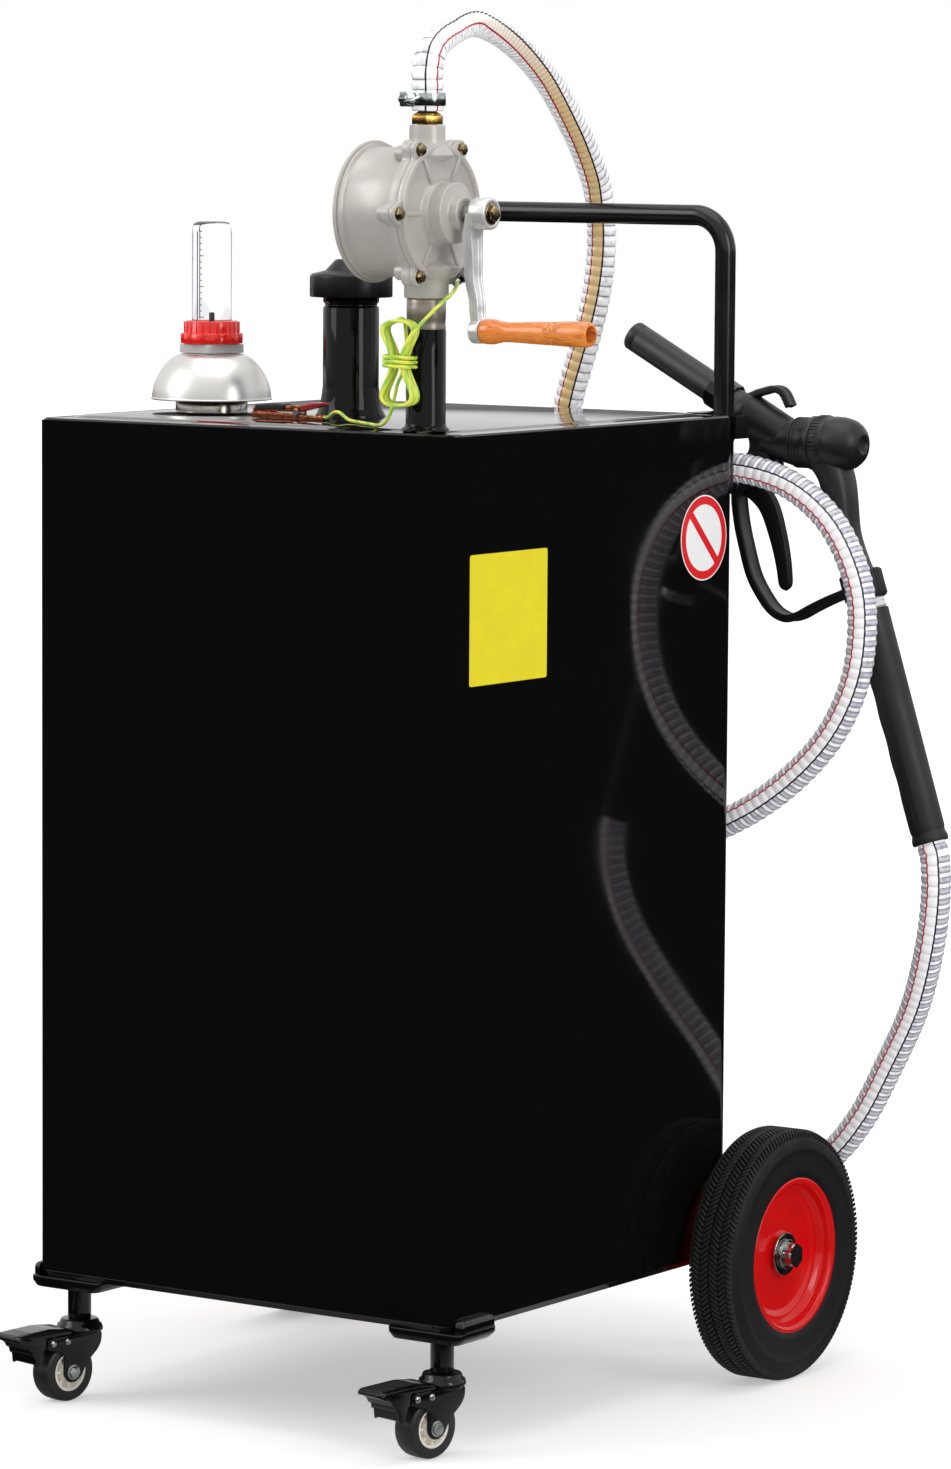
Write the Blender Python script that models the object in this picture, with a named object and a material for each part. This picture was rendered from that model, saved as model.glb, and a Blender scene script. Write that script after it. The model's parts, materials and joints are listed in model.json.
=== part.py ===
"""Fuel caddy: a 115 litre sheet steel tank on two big wheels and two casters,
with a hand crank vane pump, a dispensing nozzle, a float gauge and an earth lead.

Millimetres below are turned to metres by MM. +X is the pump crank's side,
+Y is the push handle's side, and the floor is at Z = 0."""

import math

import bmesh
import bpy
from mathutils import Matrix, Vector

MM = 0.001

SEAT = 0.3 * MM
RUN = 0.4 * MM
OVERRUN = 2 * MM
WELD = 1 * MM
BIG_SIDES = 16
MID_SIDES = 10
SMALL_SIDES = 8
TINY_SIDES = 6
HEX_SIDES = 6
CURVE_STEPS = 40
GAP_STEPS = 6
Z_AXIS = Vector((0, 0, 1))

# Tank
TANK_WIDTH = 410 * MM
TANK_DEPTH = 405 * MM
TANK_HEIGHT = 700 * MM
TANK_WALL = 1.5 * MM
TANK_CORNER = 12 * MM
TANK_CLEARANCE = 102 * MM
TANK_RIM = 5 * MM
TANK_SKIRT = 14 * MM
PANEL_RAISE = 2 * MM
PANEL_INSET = 20 * MM
PANEL_SLOPE = 6 * MM
EDGE_ROUND = 1 * MM
CORNER_STEPS = 2
TANK_X = TANK_WIDTH / 2
TANK_Y = TANK_DEPTH / 2
TANK_TOP = TANK_CLEARANCE + TANK_HEIGHT

# Filler
FILLER_X = 0
FILLER_Y = -55 * MM
FILLER_RADIUS = 22.5 * MM
FILLER_WALL = 2.5 * MM
FILLER_HEIGHT = 112 * MM
FILLER_BASE_RADIUS = 28 * MM
FILLER_BASE_RISE = 24 * MM
FILLER_BASE_EDGE = 3 * MM
FILLER_BEAD_HEIGHT = 92 * MM
FILLER_BEAD_DEPTH = 1.5 * MM
FILLER_BEAD_RUN = 3 * MM
FILLER_DEPTH = 8 * MM
CAP_RADIUS = 33.3 * MM
CAP_RING = 21 * MM
CAP_BOTTOM = 98 * MM
CAP_EDGE = 3 * MM
CAP_CONE_BASE = 20.5 * MM
CAP_CONE_TOP = 12 * MM
CAP_CONE_RISE = 9.5 * MM

# Level gauge
GAUGE_X = -147 * MM
GAUGE_Y = -45 * MM
BUNG_RADIUS = 29.5 * MM
BUNG_RING = 14 * MM
BUNG_NECK = 21 * MM
BUNG_BORE = 16 * MM
BUNG_HEIGHT = 45.5 * MM
BUNG_DEPTH = 8 * MM
DOME_RADIUS = 49 * MM
DOME_RIM = 12.5 * MM
DOME_TOP = 48.5 * MM
DOME_FLAT = 23 * MM
DOME_WALL = 1.5 * MM
DOME_HOLE = 15 * MM
DOME_STEPS = 4
DOME_SQUARENESS = 1.7
HEAD_SIDE = 38 * MM
HEAD_THICK = 7.5 * MM
HEAD_SHANK = 14 * MM
HEAD_SHANK_DEPTH = 30 * MM
STEM_RADIUS = 7 * MM
STEM_DEPTH = 330 * MM
INDICATOR_RADIUS = 1.7 * MM
INDICATOR_SHOW = 82 * MM
RING_RADIUS = 24.5 * MM
RING_LUG = 1.7 * MM
RING_LUG_WIDTH = 4 * MM
RING_LUGS = 6
RING_LOWER = 8.5 * MM
RING_UPPER_RADIUS = 22.9 * MM
RING_UPPER = 10 * MM
GAUGE_TUBE_RADIUS = 16.2 * MM
GAUGE_TUBE_WALL = 2 * MM
GAUGE_TUBE_TOP = 156 * MM
GAUGE_FOOT_RADIUS = 19.5 * MM
GAUGE_FOOT_THICK = 3 * MM
FLOAT_FLOOR = 85 * MM
FLOAT_ARM = TANK_HEIGHT - STEM_DEPTH - FLOAT_FLOOR
FLOAT_ARM_RADIUS = 2 * MM
FLOAT_RADIUS = 14 * MM
FLOAT_LENGTH = 90 * MM
FLOAT_TAPER = 6 * MM
FLOAT_HUB = 5.5 * MM
FLOAT_HUB_WIDTH = 5 * MM
FLOAT_REST = math.radians(-70)
CLEVIS_DROP = 14 * MM
CLEVIS_SLOT = 29 * MM
CLEVIS_WALL = 2.5 * MM
CLEVIS_PIN = 1.8 * MM

# Suction line
SUCTION_X = 160 * MM
SUCTION_INSET = 22.5 * MM
SUCTION_Y = SUCTION_INSET - TANK_Y
STANDPIPE_RADIUS = 15.5 * MM
STANDPIPE_WALL = 3 * MM
STANDPIPE_HEIGHT = 79.7 * MM
STANDPIPE_FOOT = 18.5 * MM
STANDPIPE_FOOT_RISE = 4 * MM
NIPPLE_RADIUS = 15.2 * MM
NIPPLE_SHOW = 24 * MM
NIPPLE_SPIGOT = 12.1 * MM
NIPPLE_SPIGOT_LENGTH = 30 * MM
NIPPLE_THREAD = 13 * MM
NIPPLE_THREAD_LENGTH = 11 * MM
DIP_RADIUS = 8.6 * MM
DIP_BORE = 6.6 * MM
DIP_FOOT_RADIUS = 11.4 * MM
DIP_FOOT_LENGTH = 26 * MM
DIP_FOOT_GAP = 18 * MM
DIP_SLOPE = 3 * MM

# Pump, whose parts are placed along X from the body's back face
PUMP_RISE = 169.5 * MM
PUMP_BACK = 109 * MM
PUMP_FLANGE_RADIUS = 55 * MM
PUMP_FLANGE_THICK = 5 * MM
PUMP_FLANGE_GROOVE = 1.5 * MM
PUMP_RADIUS = 50 * MM
PUMP_LENGTH = 59 * MM
PUMP_MOUTH = 8 * MM
CHAMBER_RADIUS = 42 * MM
CHAMBER_SHIFT = 5 * MM
PUMP_BACK_WALL = 5 * MM
SHAFT_RADIUS = 7 * MM
SHAFT_TAIL = 3 * MM
COVER_RADIUS = 53 * MM
COVER_PLATE = 4 * MM
COVER_RIM = 2.5 * MM
COVER_RIM_WIDTH = 5 * MM
COVER_HUB = 25 * MM
COVER_HUB_RISE = 8 * MM
COVER_STEP = 23.5 * MM
COVER_STEP_RISE = 16 * MM
COVER_GLAND_RISE = 18 * MM
COVER_NOSE = 13 * MM
COVER_NOSE_RISE = 24 * MM
RIB_WIDTH = 3 * MM
LOBE_COUNT = 6
PUMP_SIDES = 18
LOBE_CIRCLE = 56 * MM
LOBE_RADIUS = 7.5 * MM
BOLT_HEAD = 4.8 * MM
BOLT_HEAD_THICK = 3.5 * MM
INLET_RADIUS = 17.3 * MM
INLET_LENGTH = 16 * MM
INLET_BORE = 9 * MM
OUTLET_RADIUS = 13.9 * MM
OUTLET_LENGTH = 17.4 * MM
OUTLET_BORE = 8 * MM
PORT_ROOT = 45 * MM
ROTOR_RADIUS = 36 * MM
VANE_WIDTH = 4 * MM
VANE_HEIGHT = 20 * MM
VANE_SLOT = 22.5 * MM

# Crank
CRANK_BOSS = 12.3 * MM
CRANK_BOSS_LENGTH = 15.5 * MM
CRANK_BOSS_GAP = 9 * MM
CRANK_FACE = 2 * MM
CRANK_LENGTH = 90 * MM
CRANK_END_BOSS = 9.5 * MM
CRANK_END_THICK = 8 * MM
CRANK_ARM_WIDTH = 17 * MM
CRANK_ARM_THICK = 9 * MM
CRANK_SWEEP = 10 * MM
CRANK_CHANNEL_DEPTH = 2 * MM
CRANK_CHANNEL_SHARE = 0.42
CRANK_SHARES = (
    (0.09, 0.75, 1, 0.92), (0.2, 1, 0.95, 1), (0.5, 0.9, 0.8, 0.94), (0.8, 0.5, 0.68, 0.88),
    (1, 0.385, 0.64, 0.85),
)
CRANK_SCREW = 3 * MM
CRANK_SCREW_HEAD = 6.3 * MM
CRANK_SCREW_HEAD_THICK = 3.6 * MM
CRANK_SCREW_LENGTH = 12 * MM
GRIP_LENGTH = 98 * MM
GRIP_RADIUS = 9.8 * MM
GRIP_SHARES = (
    (0, 0.9), (0.03, 0.99), (0.11, 0.98), (0.19, 0.8), (0.35, 0.82), (0.6, 0.92), (0.635, 0.86),
    (0.67, 0.94), (0.9, 1), (1, 0.9),
)
GRIP_RECESS = 6.8 * MM
GRIP_RECESS_DEPTH = 11 * MM
GRIP_PIN = 3.4 * MM
GRIP_PIN_HEAD = 5.8 * MM
GRIP_PIN_HEAD_THICK = 3.5 * MM

# Outlet fitting, hose and its clamp
FITTING_HEX = 13.2 * MM
FITTING_HEX_HEIGHT = 7.5 * MM
FITTING_SHANK = 7.6 * MM
FITTING_SHANK_LENGTH = 12 * MM
BARB_LENGTH = 28 * MM
BARB_CREST_SHARE = 0.84
BARB_COUNT = 2
FITTING_BORE = 5.5 * MM
HOSE_RADIUS = 12.5 * MM
HOSE_GROOVE = 1.1 * MM
HOSE_BORE = 9 * MM
HOSE_RIBS = 56
HOSE_SIDES = 8
HOSE_LIFT = 2.6 * MM
CLAMP_WIDTH = 10 * MM
CLAMP_LIFT = 4 * MM
CLAMP_BAND = 1.4 * MM
CLAMP_RISE = 6 * MM
CLAMP_SCREW = 3.2 * MM
CLAMP_SCREW_LENGTH = 15 * MM
CLAMP_TURN = math.radians(34)
# Offsets from the pump's port, with heights from the floor
HOSE_RISE = (
    (0, 0, 1066), (0, 0, 1080), (-1.5, 8, 1097), (-11, 42, 1110),
)
# Across from the middle, behind the tank's back, and height from the floor
HOSE_ROUTE = (
    (127, -270.5, 1120), (102, -183.5, 1108), (76, -92.5, 1079), (54, -15.5, 1038),
    (41, 33.5, 1000), (38, 49.5, 971), (38.5, 51.5, 935), (34, 51.5, 898), (24, 50.5, 858),
    (7, 51.5, 806), (-7, 55.5, 750), (-14, 61.5, 690), (-12, 63.5, 630), (0, 63.5, 570),
    (22, 60.5, 515), (55, 52.5, 472), (97, 43.5, 448), (142, 35.5, 447), (195, 32.5, 468),
    (242, 32.5, 500), (280, 32.5, 540), (303, 32.5, 587), (309, 32.5, 637), (301, 32.5, 677),
    (277, 32.5, 717), (238, 32.5, 745), (188, 32.5, 757), (138, 32.5, 754), (92, 32.5, 738),
    (52, 32.5, 708), (20, 32.5, 665), (-4, 32.5, 610), (-20, 32.5, 545), (-28, 33.5, 475),
    (-27, 36.5, 405), (-16, 43.5, 335), (4, 55.5, 270), (34, 72.5, 214), (76, 92.5, 170),
    (124, 112.5, 145), (175, 126.5, 145), (222, 131.5, 167), (258, 127.5, 205), (290, 118.5, 255),
    (324, 100.5, 308), (350, 78.5, 362), (361.5, 68, 408),
)

# Push handle and brackets behind the tank
HANDLE_RADIUS = 8.5 * MM
HANDLE_RISE = 163.5 * MM
HANDLE_INSET = 17 * MM
HANDLE_BEND = 30 * MM
HANDLE_FOOT = 60 * MM
HANDLE_BEND_STEPS = 3
HANDLE_WALL = 1.5 * MM
HOLDER_X = 152.8 * MM
HOLDER_WALL = 2.2 * MM
HOLDER_LENGTH = 22 * MM
HOLDER_PLATE = 3 * MM
HOLDER_HEIGHT = 19 * MM
HOLDER_DROP = 1 * MM
HOLDER_TAB = 34 * MM
HOLDER_ARM = 14 * MM
HANGER_X = 116 * MM
HANGER_WIDTH = 22 * MM
HANGER_PLATE = 3 * MM
HANGER_REACH = 52 * MM
HANGER_LOW_REACH = 60 * MM
HANGER_LIP = 16 * MM
HANGER_TOP = 730.5 * MM
HANGER_LOW = 431.5 * MM

# Nozzle, which hangs in its own X-Z plane
NOZZLE_STAND = 65.5 * MM
NOZZLE_Y = TANK_Y + NOZZLE_STAND
SPOUT_TIP = (62.3 * MM, 862.6 * MM)
SPOUT_ROOT = (196.9 * MM, 791.0 * MM)
SPOUT_RADIUS = 12.5 * MM
SPOUT_WALL = 2 * MM
SOCKET_RADIUS = 16 * MM
SOCKET_LENGTH = 28 * MM
SOCKET_BACK = 22 * MM
SOCKET_FRONT = 5 * MM
NOZZLE_HEAD_Z = 778 * MM
NOZZLE_HEAD_FRONT = 196 * MM
NOZZLE_FLANGE = 240.5 * MM
NOZZLE_HEAD_RADIUS = 17 * MM
NOZZLE_HEAD_REAR = 20.5 * MM
NOZZLE_FLANGE_RADIUS = 22.5 * MM
NOZZLE_FLANGE_THICK = 6 * MM
DOME_CAP_RADIUS = 23 * MM
DOME_CAP_LENGTH = 42 * MM
DOME_CAP_SHARES = ((0, 0.94), (0.08, 1), (0.55, 0.97), (0.78, 0.86), (0.92, 0.66), (1, 0.36))
BODY_LINE = (
    (243 * MM, 778 * MM), (262.9 * MM, 751.3 * MM), (271.2 * MM, 706.4 * MM), (280 * MM, 682 * MM),
)
PASSAGE_RADIUS = 6 * MM
COLLAR_PLACE = (290 * MM, 662 * MM)
BODY_WIDTH_TOP = 17.5 * MM
BODY_WIDTH_LOW = 15.5 * MM
COLLAR_RADIUS = 18 * MM
COLLAR_LENGTH = 24 * MM
COLLAR_SIDES = 8
SWIVEL_RADIUS = 14.2 * MM
SWIVEL_SHOW = 9 * MM
SWIVEL_GRIP = 18 * MM
SWIVEL_BORE = 6 * MM
SLEEVE_END = (357.8 * MM, 453.2 * MM)
SLEEVE_TOP_RADIUS = 15.6 * MM
SLEEVE_END_RADIUS = 14.6 * MM
SLEEVE_HOSE = 45 * MM
SLEEVE_WAVE = 0.8 * MM
SLEEVE_WAVES = 4
SLEEVE_STEPS = 10
HOOK_THICK = 6 * MM
HOOK_WIDTH = 12 * MM
HOOK_POINTS = (
    (178 * MM, 808 * MM), (184 * MM, 816 * MM), (194 * MM, 819.5 * MM), (204 * MM, 821.5 * MM),
    (212 * MM, 818.5 * MM), (218.5 * MM, 807.5 * MM),
)
GUARD_THICK = 7 * MM
GUARD_WIDTH = 18 * MM
GUARD_POINTS = (
    (169.4 * MM, 735.1 * MM), (171.5 * MM, 712 * MM), (176.9 * MM, 689.7 * MM), (184.5 * MM, 666 * MM),
    (195 * MM, 648.9 * MM), (206 * MM, 637 * MM), (218.5 * MM, 631.8 * MM), (230 * MM, 634 * MM),
    (242.5 * MM, 640.5 * MM),
)
TRIGGER_PIVOT = (172 * MM, 741 * MM)
TRIGGER_PIN = 2.6 * MM
TRIGGER_WIDTH = 8 * MM
TRIGGER_REACH = 44 * MM
TRIGGER_DROP = 87 * MM
TRIGGER_ARM = 11 * MM
TRIGGER_TOP_THICK = 19 * MM
TRIGGER_END_THICK = 9 * MM
LUG_GAP = 0.6 * MM
LUG_WALL = 3 * MM
LUG_BACK = 9.5 * MM
LUG_FRONT = 8 * MM
LUG_RISE = 12 * MM

# Rear wheels and axle
TYRE_RADIUS = 105 * MM
TYRE_WIDTH = 45 * MM
TYRE_BEAD = 61 * MM
TYRE_SHARES = ((1, 0.36), (0.955, 0.45), (0.86, 0.5), (0.68, 0.49))
TYRE_GAP = 12 * MM
TYRE_WALL = 5 * MM
RIM_LIP = 64.5 * MM
RIM_LIP_THICK = 2 * MM
RIM_LIP_PLACE = 18 * MM
RIM_WALL = 2 * MM
RIM_DISC = 5 * MM
RIM_FLAT = 49 * MM
RIM_CONE = 54 * MM
RIM_CONE_RISE = 2.5 * MM
HUB_RADIUS = 14 * MM
HUB_FACE = 9 * MM
HUB_FLARE = 20 * MM
HUB_INNER = 18 * MM
AXLE_RADIUS = 8 * MM
AXLE_COLLAR = 11 * MM
AXLE_BACK = 20.3 * MM
WASHER_RADIUS = 18 * MM
WASHER_THICK = 2 * MM
LOCK_RADIUS = 12.5 * MM
LOCK_THICK = 3 * MM
AXLE_HEX = 10.5 * MM
AXLE_HEX_THICK = 7.5 * MM
BRACKET_PLATE = 4 * MM
BRACKET_INSET = 4 * MM
BRACKET_RISE = 48 * MM
BRACKET_DROP = 13 * MM
BRACKET_FLANGE = 44 * MM
BRACKET_BOSS = 12.5 * MM

# Casters, whose places run forward from the swivel's axis
CASTER_INSET_X = 25 * MM
CASTER_INSET_Y = 24 * MM
CASTER_REST = math.radians(12)
CASTER_OFFSET = 18 * MM
CASTER_RADIUS = 25 * MM
CASTER_WIDTH = 20 * MM
CASTER_HUB = 16 * MM
CASTER_DISH = 1.2 * MM
CASTER_TREAD_SHARES = ((0.78, 0.47), (0.94, 0.4), (1, 0.22))
FORK_GAP = 1.3 * MM
FORK_PLATE = 2 * MM
FORK_CROWN = 53.5 * MM
FORK_CROWN_THICK = 2.5 * MM
FORK_CROWN_RADIUS = 17 * MM
FORK_OUTLINE = tuple(
    (forward * MM, height * MM) for forward, height in (
        (-13, 56), (-12.5, 47), (-9, 41), (3, 31), (9, 21), (14, 16.5), (22, 16.5), (27, 22), (27, 34),
        (26, 41), (34, 44), (44, 46), (45.5, 51), (42, 55.5), (30, 56))
)
FORK_RIVET = 2 * MM
FORK_RIVET_HEAD = 3.2 * MM
FORK_RIVET_RISE = 1 * MM
FORK_RIVET_PLACE = (23.4 * MM, 51 * MM)
CASTER_CAP = 19 * MM
CASTER_CAP_TOP = 66 * MM
CASTER_CAP_STEP = 61.5 * MM
CASTER_CAP_NECK = 15.5 * MM
CASTER_STEM = 5 * MM
CASTER_STEM_TOP = 83 * MM
KING_PIN = 4 * MM
KING_HEAD = 6 * MM
KING_HEAD_THICK = 1.6 * MM
CASTER_BOLT = 3 * MM
CASTER_BOLT_HEAD = 5.2 * MM
CASTER_BOLT_HEAD_THICK = 3.5 * MM
PEDAL_PIVOT = (38.5 * MM, 51 * MM)
PEDAL_WIDTH = 30 * MM
PEDAL_WING = tuple(
    (forward * MM, height * MM) for forward, height in (
        (21, 58.8), (48, 58.8), (48, 51), (52, 45), (54.5, 36), (58.5, 36), (59.5, 44.5), (62, 45),
        (63, 49.5), (66, 50), (68, 53.5), (72, 56), (79, 57.5), (79.5, 60), (76, 62), (40, 63.5), (21, 61.5))
)
PEDAL_ARM = tuple(
    (forward * MM, height * MM) for forward, height in (
        (23, 53.5), (31, 51.5), (35.5, 46.5), (48.5, 46.5), (48.5, 59.5), (23, 59.5))
)
SHOE_OUT = 8 * MM
SHOE_LENGTH = 71 * MM
SHOE_DEPTH = 54 * MM
SHOE_HEIGHT = 9 * MM
SHOE_CORNER = 8 * MM
SHOE_LIP = 10 * MM
SHOE_TUBE = 9.5 * MM
SHOE_BORE_TOP = 84 * MM

# Earth lead and its clamp
EARTH_RADIUS = 1.4 * MM
EARTH_BOLT = 4
TERMINAL_RADIUS = 5.6 * MM
TERMINAL_THICK = 1 * MM
TERMINAL_TURN = math.radians(26)
# Offsets from the pump's port, with heights from the floor
EARTH_UPPER = (
    (22, 9, 915.5), (28, -7, 909.5), (26, -23, 900), (18.5, -30, 889.5), (13, -35, 881.5),
)
HANK_PLACE = (-3, -31, 858)
HANK_TILT = math.radians(12)
HANK_LOOPS = 5
HANK_STEPS = 24
HANK_PITCH = 3.5 * MM
HANK_UP = 31 * MM
HANK_DOWN = 34 * MM
HANK_WAIST = 4.5 * MM
HANK_BULGE = 26 * MM
HANK_WRAPS = 3
HANK_WRAP_POWER = 0.4
HANK_WRAP_STEPS = 12
HANK_CLEAR = 0.7 * MM
HANK_EASE = 2 * MM
# Offsets from the pump's port, with heights from the floor
EARTH_LOWER = (
    (-13.5, -18, 841), (-17, -18.5, 828), (-22, -17, 815.5), (-33, -10, 808), (-48, 2, 805.9),
    (-68, 18, 805.8), (-90, 34, 805.8), (-104, 42, 807), (-114, 46, 811.5), (-122, 49, 811.5),
    (-129, 51.5, 807.6),
)
JAW_LENGTH = 44 * MM
TAIL_LENGTH = 26 * MM
JAW_WIDTH = 10 * MM
JAW_HEIGHT = 5.5 * MM
TAIL_RISE = 8 * MM
CLIP_SETBACK = 55 * MM
CLIP_PLACE = (0, SUCTION_Y + CLIP_SETBACK)
CLIP_PIN = 1.5 * MM


def at(x, y, z):
    """Moves a shape to a place."""
    return Matrix.Translation((x, y, z))


def facing(place, direction, turn=0):
    """Lays a shape's own Z along a direction, at a place."""
    lie = Vector(direction).to_track_quat("Z", "Y").to_matrix().to_4x4()
    return Matrix.Translation(place) @ lie @ Matrix.Rotation(turn, 4, "Z")


def along_x(x, y, z):
    """Lays a shape's own Z along +X and its own X along -Z."""
    return at(x, y, z) @ Matrix.Rotation(math.pi / 2, 4, "Y")


def upright(x, y, z):
    """Stands an outline drawn in X and Y up in the X-Z plane, its thickness along Y."""
    return at(x, y, z) @ Matrix.Rotation(math.pi / 2, 4, "X")


def placed(name, shape, matrix=None):
    """One closed body, as an object."""
    bmesh.ops.remove_doubles(shape, verts=shape.verts, dist=SEAT / 1000)
    if matrix is not None:
        shape.transform(matrix)
    bmesh.ops.recalc_face_normals(shape, faces=shape.faces)
    if shape.calc_volume(signed=True) < 0:
        bmesh.ops.reverse_faces(shape, faces=shape.faces)
    mesh = bpy.data.meshes.new(name)
    shape.to_mesh(mesh)
    shape.free()
    made = bpy.data.objects.new(name, mesh)
    bpy.context.scene.collection.objects.link(made)
    return made


def boolean(target, tool, operation):
    """Joins or cuts with a tool that stays in the file as a hidden wire."""
    step = target.modifiers.new(operation.title(), "BOOLEAN")
    step.operation = operation
    step.solver = "EXACT"
    step.object = tool
    tool.hide_render = True
    tool.display_type = "WIRE"
    return target


def join(target, *tools):
    for tool in tools:
        boolean(target, tool, "UNION")
    return target


def cut(target, *tools):
    for tool in tools:
        boolean(target, tool, "DIFFERENCE")
    return target


def skinned(rings, closed=False, capped=True):
    """Faces between rings of points, each ring as long as the next."""
    shape = bmesh.new()
    rows = [[shape.verts.new(point) for point in ring] for ring in rings]
    pairs = list(zip(rows, rows[1:]))
    if closed:
        pairs.append((rows[-1], rows[0]))
    for low, high in pairs:
        for index in range(len(low)):
            after = (index + 1) % len(low)
            shape.faces.new((low[index], low[after], high[after], high[index]))
    if capped and not closed:
        shape.faces.new(rows[0])
        shape.faces.new(rows[-1])
    return shape


def turned(profile, sides=MID_SIDES, turn=0):
    """A closed profile of (radius, height) turned round Z. Points on the axis have radius 0."""
    shape = bmesh.new()
    rows = []
    for radius, height in profile:
        if radius <= 0:
            rows.append([shape.verts.new((0, 0, height))] * sides)
            continue
        rows.append([
            shape.verts.new((
                radius * math.cos(turn + 2 * math.pi * side / sides),
                radius * math.sin(turn + 2 * math.pi * side / sides),
                height,
            ))
            for side in range(sides)
        ])
    for low, high in zip(rows, rows[1:] + rows[:1]):
        for side in range(sides):
            after = (side + 1) % sides
            corners = []
            for corner in (low[side], low[after], high[after], high[side]):
                if corner not in corners:
                    corners.append(corner)
            if len(corners) > 2:
                shape.faces.new(corners)
    return shape


def rod(radius, low, high, sides=SMALL_SIDES, turn=0):
    angles = [turn + 2 * math.pi * side / sides for side in range(sides)]
    ring = [(radius * math.cos(angle), radius * math.sin(angle)) for angle in angles]
    return skinned([[(x, y, z) for x, y in ring] for z in (low, high)])


def sleeve(radius, bore, low, high, sides=MID_SIDES):
    return turned([(bore, low), (radius, low), (radius, high), (bore, high)], sides)


def block(low, high):
    """A box between two corners."""
    corners = ((low[0], low[1]), (high[0], low[1]), (high[0], high[1]), (low[0], high[1]))
    return skinned([[(x, y, z) for x, y in corners] for z in (low[2], high[2])])


def extruded(outline, low, high):
    """An outline in X and Y, given thickness from low to high along Z."""
    return skinned([[(x, y, z) for x, y in outline] for z in (low, high)])


def rounded(width, depth, corner, steps=CORNER_STEPS):
    """The outline of a rounded rectangle about the centre."""
    outline = []
    corners = ((1, 1, 0), (-1, 1, 1), (-1, -1, 2), (1, -1, 3))
    for side_x, side_y, quarter in corners:
        for step in range(steps + 1):
            angle = math.pi / 2 * (quarter + step / steps)
            outline.append((
                side_x * (width / 2 - corner) + corner * math.cos(angle),
                side_y * (depth / 2 - corner) + corner * math.sin(angle),
            ))
    return outline


def tank_ring(inset, z):
    """The tank's outline, moved in by an inset, at a height."""
    corner = max(TANK_CORNER - inset, EDGE_ROUND)
    outline = rounded(TANK_WIDTH - 2 * inset, TANK_DEPTH - 2 * inset, corner)
    return [(x, y, z) for x, y in outline]


def smooth(points, spacing):
    """Points laid evenly along a smooth line through the given ones."""
    given = [Vector(point) for point in points]
    padded = [2 * given[0] - given[1]] + given + [2 * given[-1] - given[-2]]
    fine = []
    for first, second, third, fourth in zip(padded, padded[1:], padded[2:], padded[3:]):
        for step in range(CURVE_STEPS):
            share = step / CURVE_STEPS
            squared = share * share
            cubed = squared * share
            fine.append((
                2 * second
                + (third - first) * share
                + (2 * first - 5 * second + 4 * third - fourth) * squared
                + (3 * second - first - 3 * third + fourth) * cubed
            ) / 2)
    fine.append(given[-1])
    travelled = [0]
    for before, after in zip(fine, fine[1:]):
        travelled.append(travelled[-1] + (after - before).length)
    count = max(1, round(travelled[-1] / spacing))
    laid = []
    index = 0
    for number in range(count + 1):
        wanted = travelled[-1] * number / count
        while index < len(fine) - 2 and travelled[index + 1] < wanted:
            index += 1
        run = travelled[index + 1] - travelled[index]
        laid.append(fine[index].lerp(fine[index + 1], (wanted - travelled[index]) / run))
    return laid


def from_pump(points):
    """Points given as offsets from the pump's port, with heights from the floor."""
    return [Vector((SUCTION_X + x * MM, SUCTION_Y + y * MM, z * MM)) for x, y, z in points]


def frames(path):
    """At each point of a path, two directions across it that turn as little as they can."""
    made = []
    across = None
    for index, point in enumerate(path):
        ahead = path[min(index + 1, len(path) - 1)] - path[max(index - 1, 0)]
        ahead.normalize()
        if across is None:
            across = ahead.orthogonal()
        across = (across - ahead * across.dot(ahead)).normalized()
        made.append((point, across, ahead.cross(across)))
    return made


def rings_along(path, radii, sides):
    """Round rings along a path."""
    rings = []
    for (point, across, over), radius in zip(frames(path), radii):
        ring = []
        for side in range(sides):
            angle = 2 * math.pi * side / sides
            ring.append(point + (across * math.cos(angle) + over * math.sin(angle)) * radius)
        rings.append(ring)
    return rings


def cable(path, radius, sides=HEX_SIDES):
    return skinned(rings_along(path, [radius] * len(path), sides))


def pipe(path, radii, inner_path, bore, sides):
    """A tube along a path, its bore drawn with fewer rings."""
    outside = rings_along(path, radii, sides)
    inside = rings_along(inner_path, [bore] * len(inner_path), sides)
    return skinned(outside + inside[::-1], closed=True)


def bar(points, y, width, thick, ends=(1, 1)):
    """A flat bar bent in the X-Z plane, thick across its run and as wide as given along Y."""
    line = [Vector((x, 0, z)) for x, z in points]
    rings = []
    for index, point in enumerate(line):
        ahead = (line[min(index + 1, len(line) - 1)] - line[max(index - 1, 0)]).normalized()
        out = Vector((-ahead.z, 0, ahead.x))
        share = ends[0] + (ends[1] - ends[0]) * index / (len(line) - 1)
        half = thick * share / 2
        soft = half * 0.6
        section = (
            (half, -width * 0.3), (half, width * 0.3), (soft, width / 2), (-soft, width / 2),
            (-half, width * 0.3), (-half, -width * 0.3), (-soft, -width / 2), (soft, -width / 2),
        )
        rings.append([point + out * side + Vector((0, y + over, 0)) for side, over in section])
    return skinned(rings)


def print_least_gap(name, path, radius):
    """Prints the least clear space between two stretches of a line that are well apart along it."""
    fine = []
    travelled = []
    run = 0
    for before, after in zip(path, path[1:]):
        for step in range(GAP_STEPS):
            fine.append(before.lerp(after, step / GAP_STEPS))
            travelled.append(run + (after - before).length * step / GAP_STEPS)
        run += (after - before).length
    apart = 8 * radius
    least = min(
        (point - fine[later]).length
        for index, point in enumerate(fine)
        for later in range(index + 1, len(fine))
        if travelled[later] - travelled[index] > apart
    )
    print(f"{name}: least gap to itself {(least - 2 * radius) / MM:.2f} mm")


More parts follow.
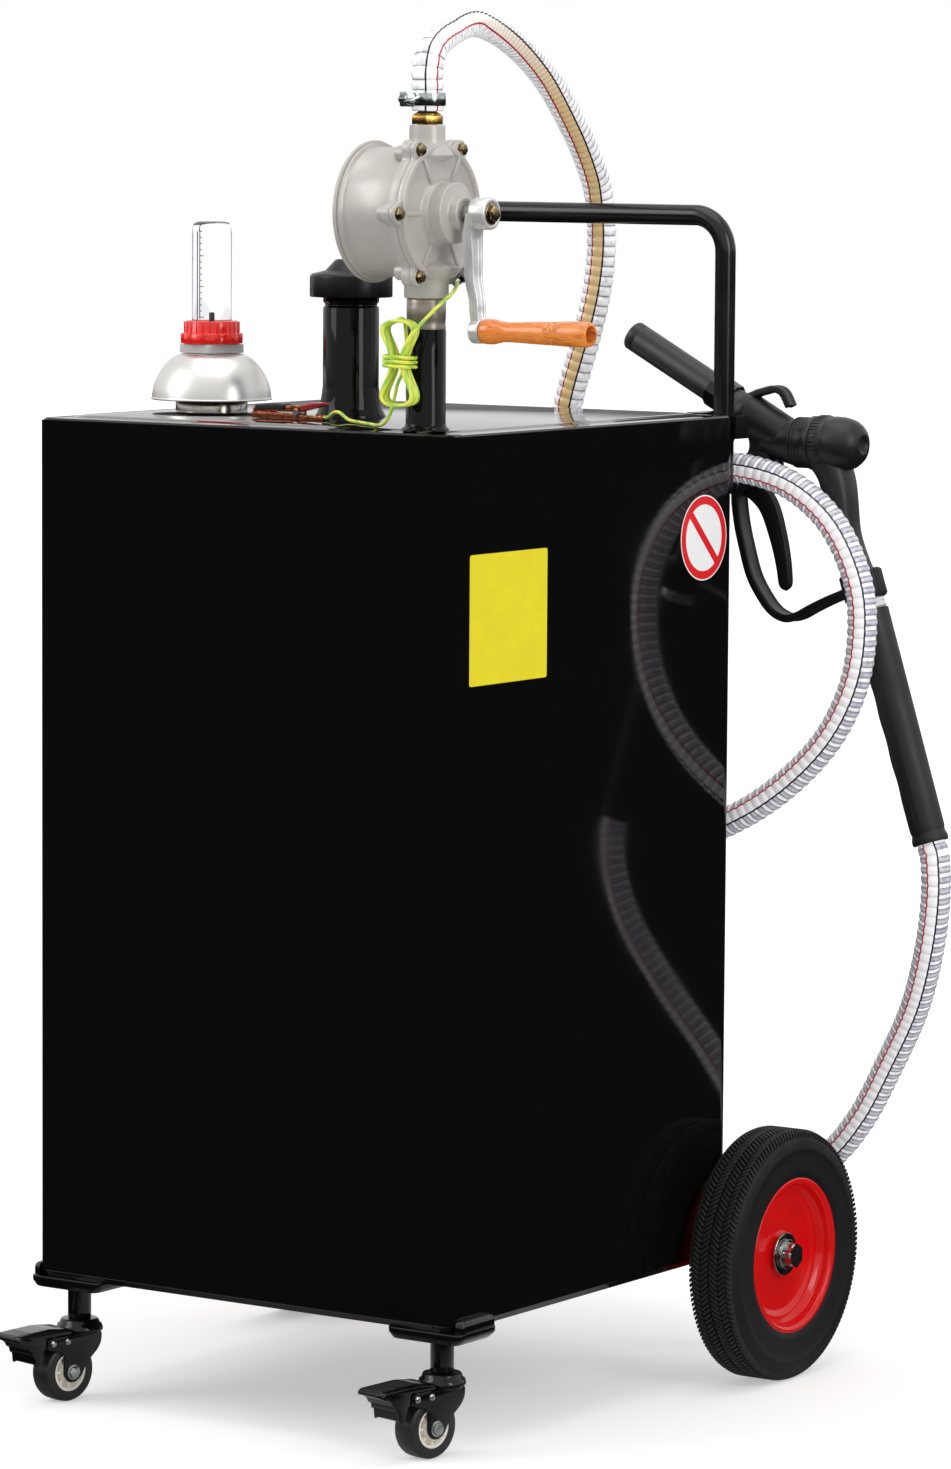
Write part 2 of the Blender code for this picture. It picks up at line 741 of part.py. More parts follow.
def tank():
    wrap_low = TANK_CLEARANCE + TANK_RIM + SEAT
    wrap_high = TANK_TOP - TANK_WALL - SEAT
    rings = [
        tank_ring(0, wrap_low),
        tank_ring(0, wrap_high),
        tank_ring(TANK_WALL, wrap_high),
        tank_ring(TANK_WALL, wrap_low),
    ]
    placed("tank_wrap", skinned(rings, closed=True))

    lap = TANK_WALL + SEAT
    inner = lap + TANK_WALL
    under = TANK_TOP - TANK_WALL
    slope = PANEL_INSET + PANEL_SLOPE
    top = placed("tank_top", skinned([
        tank_ring(slope, TANK_TOP + PANEL_RAISE),
        tank_ring(PANEL_INSET, TANK_TOP),
        tank_ring(EDGE_ROUND, TANK_TOP),
        tank_ring(0, TANK_TOP - EDGE_ROUND),
        tank_ring(0, under),
        tank_ring(lap, under),
        tank_ring(lap, TANK_TOP - TANK_SKIRT),
        tank_ring(inner, TANK_TOP - TANK_SKIRT),
        tank_ring(inner, under - TANK_WALL),
        tank_ring(PANEL_INSET, under - TANK_WALL),
        tank_ring(slope, under + PANEL_RAISE - TANK_WALL),
    ]))
    plate = TANK_TOP + PANEL_RAISE
    standpipe = placed("standpipe", turned([
        (STANDPIPE_RADIUS - STANDPIPE_WALL, plate - TANK_WALL),
        (STANDPIPE_RADIUS, plate - TANK_WALL),
        (STANDPIPE_FOOT, plate - WELD),
        (STANDPIPE_FOOT, plate + EDGE_ROUND),
        (STANDPIPE_RADIUS, plate + STANDPIPE_FOOT_RISE),
        (STANDPIPE_RADIUS, TANK_TOP + STANDPIPE_HEIGHT - EDGE_ROUND),
        (STANDPIPE_RADIUS - EDGE_ROUND, TANK_TOP + STANDPIPE_HEIGHT),
        (STANDPIPE_RADIUS - STANDPIPE_WALL, TANK_TOP + STANDPIPE_HEIGHT),
    ]), at(SUCTION_X, SUCTION_Y, 0))
    low = plate - TANK_SKIRT
    high = plate + TANK_SKIRT
    suction_hole = placed(
        "suction_hole",
        rod(STANDPIPE_RADIUS - STANDPIPE_WALL, low, high, MID_SIDES),
        at(SUCTION_X, SUCTION_Y, 0),
    )
    filler_hole = placed(
        "filler_hole", rod(FILLER_RADIUS + SEAT, low, high, BIG_SIDES), at(FILLER_X, FILLER_Y, 0)
    )
    gauge_hole = placed(
        "gauge_hole", rod(BUNG_NECK + SEAT, low, high, MID_SIDES), at(GAUGE_X, GAUGE_Y, 0)
    )
    join(top, standpipe)
    cut(top, suction_hole, filler_hole, gauge_hole)

    floor = TANK_CLEARANCE
    rim = TANK_CLEARANCE + TANK_RIM
    placed("tank_bottom", skinned([
        tank_ring(EDGE_ROUND + TANK_WALL, floor),
        tank_ring(EDGE_ROUND / 2, floor + EDGE_ROUND),
        tank_ring(EDGE_ROUND / 2, rim),
        tank_ring(lap, rim),
        tank_ring(lap, rim + TANK_SKIRT),
        tank_ring(inner, rim + TANK_SKIRT),
        tank_ring(inner, floor + 2 * TANK_WALL),
    ]))


def filler():
    plate = TANK_TOP + PANEL_RAISE
    base = plate + SEAT
    top = TANK_TOP + FILLER_HEIGHT
    bead = TANK_TOP + FILLER_BEAD_HEIGHT
    bore = FILLER_RADIUS - FILLER_WALL
    placed("filler_neck", turned([
        (bore, plate - FILLER_DEPTH),
        (FILLER_RADIUS - SEAT, plate - FILLER_DEPTH),
        (FILLER_RADIUS - SEAT, base),
        (FILLER_BASE_RADIUS, base),
        (FILLER_BASE_RADIUS, base + FILLER_BASE_EDGE),
        (FILLER_RADIUS + 2 * EDGE_ROUND, base + FILLER_BASE_RISE / 2),
        (FILLER_RADIUS, base + FILLER_BASE_RISE),
        (FILLER_RADIUS, bead - FILLER_BEAD_RUN),
        (FILLER_RADIUS - FILLER_BEAD_DEPTH, bead),
        (FILLER_RADIUS, bead + FILLER_BEAD_RUN),
        (FILLER_RADIUS, top),
        (bore, top),
    ], BIG_SIDES), at(FILLER_X, FILLER_Y, 0))

    low = TANK_TOP + CAP_BOTTOM
    rim = low + CAP_RING
    inner = FILLER_RADIUS + RUN
    placed("filler_cap", turned([
        (0, top + RUN),
        (inner, top + RUN),
        (inner, low),
        (CAP_RADIUS, low),
        (CAP_RADIUS, rim - CAP_EDGE / 2),
        (CAP_RADIUS - CAP_EDGE, rim),
        (CAP_CONE_BASE, rim),
        (CAP_CONE_TOP, rim + CAP_CONE_RISE),
        (0, rim + CAP_CONE_RISE),
    ], BIG_SIDES), at(FILLER_X, FILLER_Y, 0))


def gauge():
    place = at(GAUGE_X, GAUGE_Y, TANK_TOP)
    base = PANEL_RAISE + SEAT
    placed("gauge_bung", turned([
        (BUNG_BORE, PANEL_RAISE - BUNG_DEPTH),
        (BUNG_NECK - SEAT, PANEL_RAISE - BUNG_DEPTH),
        (BUNG_NECK - SEAT, base),
        (BUNG_RADIUS, base),
        (BUNG_RADIUS, BUNG_RING - EDGE_ROUND),
        (BUNG_RADIUS - EDGE_ROUND, BUNG_RING),
        (BUNG_NECK, BUNG_RING),
        (BUNG_NECK, BUNG_HEIGHT),
        (BUNG_BORE, BUNG_HEIGHT),
    ]), place)

    outer = []
    inner = []
    for step in range(DOME_STEPS + 1):
        angle = math.pi / 2 * step / DOME_STEPS
        reach = math.cos(angle) ** (2 / DOME_SQUARENESS)
        rise = math.sin(angle) ** (2 / DOME_SQUARENESS)
        for line, shrink in ((outer, 0), (inner, DOME_WALL)):
            radius = DOME_FLAT + (DOME_RADIUS - DOME_FLAT) * reach - shrink
            line.append((radius, DOME_RIM + (DOME_TOP - DOME_RIM) * rise - shrink * (step > 0)))
    inside = [(radius, height) for radius, height in inner]
    inside[-1] = (DOME_FLAT - DOME_WALL, BUNG_HEIGHT + SEAT)
    inside[-2] = (inside[-2][0], min(inside[-2][1], BUNG_HEIGHT + SEAT - EDGE_ROUND))
    placed("gauge_dome", turned(
        outer
        + [(DOME_HOLE, DOME_TOP), (DOME_HOLE, BUNG_HEIGHT + SEAT)]
        + inside[::-1],
        BIG_SIDES,
    ), place)

    head = DOME_TOP + SEAT
    seat = head + HEAD_THICK
    bore = INDICATOR_RADIUS + RUN
    outline = rounded(HEAD_SIDE, HEAD_SIDE, EDGE_ROUND, 1)
    flange = placed("gauge_flange", extruded(outline, head, seat), place)
    shank = placed("gauge_shank", rod(HEAD_SHANK, head - HEAD_SHANK_DEPTH, head + WELD, MID_SIDES), place)
    stem_end = CLEVIS_DROP - STEM_DEPTH
    stem = placed("gauge_stem", rod(STEM_RADIUS, stem_end, head - HEAD_SHANK_DEPTH + WELD), place)
    hub_half = FLOAT_HUB_WIDTH / 2 + RUN
    clevis = placed("gauge_clevis", block(
        (-FLOAT_HUB, -hub_half - CLEVIS_WALL, -STEM_DEPTH - FLOAT_HUB),
        (FLOAT_HUB, hub_half + CLEVIS_WALL, stem_end + WELD),
    ), place)
    clearance = FLOAT_HUB + 2 * RUN
    slot = placed("gauge_clevis_slot", block(
        (-BUNG_RADIUS, -hub_half, -STEM_DEPTH - BUNG_RADIUS),
        (BUNG_RADIUS, hub_half, clearance - STEM_DEPTH),
    ), place)
    relief = placed("gauge_arm_relief", block(
        (-2 * RUN, -hub_half, -STEM_DEPTH),
        (BUNG_RADIUS, hub_half, CLEVIS_SLOT - STEM_DEPTH),
    ), place)
    hole = placed("gauge_stem_bore", rod(bore, -STEM_DEPTH, seat + OVERRUN, TINY_SIDES), place)
    pin = placed("gauge_clevis_pin", rod(
        CLEVIS_PIN, -hub_half - WELD, hub_half + WELD, TINY_SIDES
    ), upright(GAUGE_X, GAUGE_Y, TANK_TOP - STEM_DEPTH))
    join(flange, shank, stem, clevis)
    cut(flange, slot, relief, hole)
    join(flange, pin)

    ring_low = seat + SEAT
    foot = ring_low + GAUGE_FOOT_THICK + SEAT
    step = ring_low + RING_LOWER
    crown = step + RING_UPPER
    bore = GAUGE_TUBE_RADIUS + SEAT
    ring = placed("gauge_ring", turned([
        (GAUGE_FOOT_RADIUS + SEAT, ring_low),
        (RING_RADIUS, ring_low),
        (RING_RADIUS, step),
        (RING_UPPER_RADIUS, step),
        (RING_UPPER_RADIUS, crown - EDGE_ROUND),
        (RING_UPPER_RADIUS - EDGE_ROUND, crown),
        (bore, crown),
        (bore, foot),
        (GAUGE_FOOT_RADIUS + SEAT, foot),
    ]), place)
    for number in range(RING_LUGS):
        turn = 2 * math.pi * number / RING_LUGS
        lug = placed(f"gauge_ring_lug_{number}", block(
            (RING_RADIUS - 2 * RING_LUG, -RING_LUG_WIDTH / 2, ring_low + EDGE_ROUND),
            (RING_RADIUS + RING_LUG, RING_LUG_WIDTH / 2, step - EDGE_ROUND),
        ), place @ Matrix.Rotation(turn, 4, "Z"))
        join(ring, lug)

    inside = GAUGE_TUBE_RADIUS - GAUGE_TUBE_WALL
    placed("gauge_tube", turned([
        (inside, ring_low + SEAT),
        (GAUGE_FOOT_RADIUS, ring_low + SEAT),
        (GAUGE_FOOT_RADIUS, ring_low + GAUGE_FOOT_THICK),
        (GAUGE_TUBE_RADIUS, ring_low + GAUGE_FOOT_THICK),
        (GAUGE_TUBE_RADIUS, GAUGE_TUBE_TOP - EDGE_ROUND),
        (GAUGE_TUBE_RADIUS - EDGE_ROUND, GAUGE_TUBE_TOP),
        (0, GAUGE_TUBE_TOP),
        (0, GAUGE_TUBE_TOP - GAUGE_TUBE_WALL),
        (inside, GAUGE_TUBE_TOP - GAUGE_TUBE_WALL),
    ]), place)

    placed("gauge_indicator", turned([
        (0, clearance + RUN - STEM_DEPTH),
        (INDICATOR_RADIUS, clearance + RUN - STEM_DEPTH),
        (INDICATOR_RADIUS, seat + 2 * GAUGE_FOOT_THICK),
        (2 * INDICATOR_RADIUS, seat + 2 * GAUGE_FOOT_THICK),
        (2 * INDICATOR_RADIUS, seat + 3 * GAUGE_FOOT_THICK),
        (INDICATOR_RADIUS, seat + 3 * GAUGE_FOOT_THICK),
        (INDICATOR_RADIUS, INDICATOR_SHOW),
        (0, INDICATOR_SHOW),
    ], TINY_SIDES), place)

    pivot = (GAUGE_X, GAUGE_Y, TANK_TOP - STEM_DEPTH)
    hub = placed("gauge_float_arm", sleeve(
        FLOAT_HUB, CLEVIS_PIN + RUN, -FLOAT_HUB_WIDTH / 2, FLOAT_HUB_WIDTH / 2, SMALL_SIDES
    ), upright(*pivot))
    way = Vector((math.cos(FLOAT_REST), 0, math.sin(FLOAT_REST)))
    arm = placed("float_rod", rod(
        FLOAT_ARM_RADIUS, FLOAT_HUB - WELD, FLOAT_ARM, TINY_SIDES
    ), facing(pivot, way))
    near = FLOAT_ARM - FLOAT_LENGTH / 2
    far = FLOAT_ARM + FLOAT_LENGTH / 2
    floater = placed("float_body", turned([
        (0, near),
        (FLOAT_RADIUS - FLOAT_TAPER, near),
        (FLOAT_RADIUS, near + FLOAT_TAPER),
        (FLOAT_RADIUS, far - FLOAT_TAPER),
        (FLOAT_RADIUS - FLOAT_TAPER, far),
        (0, far),
    ], SMALL_SIDES), facing(pivot, way))
    join(hub, arm, floater)


def suction():
    place = at(SUCTION_X, SUCTION_Y, TANK_TOP)
    low = STANDPIPE_HEIGHT + SEAT
    high = STANDPIPE_HEIGHT + NIPPLE_SHOW - SEAT
    shoulder = low - NIPPLE_THREAD_LENGTH
    dip = DIP_RADIUS + SEAT
    placed("pump_nipple", turned([
        (dip, low - NIPPLE_SPIGOT_LENGTH),
        (NIPPLE_SPIGOT, low - NIPPLE_SPIGOT_LENGTH),
        (NIPPLE_SPIGOT, low),
        (NIPPLE_RADIUS, low),
        (NIPPLE_RADIUS, high),
        (NIPPLE_THREAD, high),
        (NIPPLE_THREAD, high + NIPPLE_THREAD_LENGTH),
        (DIP_BORE, high + NIPPLE_THREAD_LENGTH),
        (DIP_BORE, shoulder),
        (dip, shoulder),
    ]), place)
    end = TANK_WALL + DIP_FOOT_GAP - TANK_HEIGHT
    foot = end + DIP_FOOT_LENGTH
    placed("dip_tube", turned([
        (DIP_BORE, end),
        (DIP_FOOT_RADIUS, end),
        (DIP_FOOT_RADIUS, foot),
        (DIP_RADIUS, foot + DIP_SLOPE),
        (DIP_RADIUS, shoulder - SEAT),
        (DIP_BORE, shoulder - SEAT),
    ]), place)


def lobed():
    """The outline that the pump's mouth and cover share: a circle with a lobe at each bolt."""
    outline = []
    far = LOBE_CIRCLE
    bite = math.acos((far ** 2 + COVER_RADIUS ** 2 - LOBE_RADIUS ** 2) / (2 * far * COVER_RADIUS))
    turn = math.pi - math.acos((far ** 2 + LOBE_RADIUS ** 2 - COVER_RADIUS ** 2) / (2 * far * LOBE_RADIUS))
    for number in range(LOBE_COUNT):
        middle = math.pi * 2 * number / LOBE_COUNT - math.pi / 2
        for step in range(-2, 3):
            angle = middle + turn * step / 2
            outline.append((
                LOBE_CIRCLE * math.cos(middle) + LOBE_RADIUS * math.cos(angle),
                LOBE_CIRCLE * math.sin(middle) + LOBE_RADIUS * math.sin(angle),
            ))
        for step in (1, 2):
            angle = middle + bite + (2 * math.pi / LOBE_COUNT - 2 * bite) * step / 3
            outline.append((COVER_RADIUS * math.cos(angle), COVER_RADIUS * math.sin(angle)))
    return outline


def pump():
    axis_z = TANK_TOP + PUMP_RISE
    place = along_x(PUMP_BACK, SUCTION_Y, axis_z)
    mouth = PUMP_LENGTH - PUMP_MOUTH
    body = placed("pump_body", turned([
        (0, 0),
        (PUMP_FLANGE_RADIUS, 0),
        (PUMP_FLANGE_RADIUS, PUMP_FLANGE_THICK),
        (PUMP_RADIUS, PUMP_FLANGE_THICK + PUMP_FLANGE_GROOVE),
        (PUMP_RADIUS, mouth + WELD),
        (0, mouth + WELD),
    ], PUMP_SIDES), place)
    join(body, placed("pump_lobes", extruded(lobed(), mouth, PUMP_LENGTH), place))
    cover_low = PUMP_LENGTH + SEAT
    cover_high = cover_low + COVER_PLATE
    rim = COVER_RADIUS - EDGE_ROUND / 2
    cover = placed("pump_cover", extruded(lobed(), cover_low, cover_high), place)
    raised = placed("cover_face", turned([
        (0, cover_low + WELD),
        (rim, cover_low + WELD),
        (rim, cover_high + COVER_RIM),
        (COVER_RADIUS - COVER_RIM_WIDTH, cover_high + COVER_RIM),
        (COVER_RADIUS - COVER_RIM_WIDTH, cover_high),
        (COVER_HUB, cover_high),
        (COVER_HUB, cover_low + COVER_HUB_RISE),
        (COVER_STEP, cover_low + COVER_HUB_RISE + EDGE_ROUND),
        (COVER_STEP, cover_low + COVER_PLATE + COVER_STEP_RISE),
        (COVER_NOSE, cover_low + COVER_PLATE + COVER_GLAND_RISE),
        (COVER_NOSE, cover_low + COVER_PLATE + COVER_NOSE_RISE),
        (0, cover_low + COVER_PLATE + COVER_NOSE_RISE),
    ], PUMP_SIDES), place)
    shaft_hole = placed("cover_bore", rod(
        SHAFT_RADIUS + RUN, 0, 2 * PUMP_LENGTH, BIG_SIDES), place)
    tools = [raised]
    for number in range(LOBE_COUNT):
        angle = math.pi / 2 - math.pi * 2 * number / LOBE_COUNT
        spoke = place @ Matrix.Rotation(angle, 4, "Z")
        centre = spoke @ at(-LOBE_CIRCLE, 0, 0)
        lift = 0
        if number == EARTH_BOLT:
            lift = COVER_RIM + TERMINAL_THICK + 2 * SEAT
            tools.append(placed("cover_earth_shank", rod(
                BOLT_HEAD / 2, cover_high - WELD, cover_high + lift + WELD, TINY_SIDES), centre))
        tools.append(placed(f"cover_bolt_{number}", rod(
            BOLT_HEAD, cover_high + lift - WELD * (lift == 0), cover_high + lift + BOLT_HEAD_THICK,
            HEX_SIDES), centre))
        tools.append(placed(f"cover_rib_{number}", block(
            (-COVER_RADIUS + COVER_RIM_WIDTH / 2, -RIB_WIDTH / 2, cover_high - WELD),
            (-COVER_STEP + WELD, RIB_WIDTH / 2, cover_high + COVER_RIM - EDGE_ROUND / 2),
        ), spoke))
    join(cover, *tools)
    cut(cover, shaft_hole)

    top = facing((SUCTION_X, SUCTION_Y, axis_z), Z_AXIS)
    outlet_end = PUMP_RADIUS + OUTLET_LENGTH
    inlet_end = axis_z - TANK_TOP - STANDPIPE_HEIGHT - NIPPLE_SHOW
    inner = PORT_ROOT
    join(
        body,
        placed("pump_outlet_boss", turned([
            (0, inner),
            (OUTLET_RADIUS, inner),
            (OUTLET_RADIUS, outlet_end - EDGE_ROUND),
            (OUTLET_RADIUS - EDGE_ROUND, outlet_end),
            (0, outlet_end),
        ], MID_SIDES), top),
        placed("pump_inlet_boss", rod(INLET_RADIUS, -inlet_end, -inner, MID_SIDES), top),
    )
    chamber = placed("pump_chamber", rod(
        CHAMBER_RADIUS, PUMP_BACK_WALL, PUMP_LENGTH + OVERRUN, BIG_SIDES
    ), along_x(PUMP_BACK, SUCTION_Y + CHAMBER_SHIFT, axis_z))
    tail = placed("pump_tail_bore", rod(
        SHAFT_RADIUS + RUN, PUMP_BACK_WALL - SHAFT_TAIL, PUMP_BACK_WALL + OVERRUN, BIG_SIDES
    ), place)
    chamber_inner = CHAMBER_RADIUS - OVERRUN
    outlet = placed("pump_outlet_bore", rod(
        OUTLET_BORE, chamber_inner, outlet_end + OVERRUN, MID_SIDES), top)
    inlet = placed("pump_inlet_bore", rod(
        INLET_BORE, -inlet_end - OVERRUN, -chamber_inner, SMALL_SIDES), top)
    thread = placed("pump_inlet_thread", rod(
        NIPPLE_THREAD + SEAT, -inlet_end - OVERRUN,
        NIPPLE_THREAD_LENGTH + SEAT - inlet_end, MID_SIDES), top)
    front = placed("pump_cover_room", block(
        (-COVER_RADIUS - 2 * SEAT, -LOBE_CIRCLE, PUMP_LENGTH),
        (COVER_RADIUS + 2 * SEAT, LOBE_CIRCLE, 2 * PUMP_LENGTH),
    ), place)
    cut(body, front, chamber, tail, outlet, inlet, thread)

    rotor_low = PUMP_BACK_WALL + RUN
    rotor_high = PUMP_LENGTH - RUN
    nose = cover_low + COVER_PLATE + COVER_NOSE_RISE
    boss_low = nose + CRANK_BOSS_GAP
    boss_high = boss_low + CRANK_BOSS_LENGTH
    shaft_end = boss_high - CRANK_FACE - SEAT
    rotor = placed("pump_rotor", turned([
        (0, PUMP_BACK_WALL - SHAFT_TAIL + RUN),
        (SHAFT_RADIUS, PUMP_BACK_WALL - SHAFT_TAIL + RUN),
        (SHAFT_RADIUS, rotor_low),
        (ROTOR_RADIUS, rotor_low),
        (ROTOR_RADIUS, rotor_high),
        (SHAFT_RADIUS, rotor_high),
        (SHAFT_RADIUS, shaft_end),
        (CRANK_SCREW + SEAT, shaft_end),
        (CRANK_SCREW + SEAT, boss_high - CRANK_SCREW_LENGTH),
        (0, boss_high - CRANK_SCREW_LENGTH),
    ], MID_SIDES), place)
    half = VANE_WIDTH / 2
    for name, side in (("vane_upper", 1), ("vane_lower", -1)):
        slot_root = ROTOR_RADIUS - VANE_SLOT
        ends = sorted((-side * slot_root, -side * (ROTOR_RADIUS + OVERRUN)))
        slot = placed(f"{name}_slot", block(
            (ends[0], -half - RUN, PUMP_BACK_WALL - OVERRUN / 2),
            (ends[1], half + RUN, PUMP_LENGTH + OVERRUN / 2),
        ), place)
        cut(rotor, slot)
        edge = ROTOR_RADIUS - EDGE_ROUND / 2
        ends = sorted((-side * (edge - VANE_HEIGHT), -side * edge))
        placed(name, block(
            (ends[0], -half, rotor_low),
            (ends[1], half, rotor_high),
        ), place)


def crank():
    axis_z = TANK_TOP + PUMP_RISE
    nose = PUMP_BACK + PUMP_LENGTH + SEAT + COVER_PLATE + COVER_NOSE_RISE
    back = nose + CRANK_BOSS_GAP
    front = back + CRANK_BOSS_LENGTH
    place = along_x(0, SUCTION_Y, axis_z)
    arm = placed("crank_arm", turned([
        (0, back),
        (CRANK_BOSS - EDGE_ROUND, back),
        (CRANK_BOSS, back + EDGE_ROUND),
        (CRANK_BOSS, front - EDGE_ROUND),
        (CRANK_BOSS - EDGE_ROUND, front),
        (0, front),
    ]), place)
    middle = (back + front) / 2
    rings = []
    for along, sweep, wide, thick in CRANK_SHARES:
        x = middle - CRANK_SWEEP * sweep
        z = axis_z - CRANK_LENGTH * along
        half = CRANK_ARM_WIDTH * wide / 2
        deep = CRANK_ARM_THICK * thick / 2
        lip = half * (1 - CRANK_CHANNEL_SHARE)
        groove = lip - CRANK_CHANNEL_DEPTH / 2
        low = deep - CRANK_CHANNEL_DEPTH * min(1, 4 * along)
        section = (
            (-deep, -half), (deep, -half), (deep, -lip), (low, -groove),
            (low, groove), (deep, lip), (deep, half), (-deep, half),
        )
        rings.append([(x + out, SUCTION_Y + over, z) for out, over in section])
    web = placed("crank_web", skinned(rings))
    grip_z = axis_z - CRANK_LENGTH
    end_x = middle - CRANK_SWEEP * CRANK_SHARES[-1][1]
    end_low = end_x - CRANK_END_THICK / 2
    end_high = end_x + CRANK_END_THICK / 2
    at_grip = along_x(0, SUCTION_Y, grip_z)
    end = placed("crank_end", turned([
        (0, end_low),
        (CRANK_END_BOSS, end_low),
        (CRANK_END_BOSS, end_high - EDGE_ROUND),
        (CRANK_END_BOSS - EDGE_ROUND, end_high),
        (0, end_high),
    ], SMALL_SIDES), at_grip)
    join(arm, web, end)
    bore = placed("crank_bore", rod(
        SHAFT_RADIUS + SEAT, back - OVERRUN, front - CRANK_FACE, BIG_SIDES), place)
    screw_hole = placed("crank_screw_hole", rod(
        CRANK_SCREW + SEAT, front - 2 * CRANK_FACE, front + OVERRUN, SMALL_SIDES), place)
    pin_hole = placed("crank_pin_hole", rod(
        GRIP_PIN + SEAT, end_low - OVERRUN, end_high + OVERRUN, SMALL_SIDES), at_grip)
    cut(arm, bore, screw_hole, pin_hole)

    head = front + SEAT
    placed("crank_screw", turned([
        (0, front - CRANK_SCREW_LENGTH + SEAT),
        (CRANK_SCREW, front - CRANK_SCREW_LENGTH + SEAT),
        (CRANK_SCREW, head),
        (CRANK_SCREW_HEAD, head),
        (CRANK_SCREW_HEAD, head + CRANK_SCREW_HEAD_THICK / 2),
        (CRANK_SCREW_HEAD * 0.6, head + CRANK_SCREW_HEAD_THICK),
        (0, head + CRANK_SCREW_HEAD_THICK),
    ], SMALL_SIDES), place)

    grip_low = end_high + 2 * SEAT
    grip_high = grip_low + GRIP_LENGTH
    seat = grip_high - GRIP_RECESS_DEPTH
    bore = GRIP_PIN + RUN
    outer = [(GRIP_RADIUS * wide, grip_low + GRIP_LENGTH * along) for along, wide in GRIP_SHARES]
    placed("crank_grip", turned(
        [(bore, grip_low)] + outer
        + [(GRIP_RECESS, grip_high), (GRIP_RECESS, seat), (bore, seat)],
        MID_SIDES,
    ), at_grip)
    placed("grip_pin", turned([
        (0, end_low),
        (GRIP_PIN, end_low),
        (GRIP_PIN, seat + RUN),
        (GRIP_PIN_HEAD, seat + RUN),
        (GRIP_PIN_HEAD, seat + RUN + GRIP_PIN_HEAD_THICK / 2),
        (GRIP_PIN_HEAD * 0.6, seat + RUN + GRIP_PIN_HEAD_THICK),
        (0, seat + RUN + GRIP_PIN_HEAD_THICK),
    ], SMALL_SIDES), at_grip)


def sleeve_line():
    """The nozzle sleeve's direction, from the collar down to the hose, and its length."""
    start = Vector((COLLAR_PLACE[0], NOZZLE_Y, COLLAR_PLACE[1]))
    end = Vector((SLEEVE_END[0], NOZZLE_Y, SLEEVE_END[1]))
    way = (end - start).normalized()
    return start, end, way


def hose_end():
    """How far the hose reaches up into the sleeve, and the straight run before it."""
    start, end, way = sleeve_line()
    return end + way * HOSE_RADIUS, end, end - way * SLEEVE_HOSE


def delivery():
    outlet_top = TANK_TOP + PUMP_RISE + PUMP_RADIUS + OUTLET_LENGTH
    place = at(SUCTION_X, SUCTION_Y, outlet_top)
    hex_low = SEAT
    hex_high = SEAT + FITTING_HEX_HEIGHT
    crest = HOSE_BORE * BARB_CREST_SHARE
    root = crest - EDGE_ROUND
    end = hex_high + BARB_LENGTH
    pitch = (BARB_LENGTH - FITTING_HEX_HEIGHT) / BARB_COUNT
    barbs = []
    for number in range(BARB_COUNT):
        low = hex_high + FITTING_HEX_HEIGHT + pitch * number
        barbs += [(root, low), (crest, low), (root, low + pitch * 0.9)]
    fitting = placed("outlet_fitting", turned([
        (FITTING_BORE, -FITTING_SHANK_LENGTH),
        (FITTING_SHANK, -FITTING_SHANK_LENGTH),
        (FITTING_SHANK, hex_low + WELD),
        (root, hex_low + WELD),
    ] + barbs + [(root, end), (FITTING_BORE, end)]), place)
    hexagon = placed("outlet_hex", turned([
        (FITTING_BORE, hex_low),
        (FITTING_HEX, hex_low),
        (FITTING_HEX, hex_high),
        (FITTING_BORE, hex_high),
    ], HEX_SIDES), place)
    hex_bore = placed("outlet_through_bore", rod(
        FITTING_BORE, -FITTING_SHANK_LENGTH - OVERRUN, end + OVERRUN, MID_SIDES), place)
    join(fitting, hexagon)
    cut(fitting, hex_bore)

    hose_low = outlet_top + hex_high + HOSE_LIFT
    start = Vector((SUCTION_X, SUCTION_Y, hose_low))
    points = [start]
    points += from_pump(HOSE_RISE)
    points += [Vector((x * MM, TANK_Y + y * MM, z * MM)) for x, y, z in HOSE_ROUTE]
    points += list(hose_end())
    path = smooth(points, HOSE_RADIUS)
    length = sum((after - before).length for before, after in zip(path, path[1:]))
    ribbed = smooth(points, length / (2 * HOSE_RIBS))
    plain = smooth(points, 3.6 * HOSE_BORE)
    radii = [HOSE_RADIUS - HOSE_GROOVE * (index % 2) for index in range(len(ribbed))]
    placed("hose", pipe(ribbed, radii, plain, HOSE_BORE, HOSE_SIDES))
    print_least_gap("hose", ribbed, HOSE_RADIUS)

    low = CLAMP_LIFT
    high = low + CLAMP_WIDTH
    inside = HOSE_RADIUS + SEAT
    outside = inside + CLAMP_BAND
    at_clamp = at(SUCTION_X, SUCTION_Y, hose_low) @ Matrix.Rotation(CLAMP_TURN, 4, "Z")
    clamp = placed("hose_clamp", sleeve(outside, inside, low, high, BIG_SIDES), at_clamp)
    housing = placed("hose_clamp_housing", block(
        (inside + CLAMP_BAND / 2, -CLAMP_SCREW_LENGTH / 2, low + EDGE_ROUND),
        (outside + CLAMP_RISE, CLAMP_SCREW_LENGTH / 4, high - EDGE_ROUND),
    ), at_clamp)
    screw = placed("hose_clamp_screw", rod(
        CLAMP_SCREW, -CLAMP_SCREW_LENGTH / 2, CLAMP_SCREW_LENGTH, TINY_SIDES
    ), at_clamp @ at(outside + CLAMP_SCREW, 0, (low + high) / 2) @ Matrix.Rotation(-math.pi / 2, 4, "X"))
    join(clamp, housing, screw)


